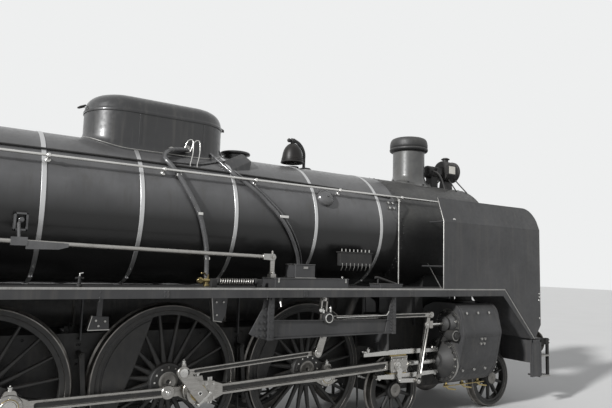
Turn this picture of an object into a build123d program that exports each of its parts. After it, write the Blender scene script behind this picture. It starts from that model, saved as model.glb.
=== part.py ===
from build123d import *
import math
import os

os.makedirs("parts", exist_ok=True)

# A broad-gauge two-cylinder 4-6-2 express engine without its tender, in millimetres.
# Drawing datum, as on a railway drawing: x forward from the main axle, y from the track's
# centre line with the engine's left positive, z above the rail.
# The part's own origin is under the middle of the engine's length, at the flange tips.

X_MAIN = -635.0
FLANGE = 28.0

# Wheels
DRIVER_R = 950.0
BOGIE_R = 500.0
TRAILER_R = 560.0
DRIVER_PITCH = 2085.0
BOGIE_X = (3800.0, 6160.0)
TRAILER_X = -4750.0
WHEEL_IN = 720.0
WHEEL_OUT = 860.0
DRIVER_AXLE_R = 105.0
CARRY_AXLE_R = 85.0
RUNNING_FIT = 0.05

# Motion, with the right side's crank 20 degrees below forward and the left a quarter ahead
CRANK = 325.0
CRANK_ANGLE = {-1: -20.0, 1: 70.0}
PIN_R = 75.0
MAIN_ROD = 3290.0
ROD_Y = (905.0, 985.0)
MAIN_ROD_Y = (1040.0, 1140.0)
RETURN_Y = (1150.0, 1200.0)
ECCENTRIC_Y = (1206.0, 1246.0)
ECCENTRIC_THROW = 174.0
LINK_X, LINK_Z = 2060.0, 1730.0
LINK_FOOT = (1985.0, 1240.0)

# Cylinders
CYL_X = (4660.0, 5600.0)
CYL_Y = 1090.0
CYL_Z = 950.0
VALVE_Y = 1230.0
VALVE_Z = 1560.0

# Boiler
BOILER_R = 960.0
BOILER_Z = 3083.0
SEAT = 0.3
BARREL_X = (-2350.0, 3790.0)
BAND_X = (-1608.0, -477.0, 813.0, 2132.0, 3400.0)
SMOKEBOX_FRONT = 6080.0
DOME_X = -65.0
DOME_L = 1950.0
DOME_W = 1000.0
FIREBOX_REAR = -4400.0

# Frames, boards and cab
FRAME_Y = (600.0, 632.0)
REAR_X = -6150.0
BEAM_X = (6700.0, 6780.0)
BUFFER_X = 7420.0
BUFFER_Y = 915.0
BUFFER_Z = 1100.0
BOARD_Z = 2140.0
BOARD_Y = 1500.0
CAB_X = (-6050.0, -3950.0)
CAB_WALL = 40.0
EAVES_Z = 3925.0
ROOF_TOP = 4380.0
DOOR_HINGE_X = -5385.0
HINGE_Y = 1479.0
HINGE_Z = (2350.0, 2950.0)


def across(x):
    """Plane square to the track at x, drawn with y to the left and z above the rail."""
    return Plane(origin=(X_MAIN + x, 0, FLANGE), x_dir=(0, 1, 0), z_dir=(1, 0, 0))


def beside(y):
    """Upright lengthwise plane at y, drawn with x from the main axle and z above the rail."""
    return Plane(origin=(X_MAIN, y, FLANGE), x_dir=(1, 0, 0), z_dir=(0, -1, 0))


def level(z):
    """Level plane at height z, drawn with x from the main axle and y to the left."""
    return Plane(origin=(X_MAIN, 0, FLANGE + z), x_dir=(1, 0, 0), z_dir=(0, 0, 1))


def point(x, y, z):
    """A point of the drawing datum in the part's frame."""
    return (X_MAIN + x, y, FLANGE + z)


def block(x0, x1, y0, y1, z0, z1, mode=Mode.ADD):
    """Squared block between two x, two y and two z."""
    with BuildSketch(level(z0)) as outline:
        with Locations(((x0 + x1) / 2, (y0 + y1) / 2)):
            Rectangle(x1 - x0, abs(y1 - y0))
    extrude(outline.sketch, amount=z1 - z0, mode=mode)


def disc(centre, radius, y0, y1, mode=Mode.ADD):
    """Round disc or pin lying across the engine, from y0 to y1."""
    with BuildSketch(beside(y0)) as outline:
        with Locations(centre):
            Circle(radius)
    extrude(outline.sketch, amount=y0 - y1, mode=mode)


def bar(p, q, depth, y0, y1, mode=Mode.ADD):
    """Flat bar from p to q, each (x, z), as deep as depth, from y0 to y1."""
    length = math.dist(p, q)
    angle = math.degrees(math.atan2(q[1] - p[1], q[0] - p[0]))
    with BuildSketch(beside(y0)) as outline:
        with Locations(Location(((p[0] + q[0]) / 2, (p[1] + q[1]) / 2, 0), (0, 0, angle))):
            Rectangle(length, depth)
    extrude(outline.sketch, amount=y0 - y1, mode=mode)


def plate(points, y0, y1, mode=Mode.ADD):
    """Plate cut to an outline of (x, z) points, from y0 to y1."""
    with BuildSketch(beside(y0)) as outline:
        Polygon(*points, align=None)
    extrude(outline.sketch, amount=y0 - y1, mode=mode)


def barrel(centre, radius, x0, x1, mode=Mode.ADD):
    """Round drum lying along the engine about (y, z), from x0 to x1."""
    with BuildSketch(across(x0)) as outline:
        with Locations(centre):
            Circle(radius)
    extrude(outline.sketch, amount=x1 - x0, mode=mode)


def post(centre, radius, z0, z1, mode=Mode.ADD):
    """Upright drum about (x, y), from z0 to z1."""
    with BuildSketch(level(z0)) as outline:
        with Locations(centre):
            Circle(radius)
    extrude(outline.sketch, amount=z1 - z0, mode=mode)


def round_bar(p, q, radius, mode=Mode.ADD):
    """Round rod between two points of the drawing datum."""
    start, end = Vector(*point(*p)), Vector(*point(*q))
    with BuildSketch(Plane(origin=start, z_dir=end - start)) as outline:
        Circle(radius)
    extrude(outline.sketch, amount=(end - start).length, mode=mode)


def pair(side, y0, y1):
    """The two y of a piece on the engine's given side, lower first."""
    return sorted((side * y0, side * y1))


def seat_on_boiler(lift=SEAT):
    """Cut the boiler's round out of a piece that stands on it."""
    barrel((0, BOILER_Z), BOILER_R + lift, BARREL_X[0], SMOKEBOX_FRONT, Mode.SUBTRACT)


def crank_pin(side, x=0.0, throw=CRANK, lead=0.0):
    """Place of a crank's pin, as (x, z), on the axle at x."""
    angle = math.radians(CRANK_ANGLE[side] + lead)
    return (x + throw * math.cos(angle), DRIVER_R + throw * math.sin(angle))


def rim(x, radius, side, rim_depth):
    """Tyre with its flange, and the rim under it, turned about the axle."""
    inner = radius - 75.0
    outline = [
        (WHEEL_IN, inner),
        (WHEEL_IN, radius + FLANGE - 6),
        (WHEEL_IN + 8, radius + FLANGE),
        (WHEEL_IN + 20, radius + FLANGE),
        (WHEEL_IN + 34, radius + 2),
        (WHEEL_OUT, radius - 4),
        (WHEEL_OUT, inner),
        (WHEEL_OUT - 12, inner),
        (WHEEL_OUT - 12, inner - rim_depth),
        (WHEEL_IN + 15, inner - rim_depth),
        (WHEEL_IN + 15, inner),
    ]
    with BuildSketch(across(x)) as section:
        Polygon(*[(side * y, radius + r) for y, r in outline], align=None)
    revolve(section.sketch, axis=Axis(point(x, 0, radius), (0, 1, 0)))


def spokes(x, radius, side, count, hub_r, rim_r, hub_w, rim_w, y0, y1):
    """Tapered spokes between hub and rim."""
    with BuildSketch(beside(side * y0)) as fan:
        with Locations((x, radius)):
            with PolarLocations(0, count, start_angle=180.0 / count):
                corners = [(hub_r, -hub_w / 2), (rim_r, -rim_w / 2), (rim_r, rim_w / 2), (hub_r, hub_w / 2)]
                Polygon(*corners, align=None)
    extrude(fan.sketch, amount=-side * (y1 - y0))


def counterweight(x, side, chord):
    """Balance weight between the spokes, opposite the crank pin, inside a chord of the rim."""
    angle = math.radians(CRANK_ANGLE[side] + 180)
    reach = DRIVER_R
    middle = (x + (chord + reach / 2) * math.cos(angle), DRIVER_R + (chord + reach / 2) * math.sin(angle))
    with BuildSketch(beside(side * 752.0)) as crescent:
        with Locations((x, DRIVER_R)):
            Circle(830)
        with Locations(Location((middle[0], middle[1], 0), (0, 0, math.degrees(angle)))):
            Rectangle(reach, 2 * reach, mode=Mode.INTERSECT)
    extrude(crescent.sketch, amount=-side * 98.0)


# Driving wheels: (name, x of the axle, distance of the balance weight's chord from the axle)
DRIVERS = [
    ("main_wheels", 0.0, 480.0),
    ("front_wheels", DRIVER_PITCH, 600.0),
    ("rear_wheels", -DRIVER_PITCH, 600.0),
]
for name, x, chord in DRIVERS:
    with BuildPart() as wheels:
        disc((x, DRIVER_R), DRIVER_AXLE_R, -705, 705)
        for side in (-1, 1):
            rim(x, DRIVER_R, side, 55)
            disc((x, DRIVER_R), 230, side * 700, side * 880)
            disc((x, DRIVER_R), 140, side * 880, side * 897)
            spokes(x, DRIVER_R, side, 20, 190, 840, 88, 54, 762, 828)
            counterweight(x, side, chord)
            pin = crank_pin(side, x)
            disc(pin, 160, side * 780, side * 895)
            bar((x, DRIVER_R), pin, 300, side * 780, side * 890)
            disc(pin, PIN_R, side * 860, side * 988)
    wheels.part.label = name
    export_step(wheels.part, "parts/" + name + ".step")

# Carrying wheels: (name, x of the axle, tread radius, spokes)
CARRIERS = [
    ("bogie_wheels_rear", BOGIE_X[0], BOGIE_R, 10),
    ("bogie_wheels_front", BOGIE_X[1], BOGIE_R, 10),
    ("trailing_wheels", TRAILER_X, TRAILER_R, 11),
]
for name, x, radius, count in CARRIERS:
    with BuildPart() as wheels:
        disc((x, radius), CARRY_AXLE_R, -705, 705)
        for side in (-1, 1):
            rim(x, radius, side, 45)
            disc((x, radius), 135, side * 700, side * 880)
            spokes(x, radius, side, count, 110, radius - 110, 76, 50, 762, 826)
    wheels.part.label = name
    export_step(wheels.part, "parts/" + name + ".step")

# Coupling rods: one piece from the rear to the front pin, fluted between its eyes
for name, side in (("coupling_rod_right", -1), ("coupling_rod_left", 1)):
    with BuildPart() as rod:
        y0, y1 = side * (ROD_Y[0] + 15), side * (ROD_Y[1] - 15)
        pins = [crank_pin(side, x) for x in (-DRIVER_PITCH, 0.0, DRIVER_PITCH)]
        for p, q in zip(pins, pins[1:]):
            bar(p, q, 113, y0, y1)
            flute = (p[0] + 240, p[1]), (q[0] - 240, q[1])
            bar(*flute, 62, y1, y1 - side * 14, Mode.SUBTRACT)
            bar(*flute, 62, y0, y0 + side * 14, Mode.SUBTRACT)
        for p in pins:
            disc(p, 140, side * ROD_Y[0], side * ROD_Y[1])
            bar((p[0], p[1] + 120), (p[0], p[1] + 185), 110, y0, y1)
        knuckle = (pins[1][0] - 330, pins[1][1])
        disc(knuckle, 85, side * ROD_Y[0], side * ROD_Y[1])
        for p in pins:
            disc(p, PIN_R + RUNNING_FIT, side * ROD_Y[0], side * ROD_Y[1], Mode.SUBTRACT)
    rod.part.label = name
    export_step(rod.part, "parts/" + name + ".step")

# Connecting rods, as they lie at rest: big end on its own stub of pin, fluted shank, small end
with BuildPart() as connecting_rods:
    for side in (-1, 1):
        y0, y1 = side * MAIN_ROD_Y[0], side * MAIN_ROD_Y[1]
        big = crank_pin(side)
        small = (big[0] + math.sqrt(MAIN_ROD**2 - (big[1] - CYL_Z) ** 2), CYL_Z)
        ends = big, small
        bar(*ends, 130, y0 + side * 15, y1 - side * 15)
        flute = [(big[0] + (small[0] - big[0]) * t, big[1] + (small[1] - big[1]) * t) for t in (0.09, 0.93)]
        bar(*flute, 72, y1 - side * 15, y1 - side * 32, Mode.SUBTRACT)
        bar(*flute, 72, y0 + side * 15, y0 + side * 32, Mode.SUBTRACT)
        disc(big, 165, y0, y1)
        bar((big[0] - 150, big[1]), (big[0] + 210, big[1]), 230, y0 + side * 6, y1 - side * 6)
        bar((big[0], big[1] + 150), (big[0], big[1] + 205), 150, y0 + side * 20, y1 - side * 20)
        disc(big, 70, y1, side * RETURN_Y[0])
        disc(small, 95, y0, y1)
connecting_rods.part.label = "connecting_rods"
export_step(connecting_rods.part, "parts/connecting_rods.step")

# Return cranks on the ends of the main pins, their small pins carrying the eccentric rods
with BuildPart() as return_cranks:
    for side in (-1, 1):
        y0, y1 = side * RETURN_Y[0], side * RETURN_Y[1]
        big = crank_pin(side)
        small = crank_pin(side, 0.0, ECCENTRIC_THROW, 90.0)
        bar(big, small, 95, y0, y1)
        disc(big, 95, y0, y1)
        disc(small, 70, y0, y1)
        bar((big[0] - 95, big[1]), (big[0] + 110, big[1]), 170, y0, y1)
        disc(small, 38, y1, side * ECCENTRIC_Y[0])
return_cranks.part.label = "return_cranks"
export_step(return_cranks.part, "parts/return_cranks.step")

# Eccentric rods from the return cranks to the feet of the expansion links
with BuildPart() as eccentric_rods:
    for side in (-1, 1):
        y0, y1 = side * ECCENTRIC_Y[0], side * ECCENTRIC_Y[1]
        rear = crank_pin(side, 0.0, ECCENTRIC_THROW, 90.0)
        bar(rear, LINK_FOOT, 62, y0, y1)
        disc(rear, 78, y0, y1)
        bar((rear[0], rear[1] + 60), (rear[0], rear[1] + 115), 60, y0 + side * 5, y1 - side * 5)
        disc(LINK_FOOT, 55, y0, y1)
eccentric_rods.part.label = "eccentric_rods"
export_step(eccentric_rods.part, "parts/eccentric_rods.step")

# Expansion links: a slotted arc struck from the valve spindle's joint, with its foot and trunnion
with BuildPart() as expansion_links:
    for side in (-1, 1):
        for radius, mode in ((2130.0, Mode.ADD), (2010.0, Mode.SUBTRACT)):
            with BuildSketch(beside(side * 1262)):
                with Locations((LINK_X + 2070, LINK_Z)):
                    Circle(radius)
                with Locations((LINK_X, LINK_Z)):
                    Rectangle(420, 560, mode=Mode.INTERSECT)
            extrude(amount=-side * 50, mode=mode)
        bar((LINK_X + 5, LINK_Z - 270), LINK_FOOT, 90, side * 1262, side * 1312)
        disc(LINK_FOOT, 60, side * 1262, side * 1312)
        disc(LINK_FOOT, 30, side * 1246, side * 1262)
        disc((LINK_X, LINK_Z), 45, side * 1312, side * 1378)
expansion_links.part.label = "expansion_links"
export_step(expansion_links.part, "parts/expansion_links.step")

# Valve rods: radius rod from the link, combination lever from the crosshead, valve spindle
LEVER_TOP = (4180.0, VALVE_Z + 160)
LEVER_FOOT = (3960.0, 700.0)
with BuildPart() as valve_rods:
    for side in (-1, 1):
        bar((LINK_X + 70, LINK_Z - 10), LEVER_TOP, 60, side * 1270, side * 1304)
        disc(LEVER_TOP, 50, side * 1262, side * 1312)
        bar(LEVER_TOP, LEVER_FOOT, 70, side * 1215, side * 1255)
        disc(LEVER_TOP, 55, side * 1215, side * 1262)
        disc(LEVER_FOOT, 50, side * 1215, side * 1255)
        barrel((side * VALVE_Y, VALVE_Z), 32, 4235, 4500)
        block(4180, 4260, side * VALVE_Y - 30, side * VALVE_Y + 30, VALVE_Z - 60, VALVE_Z + 60)
valve_rods.part.label = "valve_rods"
export_step(valve_rods.part, "parts/valve_rods.step")

# Crossheads between the slide bars, each with its piston rod and the arm of its union link
SMALL_END_X = {}
for side in (-1, 1):
    x, z = crank_pin(side)
    SMALL_END_X[side] = x + math.sqrt(MAIN_ROD**2 - (z - CYL_Z) ** 2)
CHEEKS = [(-150, 815), (190, 815), (260, 880), (260, 1020), (190, 1105), (-150, 1105)]
HOLLOW = [(-190, 850), (102, 850), (102, 1050), (-190, 1050)]
with BuildPart() as crossheads:
    for side in (-1, 1):
        x = SMALL_END_X[side]
        low, high = side * (MAIN_ROD_Y[0] - 35), side * (MAIN_ROD_Y[1] + 35)
        plate([(x + dx, z) for dx, z in CHEEKS], low, high)
        plate([(x + dx, z) for dx, z in HOLLOW], low + side * 34, high - side * 34, Mode.SUBTRACT)
        disc((x, CYL_Z), 70, high, high + side * 12)
        barrel((side * CYL_Y, CYL_Z), 45, x + 260, 4520)
crossheads.part.label = "crossheads"
export_step(crossheads.part, "parts/crossheads.step")

# Slide bars, one above and one below each crosshead, tapered to their ends
UPPER_BAR = [(2930, 1105.3), (4500, 1105.3), (4500, 1160), (3900, 1182), (3500, 1182), (2930, 1160)]
LOWER_BAR = [(3200, 814.7), (4500, 814.7), (4500, 760), (3900, 738), (3500, 738), (3200, 760)]
with BuildPart() as slide_bars:
    for side in (-1, 1):
        for outline in (UPPER_BAR, LOWER_BAR):
            plate(outline, side * (MAIN_ROD_Y[0] - 5), side * (MAIN_ROD_Y[1] + 5))
slide_bars.part.label = "slide_bars"
export_step(slide_bars.part, "parts/slide_bars.step")

# Motion girders: bolted frames that hang from the boards and carry the links and slide bars
REAR_GUSSET = [(849, 1560), (900, 1530), (1100, 1475), (1100, 2030), (1060, 2030), (1020, 1850)]
FRONT_GUSSET = [(3090, 1500), (3225, 1500), (3225, 1970), (3205, 1970)]
with BuildPart() as motion_girders:
    for side in (-1, 1):
        for x0, x1 in ((1100, 1175), (3225, 3290)):
            block(x0, x1, *pair(side, 1315, 1440), 1470, BOARD_Z - 15.3)
        plate([(1175, 1725), (3225, 1680), (3225, 1500), (1175, 1500)], side * 1380, side * 1410)
        bar((1175, 1720), (3225, 1675), 12, side * 1385, side * 1438)
        block(1175, 3225, *pair(side, 1340, 1440), 1480, 1500)
        for x in (1520, 1800, 2330, 2760):
            block(x - 6, x + 6, *pair(side, 1345, 1382), 1500, 1705)
        plate(REAR_GUSSET, side * 1370, side * 1390)
        plate(FRONT_GUSSET, side * 1411, side * 1430)
        block(3225, 3265, *pair(side, 640, 1320), 1200, 1640)
        block(3200, 3290, *pair(side, 1035, 1145), 1182.5, 1300)
        disc((LINK_X, LINK_Z), 88, side * 1378, side * 1425)
        disc((LINK_X, LINK_Z), 55, side * 1425, side * 1440)
motion_girders.part.label = "motion_girders"
export_step(motion_girders.part, "parts/motion_girders.step")

# Cylinders: barrel and piston valve chest in one lagged casing, with their covers
CASING = [
    (640, 1150), (640, 1800), (900, 1900), (1360, 1900), (1470, 1790), (1550, 1440), (1550, 1400),
    (1500, 1180), (1440, 900), (1320, 700), (1180, 590), (1000, 590), (860, 700), (780, 900),
]
COVERS = [
    ("y", "z", "radius", "x0", "x1"),
    (CYL_Y, CYL_Z, 345, 4500, CYL_X[0]),
    (CYL_Y, CYL_Z, 330, CYL_X[1], 5640),
    (VALVE_Y, VALVE_Z, 235, 4560, CYL_X[0]),
    (VALVE_Y, VALVE_Z, 235, CYL_X[1], 5680),
    (VALVE_Y, VALVE_Z, 120, 4500, 4560),
]
with BuildPart() as cylinders:
    for side in (-1, 1):
        with BuildSketch(across(CYL_X[0])):
            Polygon(*[(side * y, z) for y, z in CASING], align=None)
        extrude(amount=CYL_X[1] - CYL_X[0])
        for y, z, radius, x0, x1 in COVERS[1:]:
            barrel((side * y, z), radius, x0, x1)
        barrel((side * CYL_Y, CYL_Z), 46, 4490, 4530, Mode.SUBTRACT)
        barrel((side * VALVE_Y, VALVE_Z), 33, 4490, 4510, Mode.SUBTRACT)
cylinders.part.label = "cylinders"
export_step(cylinders.part, "parts/cylinders.step")

# Main frames: two plates with horn blocks, cross stretchers, and the drag box with its pin hole
FRAME_OUTLINE = [
    (REAR_X + 40, 1180), (REAR_X + 40, 1390), (-3115, 1390), (-3000, 1560), (3100, 1560), (3500, 1600),
    (BEAM_X[0], 1600), (BEAM_X[0], 1090), (3350, 1090), (3050, 720), (-3380, 720), (-3600, 1180),
]
STRETCHERS = [
    ("x0", "x1", "z0", "z1"),
    (-1080, -1010, 800, 1500),
    (1010, 1080, 800, 1500),
    (3200, 3290, 1150, 1540),
    (6200, 6240, 1150, 1580),
]
with BuildPart() as main_frames:
    for side in (-1, 1):
        plate(FRAME_OUTLINE, side * FRAME_Y[0], side * FRAME_Y[1])
        for x in (-DRIVER_PITCH, 0, DRIVER_PITCH):
            block(x - 170, x + 170, *pair(side, 560, 690), 780, 1130)
    for x0, x1, z0, z1 in STRETCHERS[1:]:
        block(x0, x1, -FRAME_Y[0], FRAME_Y[0], z0, z1)
    block(REAR_X, REAR_X + 40, -1420, 1420, 1100, 1500)
    block(REAR_X + 40, REAR_X + 500, -FRAME_Y[0], FRAME_Y[0], 1185, 1225)
    block(REAR_X + 40, REAR_X + 500, -FRAME_Y[0], FRAME_Y[0], 1345, 1385)
    block(REAR_X - 1, REAR_X + 41, -150, 150, 1225, 1345, Mode.SUBTRACT)
    post((REAR_X + 200, 0), 40, 1180, 1390, Mode.SUBTRACT)
    for x in (REAR_X + 300, REAR_X + 1300):
        block(x, x + 20, -FRAME_Y[0], FRAME_Y[0], 1385, BOARD_Z - 60.3)
        block(x, x + 20, -1440, 1440, 1900, BOARD_Z - 60.3)
    block(4860, 5100, -FRAME_Y[0], FRAME_Y[0], 1100, 1300)
    post((4980, 0), 70, 900, 1100)
    post((-3250, 0), 55, 640, 720)
    block(-3330, -3170, -FRAME_Y[0], FRAME_Y[0], 720, 760)
    for x in (-DRIVER_PITCH, 0, DRIVER_PITCH):
        disc((x, DRIVER_R), DRIVER_AXLE_R + RUNNING_FIT, -700, 700, Mode.SUBTRACT)
main_frames.part.label = "main_frames"
export_step(main_frames.part, "parts/main_frames.step")

# Leaf springs above the driving axleboxes
with BuildPart() as driver_springs:
    for side in (-1, 1):
        for x in (-DRIVER_PITCH, 0, DRIVER_PITCH):
            for step in range(5):
                half = 460 - 80 * step
                z = 1240 + 16 * step
                bar((x - half, z), (x + half, z), 15.4, side * 470, side * 555)
            block(x - 45, x + 45, *pair(side, 460, 598), 1130.2, 1232)
            block(x - 30, x + 30, *pair(side, 460, 565), 1232, 1330)
driver_springs.part.label = "driver_springs"
export_step(driver_springs.part, "parts/driver_springs.step")

# Brake gear: a block and hanger behind each driving wheel, a beam across each pair, and the air tank
TANK_X, TANK_Z = (-2300.0, 3150.0), 1820.0
with BuildPart() as brake_gear:
    for x in (-DRIVER_PITCH, 0, DRIVER_PITCH):
        for side in (-1, 1):
            with BuildSketch(beside(side * 765)):
                with Locations((x, DRIVER_R)):
                    Circle(DRIVER_R + 58)
                    Circle(DRIVER_R + 10, mode=Mode.SUBTRACT)
                with Locations((x - 900, 620)):
                    Rectangle(240, 300, mode=Mode.INTERSECT)
            extrude(amount=-side * 80)
            bar((x - 975, 620), (x - 1042, 1330), 34, side * 785, side * 825)
            disc((x - 1042, 1330), 30, side * 632.5, side * 845)
        disc((x - 975, 620), 24, -840, 840)
    barrel((0, TANK_Z), 240, *TANK_X)
    for x in (-1045, 1045):
        block(x - 30, x + 30, -160, 160, 1500.2, TANK_Z - 150)
brake_gear.part.label = "brake_gear"
export_step(brake_gear.part, "parts/brake_gear.step")

# Leading bogie frame: side plates with axleboxes, end stays and the pivot's socket
BOGIE_SIDE = [(3500, 420), (3500, 640), (4300, 800), (5660, 800), (6460, 640), (6460, 420)]
with BuildPart() as bogie_frame:
    for side in (-1, 1):
        plate(BOGIE_SIDE, side * 520, side * 548)
        for x in BOGIE_X:
            block(x - 130, x + 130, *pair(side, 500, 680), 370, 640)
    for x0, x1 in ((3500, 3530), (6430, 6460), (4560, 4600), (5360, 5400)):
        block(x0, x1, -520, 520, 440, 620)
    block(4600, 5360, -520, 520, 700, 790)
    post((4980, 0), 130, 790, 1080)
    post((4980, 0), 70 + RUNNING_FIT, 600, 1100, Mode.SUBTRACT)
    for x in BOGIE_X:
        disc((x, BOGIE_R), CARRY_AXLE_R + RUNNING_FIT, -700, 700, Mode.SUBTRACT)
bogie_frame.part.label = "bogie_frame"
export_step(bogie_frame.part, "parts/bogie_frame.step")

# Trailing truck: two arms back from the pivot to the axleboxes
TRUCK_ARM = [(-3250, 60), (-3250, 130), (-4300, 560), (-5250, 560), (-5250, 520), (-4320, 520), (-3300, 60)]
with BuildPart() as truck_frame:
    for side in (-1, 1):
        with BuildSketch(level(460)):
            Polygon(*[(x, side * y) for x, y in TRUCK_ARM], align=None)
        extrude(amount=140)
        block(TRAILER_X - 140, TRAILER_X + 140, *pair(side, 500, 680), 430, 720)
    block(-5250, -5210, -520, 520, 460, 600)
    block(-4340, -4300, -545, 545, 460, 600)
    post((-3250, 0), 140, 460, 600)
    post((-3250, 0), 140, 600, 700)
    post((-3250, 0), 55 + RUNNING_FIT, 630, 710, Mode.SUBTRACT)
    disc((TRAILER_X, TRAILER_R), CARRY_AXLE_R + RUNNING_FIT, -700, 700, Mode.SUBTRACT)
truck_frame.part.label = "truck_frame"
export_step(truck_frame.part, "parts/truck_frame.step")

# Boiler barrel in its lagging
with BuildPart() as boiler_barrel:
    barrel((0, BOILER_Z), BOILER_R, *BARREL_X)
boiler_barrel.part.label = "boiler_barrel"
export_step(boiler_barrel.part, "parts/boiler_barrel.step")

# Bands that hold the lagging
with BuildPart() as boiler_bands:
    for x in BAND_X:
        barrel((0, BOILER_Z), BOILER_R + 7, x - 25, x + 25)
        barrel((0, BOILER_Z), BOILER_R + SEAT, x - 26, x + 26, Mode.SUBTRACT)
    with BuildSketch(level(BOILER_Z)):
        with Locations((DOME_X, 0)):
            SlotOverall(DOME_L + 2, DOME_W + 2)
    extrude(amount=1200, mode=Mode.SUBTRACT)
boiler_bands.part.label = "boiler_bands"
export_step(boiler_bands.part, "parts/boiler_bands.step")

# Firebox casing: round crown, sides down to a wide grate behind the rear wheels, and the ashpan
def firebox_section(bottom, waist):
    """Half-round crown over straight sides that draw in to the waist."""
    with BuildLine() as outline:
        crown = CenterArc((0, BOILER_Z), BOILER_R + 20, 0, 180)
        corners = [(BOILER_R + 20, BOILER_Z - 350), (waist, bottom)]
        Polyline(crown @ 1, *[(-y, z) for y, z in corners], *reversed(corners), crown @ 0)
    make_face(outline.edges())


with BuildPart() as firebox:
    with BuildSketch(across(-3120)):
        firebox_section(1400, 930)
    extrude(amount=FIREBOX_REAR + 3120)
    with BuildSketch(across(BARREL_X[0])):
        firebox_section(2060, 880)
    extrude(amount=-3120 - BARREL_X[0])
firebox.part.label = "firebox"
export_step(firebox.part, "parts/firebox.step")

with BuildPart() as ashpan:
    with BuildSketch(across(-4150)):
        half = [(590, 1399.5), (590, 1150), (420, 760.5)]
        Polygon(*half, *[(-y, z) for y, z in reversed(half)], align=None)
    extrude(amount=970)
    block(-4380, -4150, -590, 590, 1220, 1399.5)
ashpan.part.label = "ashpan"
export_step(ashpan.part, "parts/ashpan.step")

# Smokebox shell with its front ring, the blast pipe inside, and the saddle below
with BuildPart() as smokebox:
    barrel((0, BOILER_Z), BOILER_R, BARREL_X[1] + 0.5, SMOKEBOX_FRONT)
    barrel((0, BOILER_Z), BOILER_R - 30, BARREL_X[1], SMOKEBOX_FRONT - 30, Mode.SUBTRACT)
    barrel((0, BOILER_Z), 740, SMOKEBOX_FRONT - 40, SMOKEBOX_FRONT + 10, Mode.SUBTRACT)
    post((4880, 0), 200, BOILER_Z - 925, BOILER_Z - 500)
    post((4880, 0), 250, BOILER_Z + 300, BOILER_Z + 1100, Mode.SUBTRACT)
    for z in (BOILER_Z - 330, BOILER_Z + 330):
        block(SMOKEBOX_FRONT, SMOKEBOX_FRONT + 70, 850, 910, z - 60, z - 10)
        block(SMOKEBOX_FRONT, SMOKEBOX_FRONT + 70, 850, 910, z + 10, z + 60)
        post((SMOKEBOX_FRONT + 45, 880), 12, z - 10, z + 10)
smokebox.part.label = "smokebox"
export_step(smokebox.part, "parts/smokebox.step")

# Smokebox door: a dished plate with strap hinges and its handle
with BuildPart() as smokebox_door:
    x = SMOKEBOX_FRONT + 6
    with BuildSketch(Plane(origin=point(0, 0, BOILER_Z), x_dir=(1, 0, 0), z_dir=(0, -1, 0))):
        with BuildLine():
            Line((x, 0), (x, 790))
            Line((x, 790), (x + 24, 790))
            ThreePointArc((x + 24, 790), (x + 106, 420), (x + 134, 0))
            Line((x + 134, 0), (x, 0))
        make_face()
    revolve(axis=Axis(point(0, 0, BOILER_Z), (1, 0, 0)))
    barrel((0, BOILER_Z), 60, x + 120, x + 175)
    for z in (BOILER_Z - 330, BOILER_Z + 330):
        block(x + 30, x + 60, 560, 830, z - 35, z + 35)
        post((SMOKEBOX_FRONT + 45, 880), 28, z - 9, z + 9)
        block(x + 25, x + 55, 800, 880, z - 9, z + 9)
        post((SMOKEBOX_FRONT + 45, 880), 12 + RUNNING_FIT, z - 70, z + 70, Mode.SUBTRACT)
smokebox_door.part.label = "smokebox_door"
export_step(smokebox_door.part, "parts/smokebox_door.step")

with BuildPart() as saddle:
    with BuildSketch(across(4700)):
        half = [(640, 2600), (560, 2050), (598, 1600.5)]
        Polygon(*half, *[(-y, z) for y, z in reversed(half)], align=None)
    extrude(amount=820)
    block(4700, 5520, -598, 598, 1310, 1600.5)
    seat_on_boiler()
saddle.part.label = "saddle"
export_step(saddle.part, "parts/saddle.step")

# Chimney: flared foot, straight pot and moulded cap, bored through
CHIMNEY_X = 4885.0
with BuildPart() as chimney:
    with BuildSketch(Plane(origin=point(CHIMNEY_X, 0, 0), x_dir=(1, 0, 0), z_dir=(0, -1, 0))):
        with BuildLine():
            Polyline((225, 4000), (225, 4915), (262, 4915))
            ThreePointArc((262, 4915), (324, 4850), (345, 4705))
            Polyline((345, 4705), (362, 4695), (362, 4662), (298, 4640), (298, 4190))
            ThreePointArc((298, 4190), (318, 4080), (420, 4000))
            Line((420, 4000), (225, 4000))
        make_face()
    revolve(axis=Axis(point(CHIMNEY_X, 0, 0), (0, 0, 1)))
    with BuildSketch(level(3850)):
        with Locations((CHIMNEY_X, 0)):
            Circle(420)
            Circle(225, mode=Mode.SUBTRACT)
    extrude(amount=152)
    seat_on_boiler()
chimney.part.label = "chimney"
export_step(chimney.part, "parts/chimney.step")

# Dome and sandbox casing: one long oval box with a crowned lid, whose courses are
# (height above rail, depth, inset from the casing's side, taper in degrees)
LID_COURSES = [
    (4410, 30, -12, 0),
    (4440, 130, 0, 12),
    (4570, 110, 27.6, 48),
    (4680, 60, 149.8, 72),
]
with BuildPart() as dome_casing:
    with BuildSketch(level(3600)):
        with Locations((DOME_X, 0)):
            SlotOverall(DOME_L, DOME_W)
    extrude(amount=810)
    for z, height, inset, taper in LID_COURSES:
        with BuildSketch(level(z)):
            with Locations((DOME_X, 0)):
                SlotOverall(DOME_L - 2 * inset, DOME_W - 2 * inset)
        extrude(amount=height, taper=taper)
    seat_on_boiler()
dome_casing.part.label = "dome_casing"
export_step(dome_casing.part, "parts/dome_casing.step")

# Valve cover on the boiler ahead of the dome
with BuildPart() as top_feed:
    post((1215, 0), 190, 3900, 4120)
    post((1215, 0), 235, 4120, 4165)
    seat_on_boiler()
top_feed.part.label = "top_feed"
export_step(top_feed.part, "parts/top_feed.step")

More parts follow.
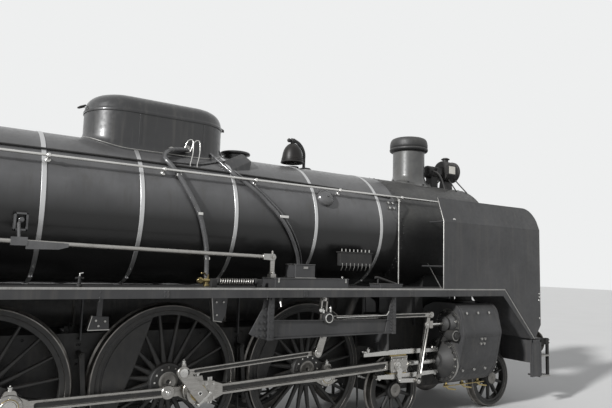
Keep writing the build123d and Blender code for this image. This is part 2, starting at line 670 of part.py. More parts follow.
# Bell arm: a foot on the boiler and a bent arm over the bell, ending in its pin and a ball
BELL_X = 2265.0
BELL_PIN_Z = 4505.0
with BuildPart() as bell_yoke:
    block(BELL_X + 185, BELL_X + 300, -60, 60, 3900, 4075)
    with BuildSketch(Plane(origin=point(BELL_X, -20, 0), x_dir=(1, 0, 0), z_dir=(0, -1, 0))):
        with BuildLine():
            Polyline((213, 4230), (213, 4040), (245, 4040), (245, 4230))
            ThreePointArc((245, 4230), (187, 4440), (45, 4532))
            Line((45, 4532), (45, 4484))
            ThreePointArc((45, 4484), (160, 4408), (213, 4230))
        make_face()
    extrude(amount=-40)
    barrel((0, BELL_PIN_Z), 16, BELL_X - 52, BELL_X + 60)
    with Locations(point(BELL_X - 72, 0, BELL_PIN_Z)):
        Sphere(34)
    seat_on_boiler()
bell_yoke.part.label = "bell_yoke"
export_step(bell_yoke.part, "parts/bell_yoke.step")

with BuildPart() as bell:
    with BuildSketch(Plane(origin=point(BELL_X, 0, 0), x_dir=(1, 0, 0), z_dir=(0, -1, 0))):
        with BuildLine():
            Line((0, 4455), (50, 4455))
            ThreePointArc((50, 4455), (125, 4385), (163, 4310))
            ThreePointArc((163, 4310), (175, 4220), (195, 4130))
            Line((195, 4130), (180, 4130))
            ThreePointArc((180, 4130), (161, 4220), (149, 4310))
            ThreePointArc((149, 4310), (113, 4372), (48, 4437))
            Polyline((48, 4437), (0, 4437), (0, 4455))
        make_face()
    revolve(axis=Axis(point(BELL_X, 0, 0), (0, 0, 1)))
    block(BELL_X - 22, BELL_X + 22, -34, 34, 4440, 4490)
    barrel((0, BELL_PIN_Z), 42, BELL_X - 32, BELL_X + 32)
    barrel((0, BELL_PIN_Z), 16 + RUNNING_FIT, BELL_X - 33, BELL_X + 33, Mode.SUBTRACT)
    post((BELL_X, 0), 10, 4170, 4440)
    post((BELL_X, 0), 28, 4150, 4200)
bell.part.label = "bell"
export_step(bell.part, "parts/bell.step")

# Lamps: the headlamp on the smokebox with the small generator behind it, and two on the beam
LAMP = (0.0, 4400.0)
with BuildPart() as lamps:
    barrel(LAMP, 205, 5750, 6075)
    barrel(LAMP, 180, 6075, 6100)
    block(5800, 6020, -222, 222, 4310, 4500)
    post((5890, 0), 60, 4580, 4650)
    post((5890, 0), 85, 4650, 4685)
    block(5800, 6000, -60, 60, 3950, 4230)
    barrel((0, 4345), 120, 5350, 5640)
    block(5440, 5560, -50, 50, 3950, 4250)
    for side in (-1, 1):
        barrel((side * 1180, 1420), 125, 6690, 6790)
        barrel((side * 1180, 1420), 105, 6790, 6815)
        post((6740, side * 1180), 30, 1262.3, 1320)
    seat_on_boiler()
lamps.part.label = "lamps"
export_step(lamps.part, "parts/lamps.step")

# Handrails along the boiler on turned stanchions
RAIL_Y, RAIL_Z = 900.0, 3620.0
STANCHION_X = (-1572.0, -198.0, 1129.0, 2606.0, 3890.0, 5400.0)
with BuildPart() as handrails:
    for side in (-1, 1):
        barrel((side * RAIL_Y, RAIL_Z), 17, -2300, 5500)
        for x in STANCHION_X:
            inward = Vector(0, -side * RAIL_Y, BOILER_Z - RAIL_Z)
            with BuildSketch(Plane(origin=point(x, side * RAIL_Y, RAIL_Z), z_dir=inward)):
                Circle(14)
            extrude(amount=130)
    seat_on_boiler(8)
handrails.part.label = "handrails"
export_step(handrails.part, "parts/handrails.step")

# Running boards with their valances, stepped down ahead of the cylinders to the buffer beam
SLOPE = ((5773.0, BOARD_Z), (6585.0, 1270.0))
BOARD_ENDS = [
    ("x0", "x1", "inner |y|"),
    (CAB_X[1] + 2, BARREL_X[0] + 2, 985),
    (BARREL_X[0] + 2, SLOPE[0][0], 640),
]
VALANCE = [
    (CAB_X[1] + 2, BOARD_Z),
    SLOPE[0],
    SLOPE[1],
    (SLOPE[1][0] - 88, SLOPE[1][1] - 15),
    (SLOPE[0][0] - 50, BOARD_Z - 120),
    (CAB_X[1] + 2, BOARD_Z - 120),
]
with BuildPart() as running_boards:
    for side in (-1, 1):
        for x0, x1, y0 in BOARD_ENDS[1:]:
            block(x0, x1, *pair(side, y0, 1488), BOARD_Z - 15, BOARD_Z)
        plate(VALANCE, side * 1488, side * BOARD_Y)
        bar((SLOPE[0][0] + 5, BOARD_Z - 17), (SLOPE[1][0], SLOPE[1][1] - 5), 12, side * 640, side * 1488)
        block(-3208, -3192, *pair(side, 985, 1488), 1990, BOARD_Z - 15)
        for x in (-1042, 1042, 4400):
            block(x - 8, x + 8, *pair(side, 632.3, 700), 1480, BOARD_Z - 15)
            block(x - 8, x + 8, *pair(side, 632.3, 1488), 1990, BOARD_Z - 15)
running_boards.part.label = "running_boards"
export_step(running_boards.part, "parts/running_boards.step")

# Smoke deflectors: tall plates with their upper strip leaning in, cut to the board's slope
LOWER_SHEET = [(4250, BOARD_Z + 0.3), (4250, 3222), (6750, 3222), (6750, 1500), SLOPE[1], SLOPE[0]]
with BuildPart() as smoke_deflectors:
    for side in (-1, 1):
        with BuildSketch(beside(side * BOARD_Y)):
            Polygon(*LOWER_SHEET, align=None)
        extrude(amount=-side * 10)
        fold = point(0, side * BOARD_Y, 3220)
        lean = Plane(origin=fold, x_dir=(1, 0, 0), z_dir=(0, -0.9426, side * -0.3338))
        with BuildSketch(lean):
            with BuildLine():
                Polyline((4250, -3), (6750, -3), (6750, 140))
                RadiusArc((6750, 140), (6450, 415), -290)
                Polyline((6450, 415), (4250, 415), (4250, -3))
            make_face()
        extrude(amount=-side * 10)
        for x, z in ((4500, 3250), (5950, 3150), (4500, 2500), (5900, 2500)):
            round_bar((x, side * 700, z), (x, side * 1498, z), 14)
    barrel((0, BOILER_Z), BOILER_R + SEAT, BARREL_X[0], SMOKEBOX_FRONT, Mode.SUBTRACT)
    barrel((0, BOILER_Z), BOILER_R - 100, SMOKEBOX_FRONT - 10, 6500, Mode.SUBTRACT)
smoke_deflectors.part.label = "smoke_deflectors"
export_step(smoke_deflectors.part, "parts/smoke_deflectors.step")

# Boxes on the boards: (x0, x1, y0, y1, height)
BOXES = [
    (1150, 2365, 1120, 1480, 135),
    (1470, 1800, 1180, 1460, 325),
    (3000, 3450, 1150, 1420, 70),
]
with BuildPart() as board_boxes:
    for side in (-1, 1):
        for x0, x1, y0, y1, height in BOXES:
            block(x0, x1, *pair(side, y0, y1), BOARD_Z + 0.3, BOARD_Z + height)
board_boxes.part.label = "board_boxes"
export_step(board_boxes.part, "parts/board_boxes.step")

# Reversing gear on the right board: reach rod from the cab, its fork, lever and balance spring
with BuildPart() as reach_rod:
    round_bar((-3940, -1300, 2650), (1160, -1300, 2544), 26)
    disc((1200, 2543), 48, -1280, -1320)
    bar((1200, 2543), (1200, BOARD_Z + 140), 60, -1285, -1315)
    barrel((-1300, BOARD_Z + 75), 45, 400, 975)
    block(330, 400, -1330, -1270, BOARD_Z + 0.3, BOARD_Z + 110)
    block(975, 1040, -1330, -1270, BOARD_Z + 0.3, BOARD_Z + 110)
    block(1160, 1240, -1330, -1270, BOARD_Z + 135.3, BOARD_Z + 180)
reach_rod.part.label = "reach_rod"
export_step(reach_rod.part, "parts/reach_rod.step")

# Front beam: buffer plate, gussets, deck ahead of the smokebox and end plates
with BuildPart() as front_beam:
    block(BEAM_X[0] + 0.3, BEAM_X[1], -1460, 1460, 800, 1250)
    block(5700, BEAM_X[1], -640, 640, 1600.3, 1612)
    for side in (-1, 1):
        block(6590, BEAM_X[1], *pair(side, 640, 1480), 1250, 1262)
        block(6490, BEAM_X[1], *pair(side, 1460, 1490), 590, 1240)
        plate([(6300, 1240), (BEAM_X[0] + 1, 1240), (BEAM_X[0] + 1, 830)], side * 640, side * 665)
    block(BEAM_X[0] + 0.3, BEAM_X[1] - 40, -640, 640, 1250, 1600.3)
front_beam.part.label = "front_beam"
export_step(front_beam.part, "parts/front_beam.step")

# Buffers: flanged housings, plungers and round heads
with BuildPart() as buffers:
    for side in (-1, 1):
        centre = (side * BUFFER_Y, BUFFER_Z)
        with BuildSketch(across(BEAM_X[1])):
            with Locations(centre):
                RectangleRounded(340, 300, 40)
        extrude(amount=25)
        barrel(centre, 105, BEAM_X[1] + 25, BEAM_X[1] + 330)
        barrel(centre, 80, BEAM_X[1] + 330, BUFFER_X - 40)
        barrel(centre, 225, BUFFER_X - 40, BUFFER_X)
buffers.part.label = "buffers"
export_step(buffers.part, "parts/buffers.step")

# Draw hook with its screw coupling hanging down
HOOK = [
    (6780, 1040), (6980, 1040), (7090, 1080), (7090, 1200),
    (7010, 1220), (7030, 1150), (6960, 1120), (6780, 1120),
]
with BuildPart() as draw_gear:
    plate(HOOK, -30, 30)
    disc((7000, 1090), 32, -90, 90)
    for side in (-1, 1):
        bar((7000, 1090), (7010, 780), 40, side * 60, side * 85)
    disc((7010, 780), 32, -90, 90)
    bar((7010, 760), (7010, 560), 46, -23, 23)
draw_gear.part.label = "draw_gear"
export_step(draw_gear.part, "parts/draw_gear.step")

# Cab: front and side walls, floor, windows cut through, and doorways at the rear
with BuildPart() as cab_walls:
    front = CAB_X[1] - CAB_WALL
    with BuildSketch(across(front)):
        with Locations((0, ROOF_TOP - 2915)):
            Circle(2883)
        with Locations((0, (BOARD_Z - 15 + 4500) / 2)):
            Rectangle(2 * BOARD_Y, 4500 - BOARD_Z + 15, mode=Mode.INTERSECT)
        with Locations((0, BOILER_Z)):
            Circle(BOILER_R + 24, mode=Mode.SUBTRACT)
        with Locations((0, BOILER_Z - 700)):
            Rectangle(2 * BOILER_R + 48, 1400, mode=Mode.SUBTRACT)
        for side in (-1, 1):
            with Locations((side * 1240, 3350)):
                Rectangle(320, 600, mode=Mode.SUBTRACT)
    extrude(amount=CAB_WALL)
    for side in (-1, 1):
        y0, y1 = side * (BOARD_Y - CAB_WALL), side * BOARD_Y
        with BuildSketch(beside(y0)):
            with Locations(((CAB_X[0] + CAB_X[1]) / 2, (1750 + EAVES_Z) / 2)):
                Rectangle(CAB_X[1] - CAB_X[0], EAVES_Z - 1750)
            with Locations((-4650, 3255)):
                Rectangle(800, 610, mode=Mode.SUBTRACT)
            with Locations((-5655, 2965)):
                Rectangle(610, 1630, mode=Mode.SUBTRACT)
        extrude(amount=-side * CAB_WALL)
        for z in HINGE_Z:
            post((DOOR_HINGE_X, side * HINGE_Y), 7, z - 50, z + 42)
            block(DOOR_HINGE_X - 14, -5349, side * HINGE_Y - 14, side * HINGE_Y + 14, z - 60, z - 42)
    block(CAB_X[0], FIREBOX_REAR - 2, -BOARD_Y + CAB_WALL, BOARD_Y - CAB_WALL, BOARD_Z - 60, BOARD_Z - 15)
    for side in (-1, 1):
        y0, y1 = pair(side, BOILER_R + 24, BOARD_Y - CAB_WALL)
        block(FIREBOX_REAR - 2, CAB_X[1], y0, y1, BOARD_Z - 60, BOARD_Z - 15)
cab_walls.part.label = "cab_walls"
export_step(cab_walls.part, "parts/cab_walls.step")

# Cab roof: one arched sheet
with BuildPart() as cab_roof:
    with BuildSketch(across(CAB_X[0] - 90)):
        with Locations((0, ROOF_TOP - 2915)):
            Circle(2915)
            Circle(2885, mode=Mode.SUBTRACT)
        with Locations((0, ROOF_TOP)):
            Rectangle(3060, 880, mode=Mode.INTERSECT)
    extrude(amount=CAB_X[1] - CAB_X[0] + 200)
cab_roof.part.label = "cab_roof"
export_step(cab_roof.part, "parts/cab_roof.step")

# Panes in the side and front windows
with BuildPart() as cab_glass:
    for side in (-1, 1):
        plate([(-5050, 2950), (-4250, 2950), (-4250, 3560), (-5050, 3560)], side * 1476, side * 1482)
        block(-3974, -3968, *pair(side, 1080, 1400), 3050, 3650)
cab_glass.part.label = "cab_glass"
export_step(cab_glass.part, "parts/cab_glass.step")

# Cab doors, half high, hinged at their front edges and opening inward
for name, side in (("cab_door_right", -1), ("cab_door_left", 1)):
    with BuildPart() as door:
        edge = DOOR_HINGE_X - 26
        block(-5950, edge, *pair(side, 1462, 1496), BOARD_Z + 20, 3120)
        for z in HINGE_Z:
            post((DOOR_HINGE_X, side * HINGE_Y), 14, z - 40, z + 40)
            block(edge - 1, DOOR_HINGE_X, side * HINGE_Y - 8, side * HINGE_Y + 8, z - 40, z + 40)
            post((DOOR_HINGE_X, side * HINGE_Y), 7 + RUNNING_FIT, z - 41, z + 41, Mode.SUBTRACT)
    door.part.label = name
    export_step(door.part, "parts/" + name + ".step")

# Backhead fittings in the cab: fire door, regulator, gauges and the reversing wheel's stand
with BuildPart() as backhead:
    x = FIREBOX_REAR
    barrel((0, 2560), 230, x - 40, x)
    barrel((0, 3350), 60, x - 160, x)
    bar((x - 140, 3350), (x - 140, 3000), 40, -20, 20)
    for y in (-420, -140, 140, 420):
        barrel((y, 3700), 85, x - 60, x)
    block(x - 420, x - 300, -1250, -1150, BOARD_Z - 15, 2950)
    barrel((-1200, 2950), 240, x - 330, x - 300)
backhead.part.label = "backhead"
export_step(backhead.part, "parts/backhead.step")

# Pipes down the boiler's sides on both hands: (radius, points x, |y|, z from the top down)
FEED_PIPE = [
    (240, 532, 3990), (110, 560, 3978), (-20, 580, 3952), (-125, 640, 3878),
    (-150, 728, 3786), (-85, 800, 3708), (10, 882, 3556), (128, 976, 3322),
    (266, 1006, 3074), (365, 966, 2795), (425, 935, 2560), (430, 930, 2165),
]
BRAKE_PIPE = [
    (862, 840, 3632), (1012, 898, 3548), (1199, 962, 3382), (1483, 1010, 3118),
    (1647, 996, 2915), (1830, 908, 2660), (1915, 842, 2480), (1930, 830, 2165),
]
with BuildPart() as boiler_pipes:
    for side in (-1, 1):
        for radius, route, clips in ((27, FEED_PIPE, (6, 8, 9)), (21, BRAKE_PIPE, (2, 3, 5))):
            places = [(x, side * y, z) for x, y, z in route]
            for p, q in zip(places, places[1:]):
                round_bar(p, q, radius)
            for p in places[1:-1]:
                with Locations(point(*p)):
                    Sphere(radius)
            for i in clips:
                x, y, z = places[i]
                inner = (x, y * 0.94, BOILER_Z + (z - BOILER_Z) * 0.94)
                round_bar((x, y, z), inner, 16)
    seat_on_boiler()
boiler_pipes.part.label = "boiler_pipes"
export_step(boiler_pipes.part, "parts/boiler_pipes.step")

# Footsteps below the front beam and the cab: (x of the middle, |y| of the hanger, heights of the treads)
STEPS = [
    (6935, 1440, (560, 920)),
    (-5655, 1440, (480, 850, 1220, 1580)),
]
with BuildPart() as footsteps:
    for side in (-1, 1):
        for x, y, heights in STEPS:
            top = 1240 if x > 0 else 1749.7
            for end in (-150, 130):
                block(x + end, x + end + 20, *pair(side, y - 60, y), heights[0], top)
            for z in heights:
                block(x - 150, x + 150, *pair(side, y - 240, y + 20), z, z + 25)
            block(x - 150, x + 150, *pair(side, y - 60, y - 50), top - 120, top)
footsteps.part.label = "footsteps"
export_step(footsteps.part, "parts/footsteps.step")
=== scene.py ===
"""Broad-gauge two-cylinder express steam engine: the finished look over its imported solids."""

import logging
import math
from dataclasses import dataclass
from enum import Enum
from typing import Any, Callable, Sequence

import bmesh
import bpy
from mathutils import Matrix, Vector


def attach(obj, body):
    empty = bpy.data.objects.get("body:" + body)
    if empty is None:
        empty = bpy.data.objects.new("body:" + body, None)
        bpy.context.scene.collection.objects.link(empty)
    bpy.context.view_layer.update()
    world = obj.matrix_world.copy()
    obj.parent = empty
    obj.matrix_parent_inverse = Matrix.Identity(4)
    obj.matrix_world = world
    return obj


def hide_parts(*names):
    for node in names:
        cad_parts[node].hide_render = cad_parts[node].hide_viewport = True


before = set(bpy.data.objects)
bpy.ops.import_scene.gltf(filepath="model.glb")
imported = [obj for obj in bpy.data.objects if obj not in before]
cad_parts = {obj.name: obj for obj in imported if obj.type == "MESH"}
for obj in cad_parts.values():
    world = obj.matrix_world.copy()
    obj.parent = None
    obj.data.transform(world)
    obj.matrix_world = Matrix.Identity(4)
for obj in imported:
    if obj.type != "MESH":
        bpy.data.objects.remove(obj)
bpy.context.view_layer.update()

# The drawing datum used below is metres from the main axle, the track's centre and the rail.
DATUM = Vector((-0.635, 0.0, 0.028))
RIGHT, LEFT = -1, 1
SIDES = (RIGHT, LEFT)
NAMED_SIDES = ((RIGHT, "right"), (LEFT, "left"))
# Pieces drawn where they stand, rather than on |y| for one side or both
MIDDLE = (1,)

Point2 = tuple[float, float]
Point3 = tuple[float, float, float]
Path = Sequence[Sequence[float]]
Socket = bpy.types.NodeSocket

log = logging.getLogger("engine")


class Along(Enum):
    """Axis that a shape is pushed out along or turned about."""

    X = "lengthwise"
    Y = "across"
    Z = "upright"

    def place(self, along: float, u: float, v: float) -> Vector:
        """Put a point at a distance along the axis.

        Args:
            along: distance along the axis.
            u: the first of the other two axes, in alphabetical order.
            v: the second of them.

        Returns:
            The point in the drawing datum.
        """
        if self is Along.X:
            return Vector((along, u, v))
        if self is Along.Y:
            return Vector((u, along, v))
        return Vector((u, v, along))


# Outlines


def arc(centre: Point2, radius: float, start: float, end: float, steps: int) -> list[Point2]:
    """Points on an arc, both ends included.

    Args:
        centre: middle of the arc's circle.
        radius: its radius.
        start: first angle in degrees.
        end: last angle in degrees.
        steps: number of chords.

    Returns:
        The points in order.
    """
    angles = [math.radians(start + (end - start) * i / steps) for i in range(steps + 1)]
    return [(centre[0] + radius * math.cos(a), centre[1] + radius * math.sin(a)) for a in angles]


def hull(p: Point2, q: Point2, radius_p: float, radius_q: float, steps: int = 12) -> list[Point2]:
    """Outline of a lever: two round eyes with straight edges between them.

    Args:
        p: centre of the first eye.
        q: centre of the second.
        radius_p: radius of the first eye.
        radius_q: radius of the second.
        steps: chords in each round.

    Returns:
        The closed outline, anticlockwise.
    """
    way = math.degrees(math.atan2(q[1] - p[1], q[0] - p[0]))
    lean = math.degrees(math.acos(max(-1.0, min(1.0, (radius_p - radius_q) / math.dist(p, q)))))
    first = arc(q, radius_q, way - lean, way + lean, steps)
    second = arc(p, radius_p, way + lean, way + 360 - lean, steps)
    return first + second


def rounded(outline: Sequence[Point2], radius: float, steps: int = 4) -> list[Point2]:
    """Round every corner of an outline.

    Args:
        outline: corners in order.
        radius: length taken off each edge at a corner, at most.
        steps: chords in each corner.

    Returns:
        The rounded outline.
    """
    points = []
    count = len(outline)
    for i, corner in enumerate(outline):
        here = Vector(corner)
        back = Vector(outline[i - 1]) - here
        ahead = Vector(outline[(i + 1) % count]) - here
        cut = min(radius, back.length * 0.45, ahead.length * 0.45)
        a = here + back.normalized() * cut
        b = here + ahead.normalized() * cut
        for j in range(steps + 1):
            t = j / steps
            spot = a * (1 - t) ** 2 + here * 2 * t * (1 - t) + b * t**2
            points.append((spot.x, spot.y))
    return points


def stadium(centre: Point2, length: float, width: float, steps: int = 16) -> list[Point2]:
    """Outline with straight sides and half-round ends.

    Args:
        centre: middle of the outline.
        length: overall length.
        width: overall width, the ends' diameter.
        steps: chords in each end.

    Returns:
        The closed outline, anticlockwise.
    """
    half = (length - width) / 2
    right = arc((centre[0] + half, centre[1]), width / 2, -90, 90, steps)
    left = arc((centre[0] - half, centre[1]), width / 2, 90, 270, steps)
    return right + left


def bow(first: Point2, middle: Point2, last: Point2, steps: int = 10) -> list[Point2]:
    """Points of the arc through three points.

    Args:
        first: where it starts.
        middle: a point on its way.
        last: where it ends.
        steps: facets along it.

    Returns:
        The points, both ends included.
    """
    (ax, ay), (bx, by), (cx, cy) = first, middle, last
    twice = 2 * (ax * (by - cy) + bx * (cy - ay) + cx * (ay - by))
    a, b, c = ax * ax + ay * ay, bx * bx + by * by, cx * cx + cy * cy
    x = (a * (by - cy) + b * (cy - ay) + c * (ay - by)) / twice
    z = (a * (cx - bx) + b * (ax - cx) + c * (bx - ax)) / twice
    hub = (x, z)
    start = math.atan2(ay - hub[1], ax - hub[0])
    turn = math.tau if twice > 0 else -math.tau
    sweep = (math.atan2(cy - hub[1], cx - hub[0]) - start) % turn
    radius = math.hypot(ax - hub[0], ay - hub[1])
    angles = [start + sweep * i / steps for i in range(steps + 1)]
    return [(hub[0] + radius * math.cos(t), hub[1] + radius * math.sin(t)) for t in angles]


def cross(angle: float, radius: float, lift: float = 0.0) -> Point2:
    """Point (y, z) on the boiler's round, at an angle from level in degrees, lifted off it."""
    a = math.radians(angle)
    return ((radius + lift) * math.cos(a), Boiler.height + (radius + lift) * math.sin(a))


# Nodes


def linear(colour: str) -> tuple[float, float, float, float]:
    """Linear value of an sRGB hex colour, as shaders take it.

    Args:
        colour: the hex value.

    Returns:
        Its red, green and blue, with an alpha of 1.
    """
    parts = [int(colour[i : i + 2], 16) / 255 for i in (0, 2, 4)]
    r, g, b = (c / 12.92 if c <= 0.04045 else ((c + 0.055) / 1.055) ** 2.4 for c in parts)
    return (r, g, b, 1.0)


# Sockets of the Mix node for colours
FACTOR, MIX_A, MIX_B, MIXED = 0, 6, 7, 2


class Nodes:
    """A node tree with short ways to add nodes to it."""

    def __init__(self, tree: bpy.types.NodeTree) -> None:
        """Work on a tree, emptied first."""
        self.tree = tree
        tree.nodes.clear()

    def add(self, kind: str, given: dict[str | int, Any] | None = None, out: str | int = 0) -> Socket | None:
        """Add a node.

        Args:
            kind: the node's type.
            given: the node's own properties by name; and by an input's name or number, its value or its source.
            out: name or number of the output that is wanted.

        Returns:
            That output, or None for a node without outputs.
        """
        node = self.tree.nodes.new(kind)
        for name, value in (given or {}).items():
            if isinstance(value, Socket):
                self.tree.links.new(value, node.inputs[name])
            elif isinstance(name, str) and name in node.bl_rna.properties:
                setattr(node, name, value)
            else:
                node.inputs[name].default_value = value
        return node.outputs[out] if node.outputs else None

    def noise(self, size_mm: float, stretch: Point3 = (1, 1, 1), detail: float = 3.0) -> Socket:
        """Noise whose features have a real size.

        Args:
            size_mm: size of a feature in millimetres.
            stretch: how much longer a feature is along each axis.
            detail: octaves of detail.

        Returns:
            The noise's value.
        """
        place = self.add("ShaderNodeTexCoord", out="Object")
        scaled = self.add("ShaderNodeMapping", {"Scale": [1 / s for s in stretch], "Vector": place})
        return self.add("ShaderNodeTexNoise", {"Scale": 1000.0 / size_mm, "Detail": detail, "Vector": scaled})

    def calc(self, operation: str, a: Socket, b: Socket | float) -> Socket:
        """Work out a and b with a Math node."""
        return self.add("ShaderNodeMath", {"operation": operation, 0: a, 1: b})

    def ramp(self, value: Socket, low: float, high: float, a: float, b: float) -> Socket:
        """Map a value from low-high to a-b, clamped."""
        return self.add("ShaderNodeMapRange", {0: value, 1: low, 2: high, 3: a, 4: b})

    def mix(self, factor: Socket, a: Socket | str, b: Socket | str) -> Socket:
        """Mix two colours, each a socket or a hex value, by a factor."""
        first, second = (linear(c) if isinstance(c, str) else c for c in (a, b))
        return self.add("ShaderNodeMix", {"data_type": "RGBA", FACTOR: factor, MIX_A: first, MIX_B: second}, MIXED)

    def slope(self) -> Socket:
        """How far a face looks up: 1 up, 0 upright, -1 down."""
        normal = self.add("ShaderNodeNewGeometry", out="Normal")
        return self.add("ShaderNodeSeparateXYZ", {0: normal}, "Z")

    def facing_up(self) -> Socket:
        """1 on faces that look up, 0 on upright ones and those that look down."""
        return self.ramp(self.slope(), 0.45, 0.95, 0.0, 1.0)

    def surface(
        self, colour: Socket, roughness: Socket, layers: Sequence[tuple[Socket, float, float]], **more: float
    ) -> Socket:
        """Principled shader over stacked bumps.

        Args:
            colour: its base colour.
            roughness: its roughness.
            layers: height, strength and depth in millimetres of each bump.
            more: other inputs, with _ for each space in their names.

        Returns:
            The shader.
        """
        given: dict[str | int, Any] = {name.replace("_", " "): value for name, value in more.items()}
        normal: dict[str | int, Any] = {}
        for height, strength, depth in layers:
            bump = {"Strength": strength, "Distance": depth / 1000, "Height": height, **normal}
            normal = {"Normal": self.add("ShaderNodeBump", bump)}
        given.update({"Base Color": colour, "Roughness": roughness, **normal})
        return self.add("ShaderNodeBsdfPrincipled", given)


class Finish:
    """A surface finish: a procedural material made once and shared by its pieces."""

    name: str

    def material(self) -> bpy.types.Material:
        """The finish's material, made at the first call.

        Returns:
            The material.
        """
        material = bpy.data.materials.get(self.name)
        if not material:
            material = bpy.data.materials.new(self.name)
            material.use_nodes = True
            nodes = Nodes(material.node_tree)
            nodes.add("ShaderNodeOutputMaterial", {"Surface": self.build(nodes)})
        return material

    def build(self, nodes: Nodes) -> Socket:
        """Build the finish's nodes and return the shader's socket."""
        raise NotImplementedError


@dataclass(frozen=True)
class Enamel(Finish):
    """Brushed enamel on steel plate: satin, with soft mottling, rain streaks, dust where it lies level, and painted
    shade on faces that look down where a shade colour is given.

    Attributes:
        colour: the paint itself.
        faded: the same paint where it has chalked.
        dust: ash and dust on level faces.
        shade: colour of the painted shade on faces that look down, low on a round barrel, or nothing.
        dusting: share of dust there.
        roughness: mean roughness.
        mottle_mm: size of the mottling.
        streaking: strength of the rain streaks.
        sheet_mm: length of the waves in thin sheet, or 0 on heavy plate.
        sheet_depth: depth of those waves in millimetres.
        coat: share of clear varnish over the paint.
    """

    name: str
    colour: str
    faded: str
    dust: str = "4a4845"
    shade: str = ""
    dusting: float = 0.35
    roughness: float = 0.42
    mottle_mm: float = 420.0
    streaking: float = 0.5
    sheet_mm: float = 0.0
    sheet_depth: float = 3.0
    coat: float = 0.0

    def build(self, nodes: Nodes) -> Socket:
        """Build the paint's nodes.

        Args:
            nodes: the material's nodes.

        Returns:
            The shader.
        """
        streak_mm, dust_mm, wear_mm, grain_mm = 70.0, 160.0, 55.0, 9.0
        mottle = nodes.ramp(nodes.noise(self.mottle_mm, detail=5.0), 0.35, 0.72, 0.0, 1.0)
        paint = nodes.mix(mottle, self.colour, self.faded)
        streaks = nodes.ramp(nodes.noise(streak_mm, (1, 1, 14), 4.0), 0.52, 0.75, 0.0, self.streaking)
        washed = nodes.mix(streaks, paint, self.dust)
        patches = nodes.ramp(nodes.noise(dust_mm), 0.3, 0.7, 0.4, 1.0)
        settled = nodes.calc("MULTIPLY", nodes.facing_up(), patches)
        dusted_and_shaded = nodes.mix(nodes.calc("MULTIPLY", settled, self.dusting), washed, self.dust)
        # Painted shade: faces that look down are darkened towards the shade colour.
        if self.shade:
            dusted_and_shaded = nodes.mix(nodes.ramp(nodes.slope(), -0.12, 0.3, 1.0, 0.0), dusted_and_shaded, self.shade)
        worn = nodes.ramp(nodes.noise(wear_mm, detail=4.0), 0.3, 0.7, self.roughness - 0.07, self.roughness + 0.1)
        layers = [(nodes.noise(grain_mm), 0.25, 0.35)]
        if self.sheet_mm:
            layers.append((nodes.noise(self.sheet_mm, (1.6, 1, 1), 1.0), 0.6, self.sheet_depth))
        return nodes.surface(dusted_and_shaded, worn, layers, IOR=1.5, Coat_Weight=self.coat, Coat_Roughness=0.12)


@dataclass(frozen=True)
class BareSteel(Finish):
    """Machined or rolled metal kept bright: brushed one way, with an oil film in patches.

    Attributes:
        colour: the metal.
        film: old oil and dirt on it.
        filming: how much of it the film takes, from 0 to 1.
        roughness: mean roughness.
        stretch: how much longer the brush marks are along each axis.
    """

    name: str
    colour: str
    film: str = "35302a"
    filming: float = 0.3
    roughness: float = 0.34
    stretch: Point3 = (30, 1, 1)

    def build(self, nodes: Nodes) -> Socket:
        """Build the metal's nodes.

        Args:
            nodes: the material's nodes.

        Returns:
            The shader.
        """
        patch_mm, brush_mm, wear_mm = 130.0, 5.0, 60.0
        patches = nodes.ramp(nodes.noise(patch_mm, detail=6.0), 0.62 - 0.3 * self.filming, 0.8, 0.0, 0.9)
        brush = nodes.noise(brush_mm, self.stretch, 2.0)
        tone = nodes.mix(nodes.ramp(brush, 0.3, 0.7, 0.0, 0.35), self.colour, self.film)
        colour = nodes.mix(nodes.calc("MULTIPLY", patches, self.filming), tone, self.film)
        rough = nodes.ramp(nodes.noise(wear_mm, detail=5.0), 0.3, 0.75, self.roughness - 0.08, self.roughness + 0.14)
        return nodes.surface(colour, rough, [(brush, 0.15, 0.2)], Metallic=1.0)


@dataclass(frozen=True)
class CastMetal(Finish):
    """Casting with its sand-mould skin: coarse grain, painted or smoked, darker in its hollows.

    Attributes:
        colour: the skin.
        hollow: colour in the hollows of the grain.
        metallic: share of bare metal.
        roughness: mean roughness.
        grit_mm: size of the grain, drawn coarser than the real 1 mm so that it shows.
    """

    name: str
    colour: str
    hollow: str
    metallic: float = 0.0
    roughness: float = 0.6
    grit_mm: float = 7.0

    def build(self, nodes: Nodes) -> Socket:
        """Build the casting's nodes.

        Args:
            nodes: the material's nodes.

        Returns:
            The shader.
        """
        stain_mm, settled = 140.0, "55524e"
        grit = nodes.noise(self.grit_mm, detail=5.0)
        stain = nodes.ramp(nodes.noise(stain_mm, detail=5.0), 0.35, 0.7, 0.0, 1.0)
        skin = nodes.mix(stain, self.colour, self.hollow)
        colour = nodes.mix(nodes.calc("MULTIPLY", nodes.facing_up(), 0.3), skin, settled)
        rough = nodes.ramp(grit, 0.3, 0.7, self.roughness - 0.08, self.roughness + 0.12)
        return nodes.surface(colour, rough, [(grit, 0.35, 0.7)], Metallic=self.metallic)


@dataclass(frozen=True)
class Glazing(Finish):
    """Drawn window or lens glass: clear, faintly wavy, with a trace of dirt."""

    name: str
    colour: str = "dfe5e3"

    def build(self, nodes: Nodes) -> Socket:
        """Build the glass's nodes.

        Args:
            nodes: the material's nodes.

        Returns:
            The shader.
        """
        wave_mm, dirt_mm = 180.0, 40.0
        waves = nodes.noise(wave_mm, detail=1.0)
        dirt = nodes.ramp(nodes.noise(dirt_mm, detail=5.0), 0.5, 0.8, 0.02, 0.16)
        tint = nodes.mix(nodes.ramp(waves, 0.3, 0.7, 0.0, 0.3), self.colour, "c3cbc8")
        return nodes.surface(tint, dirt, [(waves, 0.1, 0.4)], Transmission_Weight=1.0, IOR=1.5)


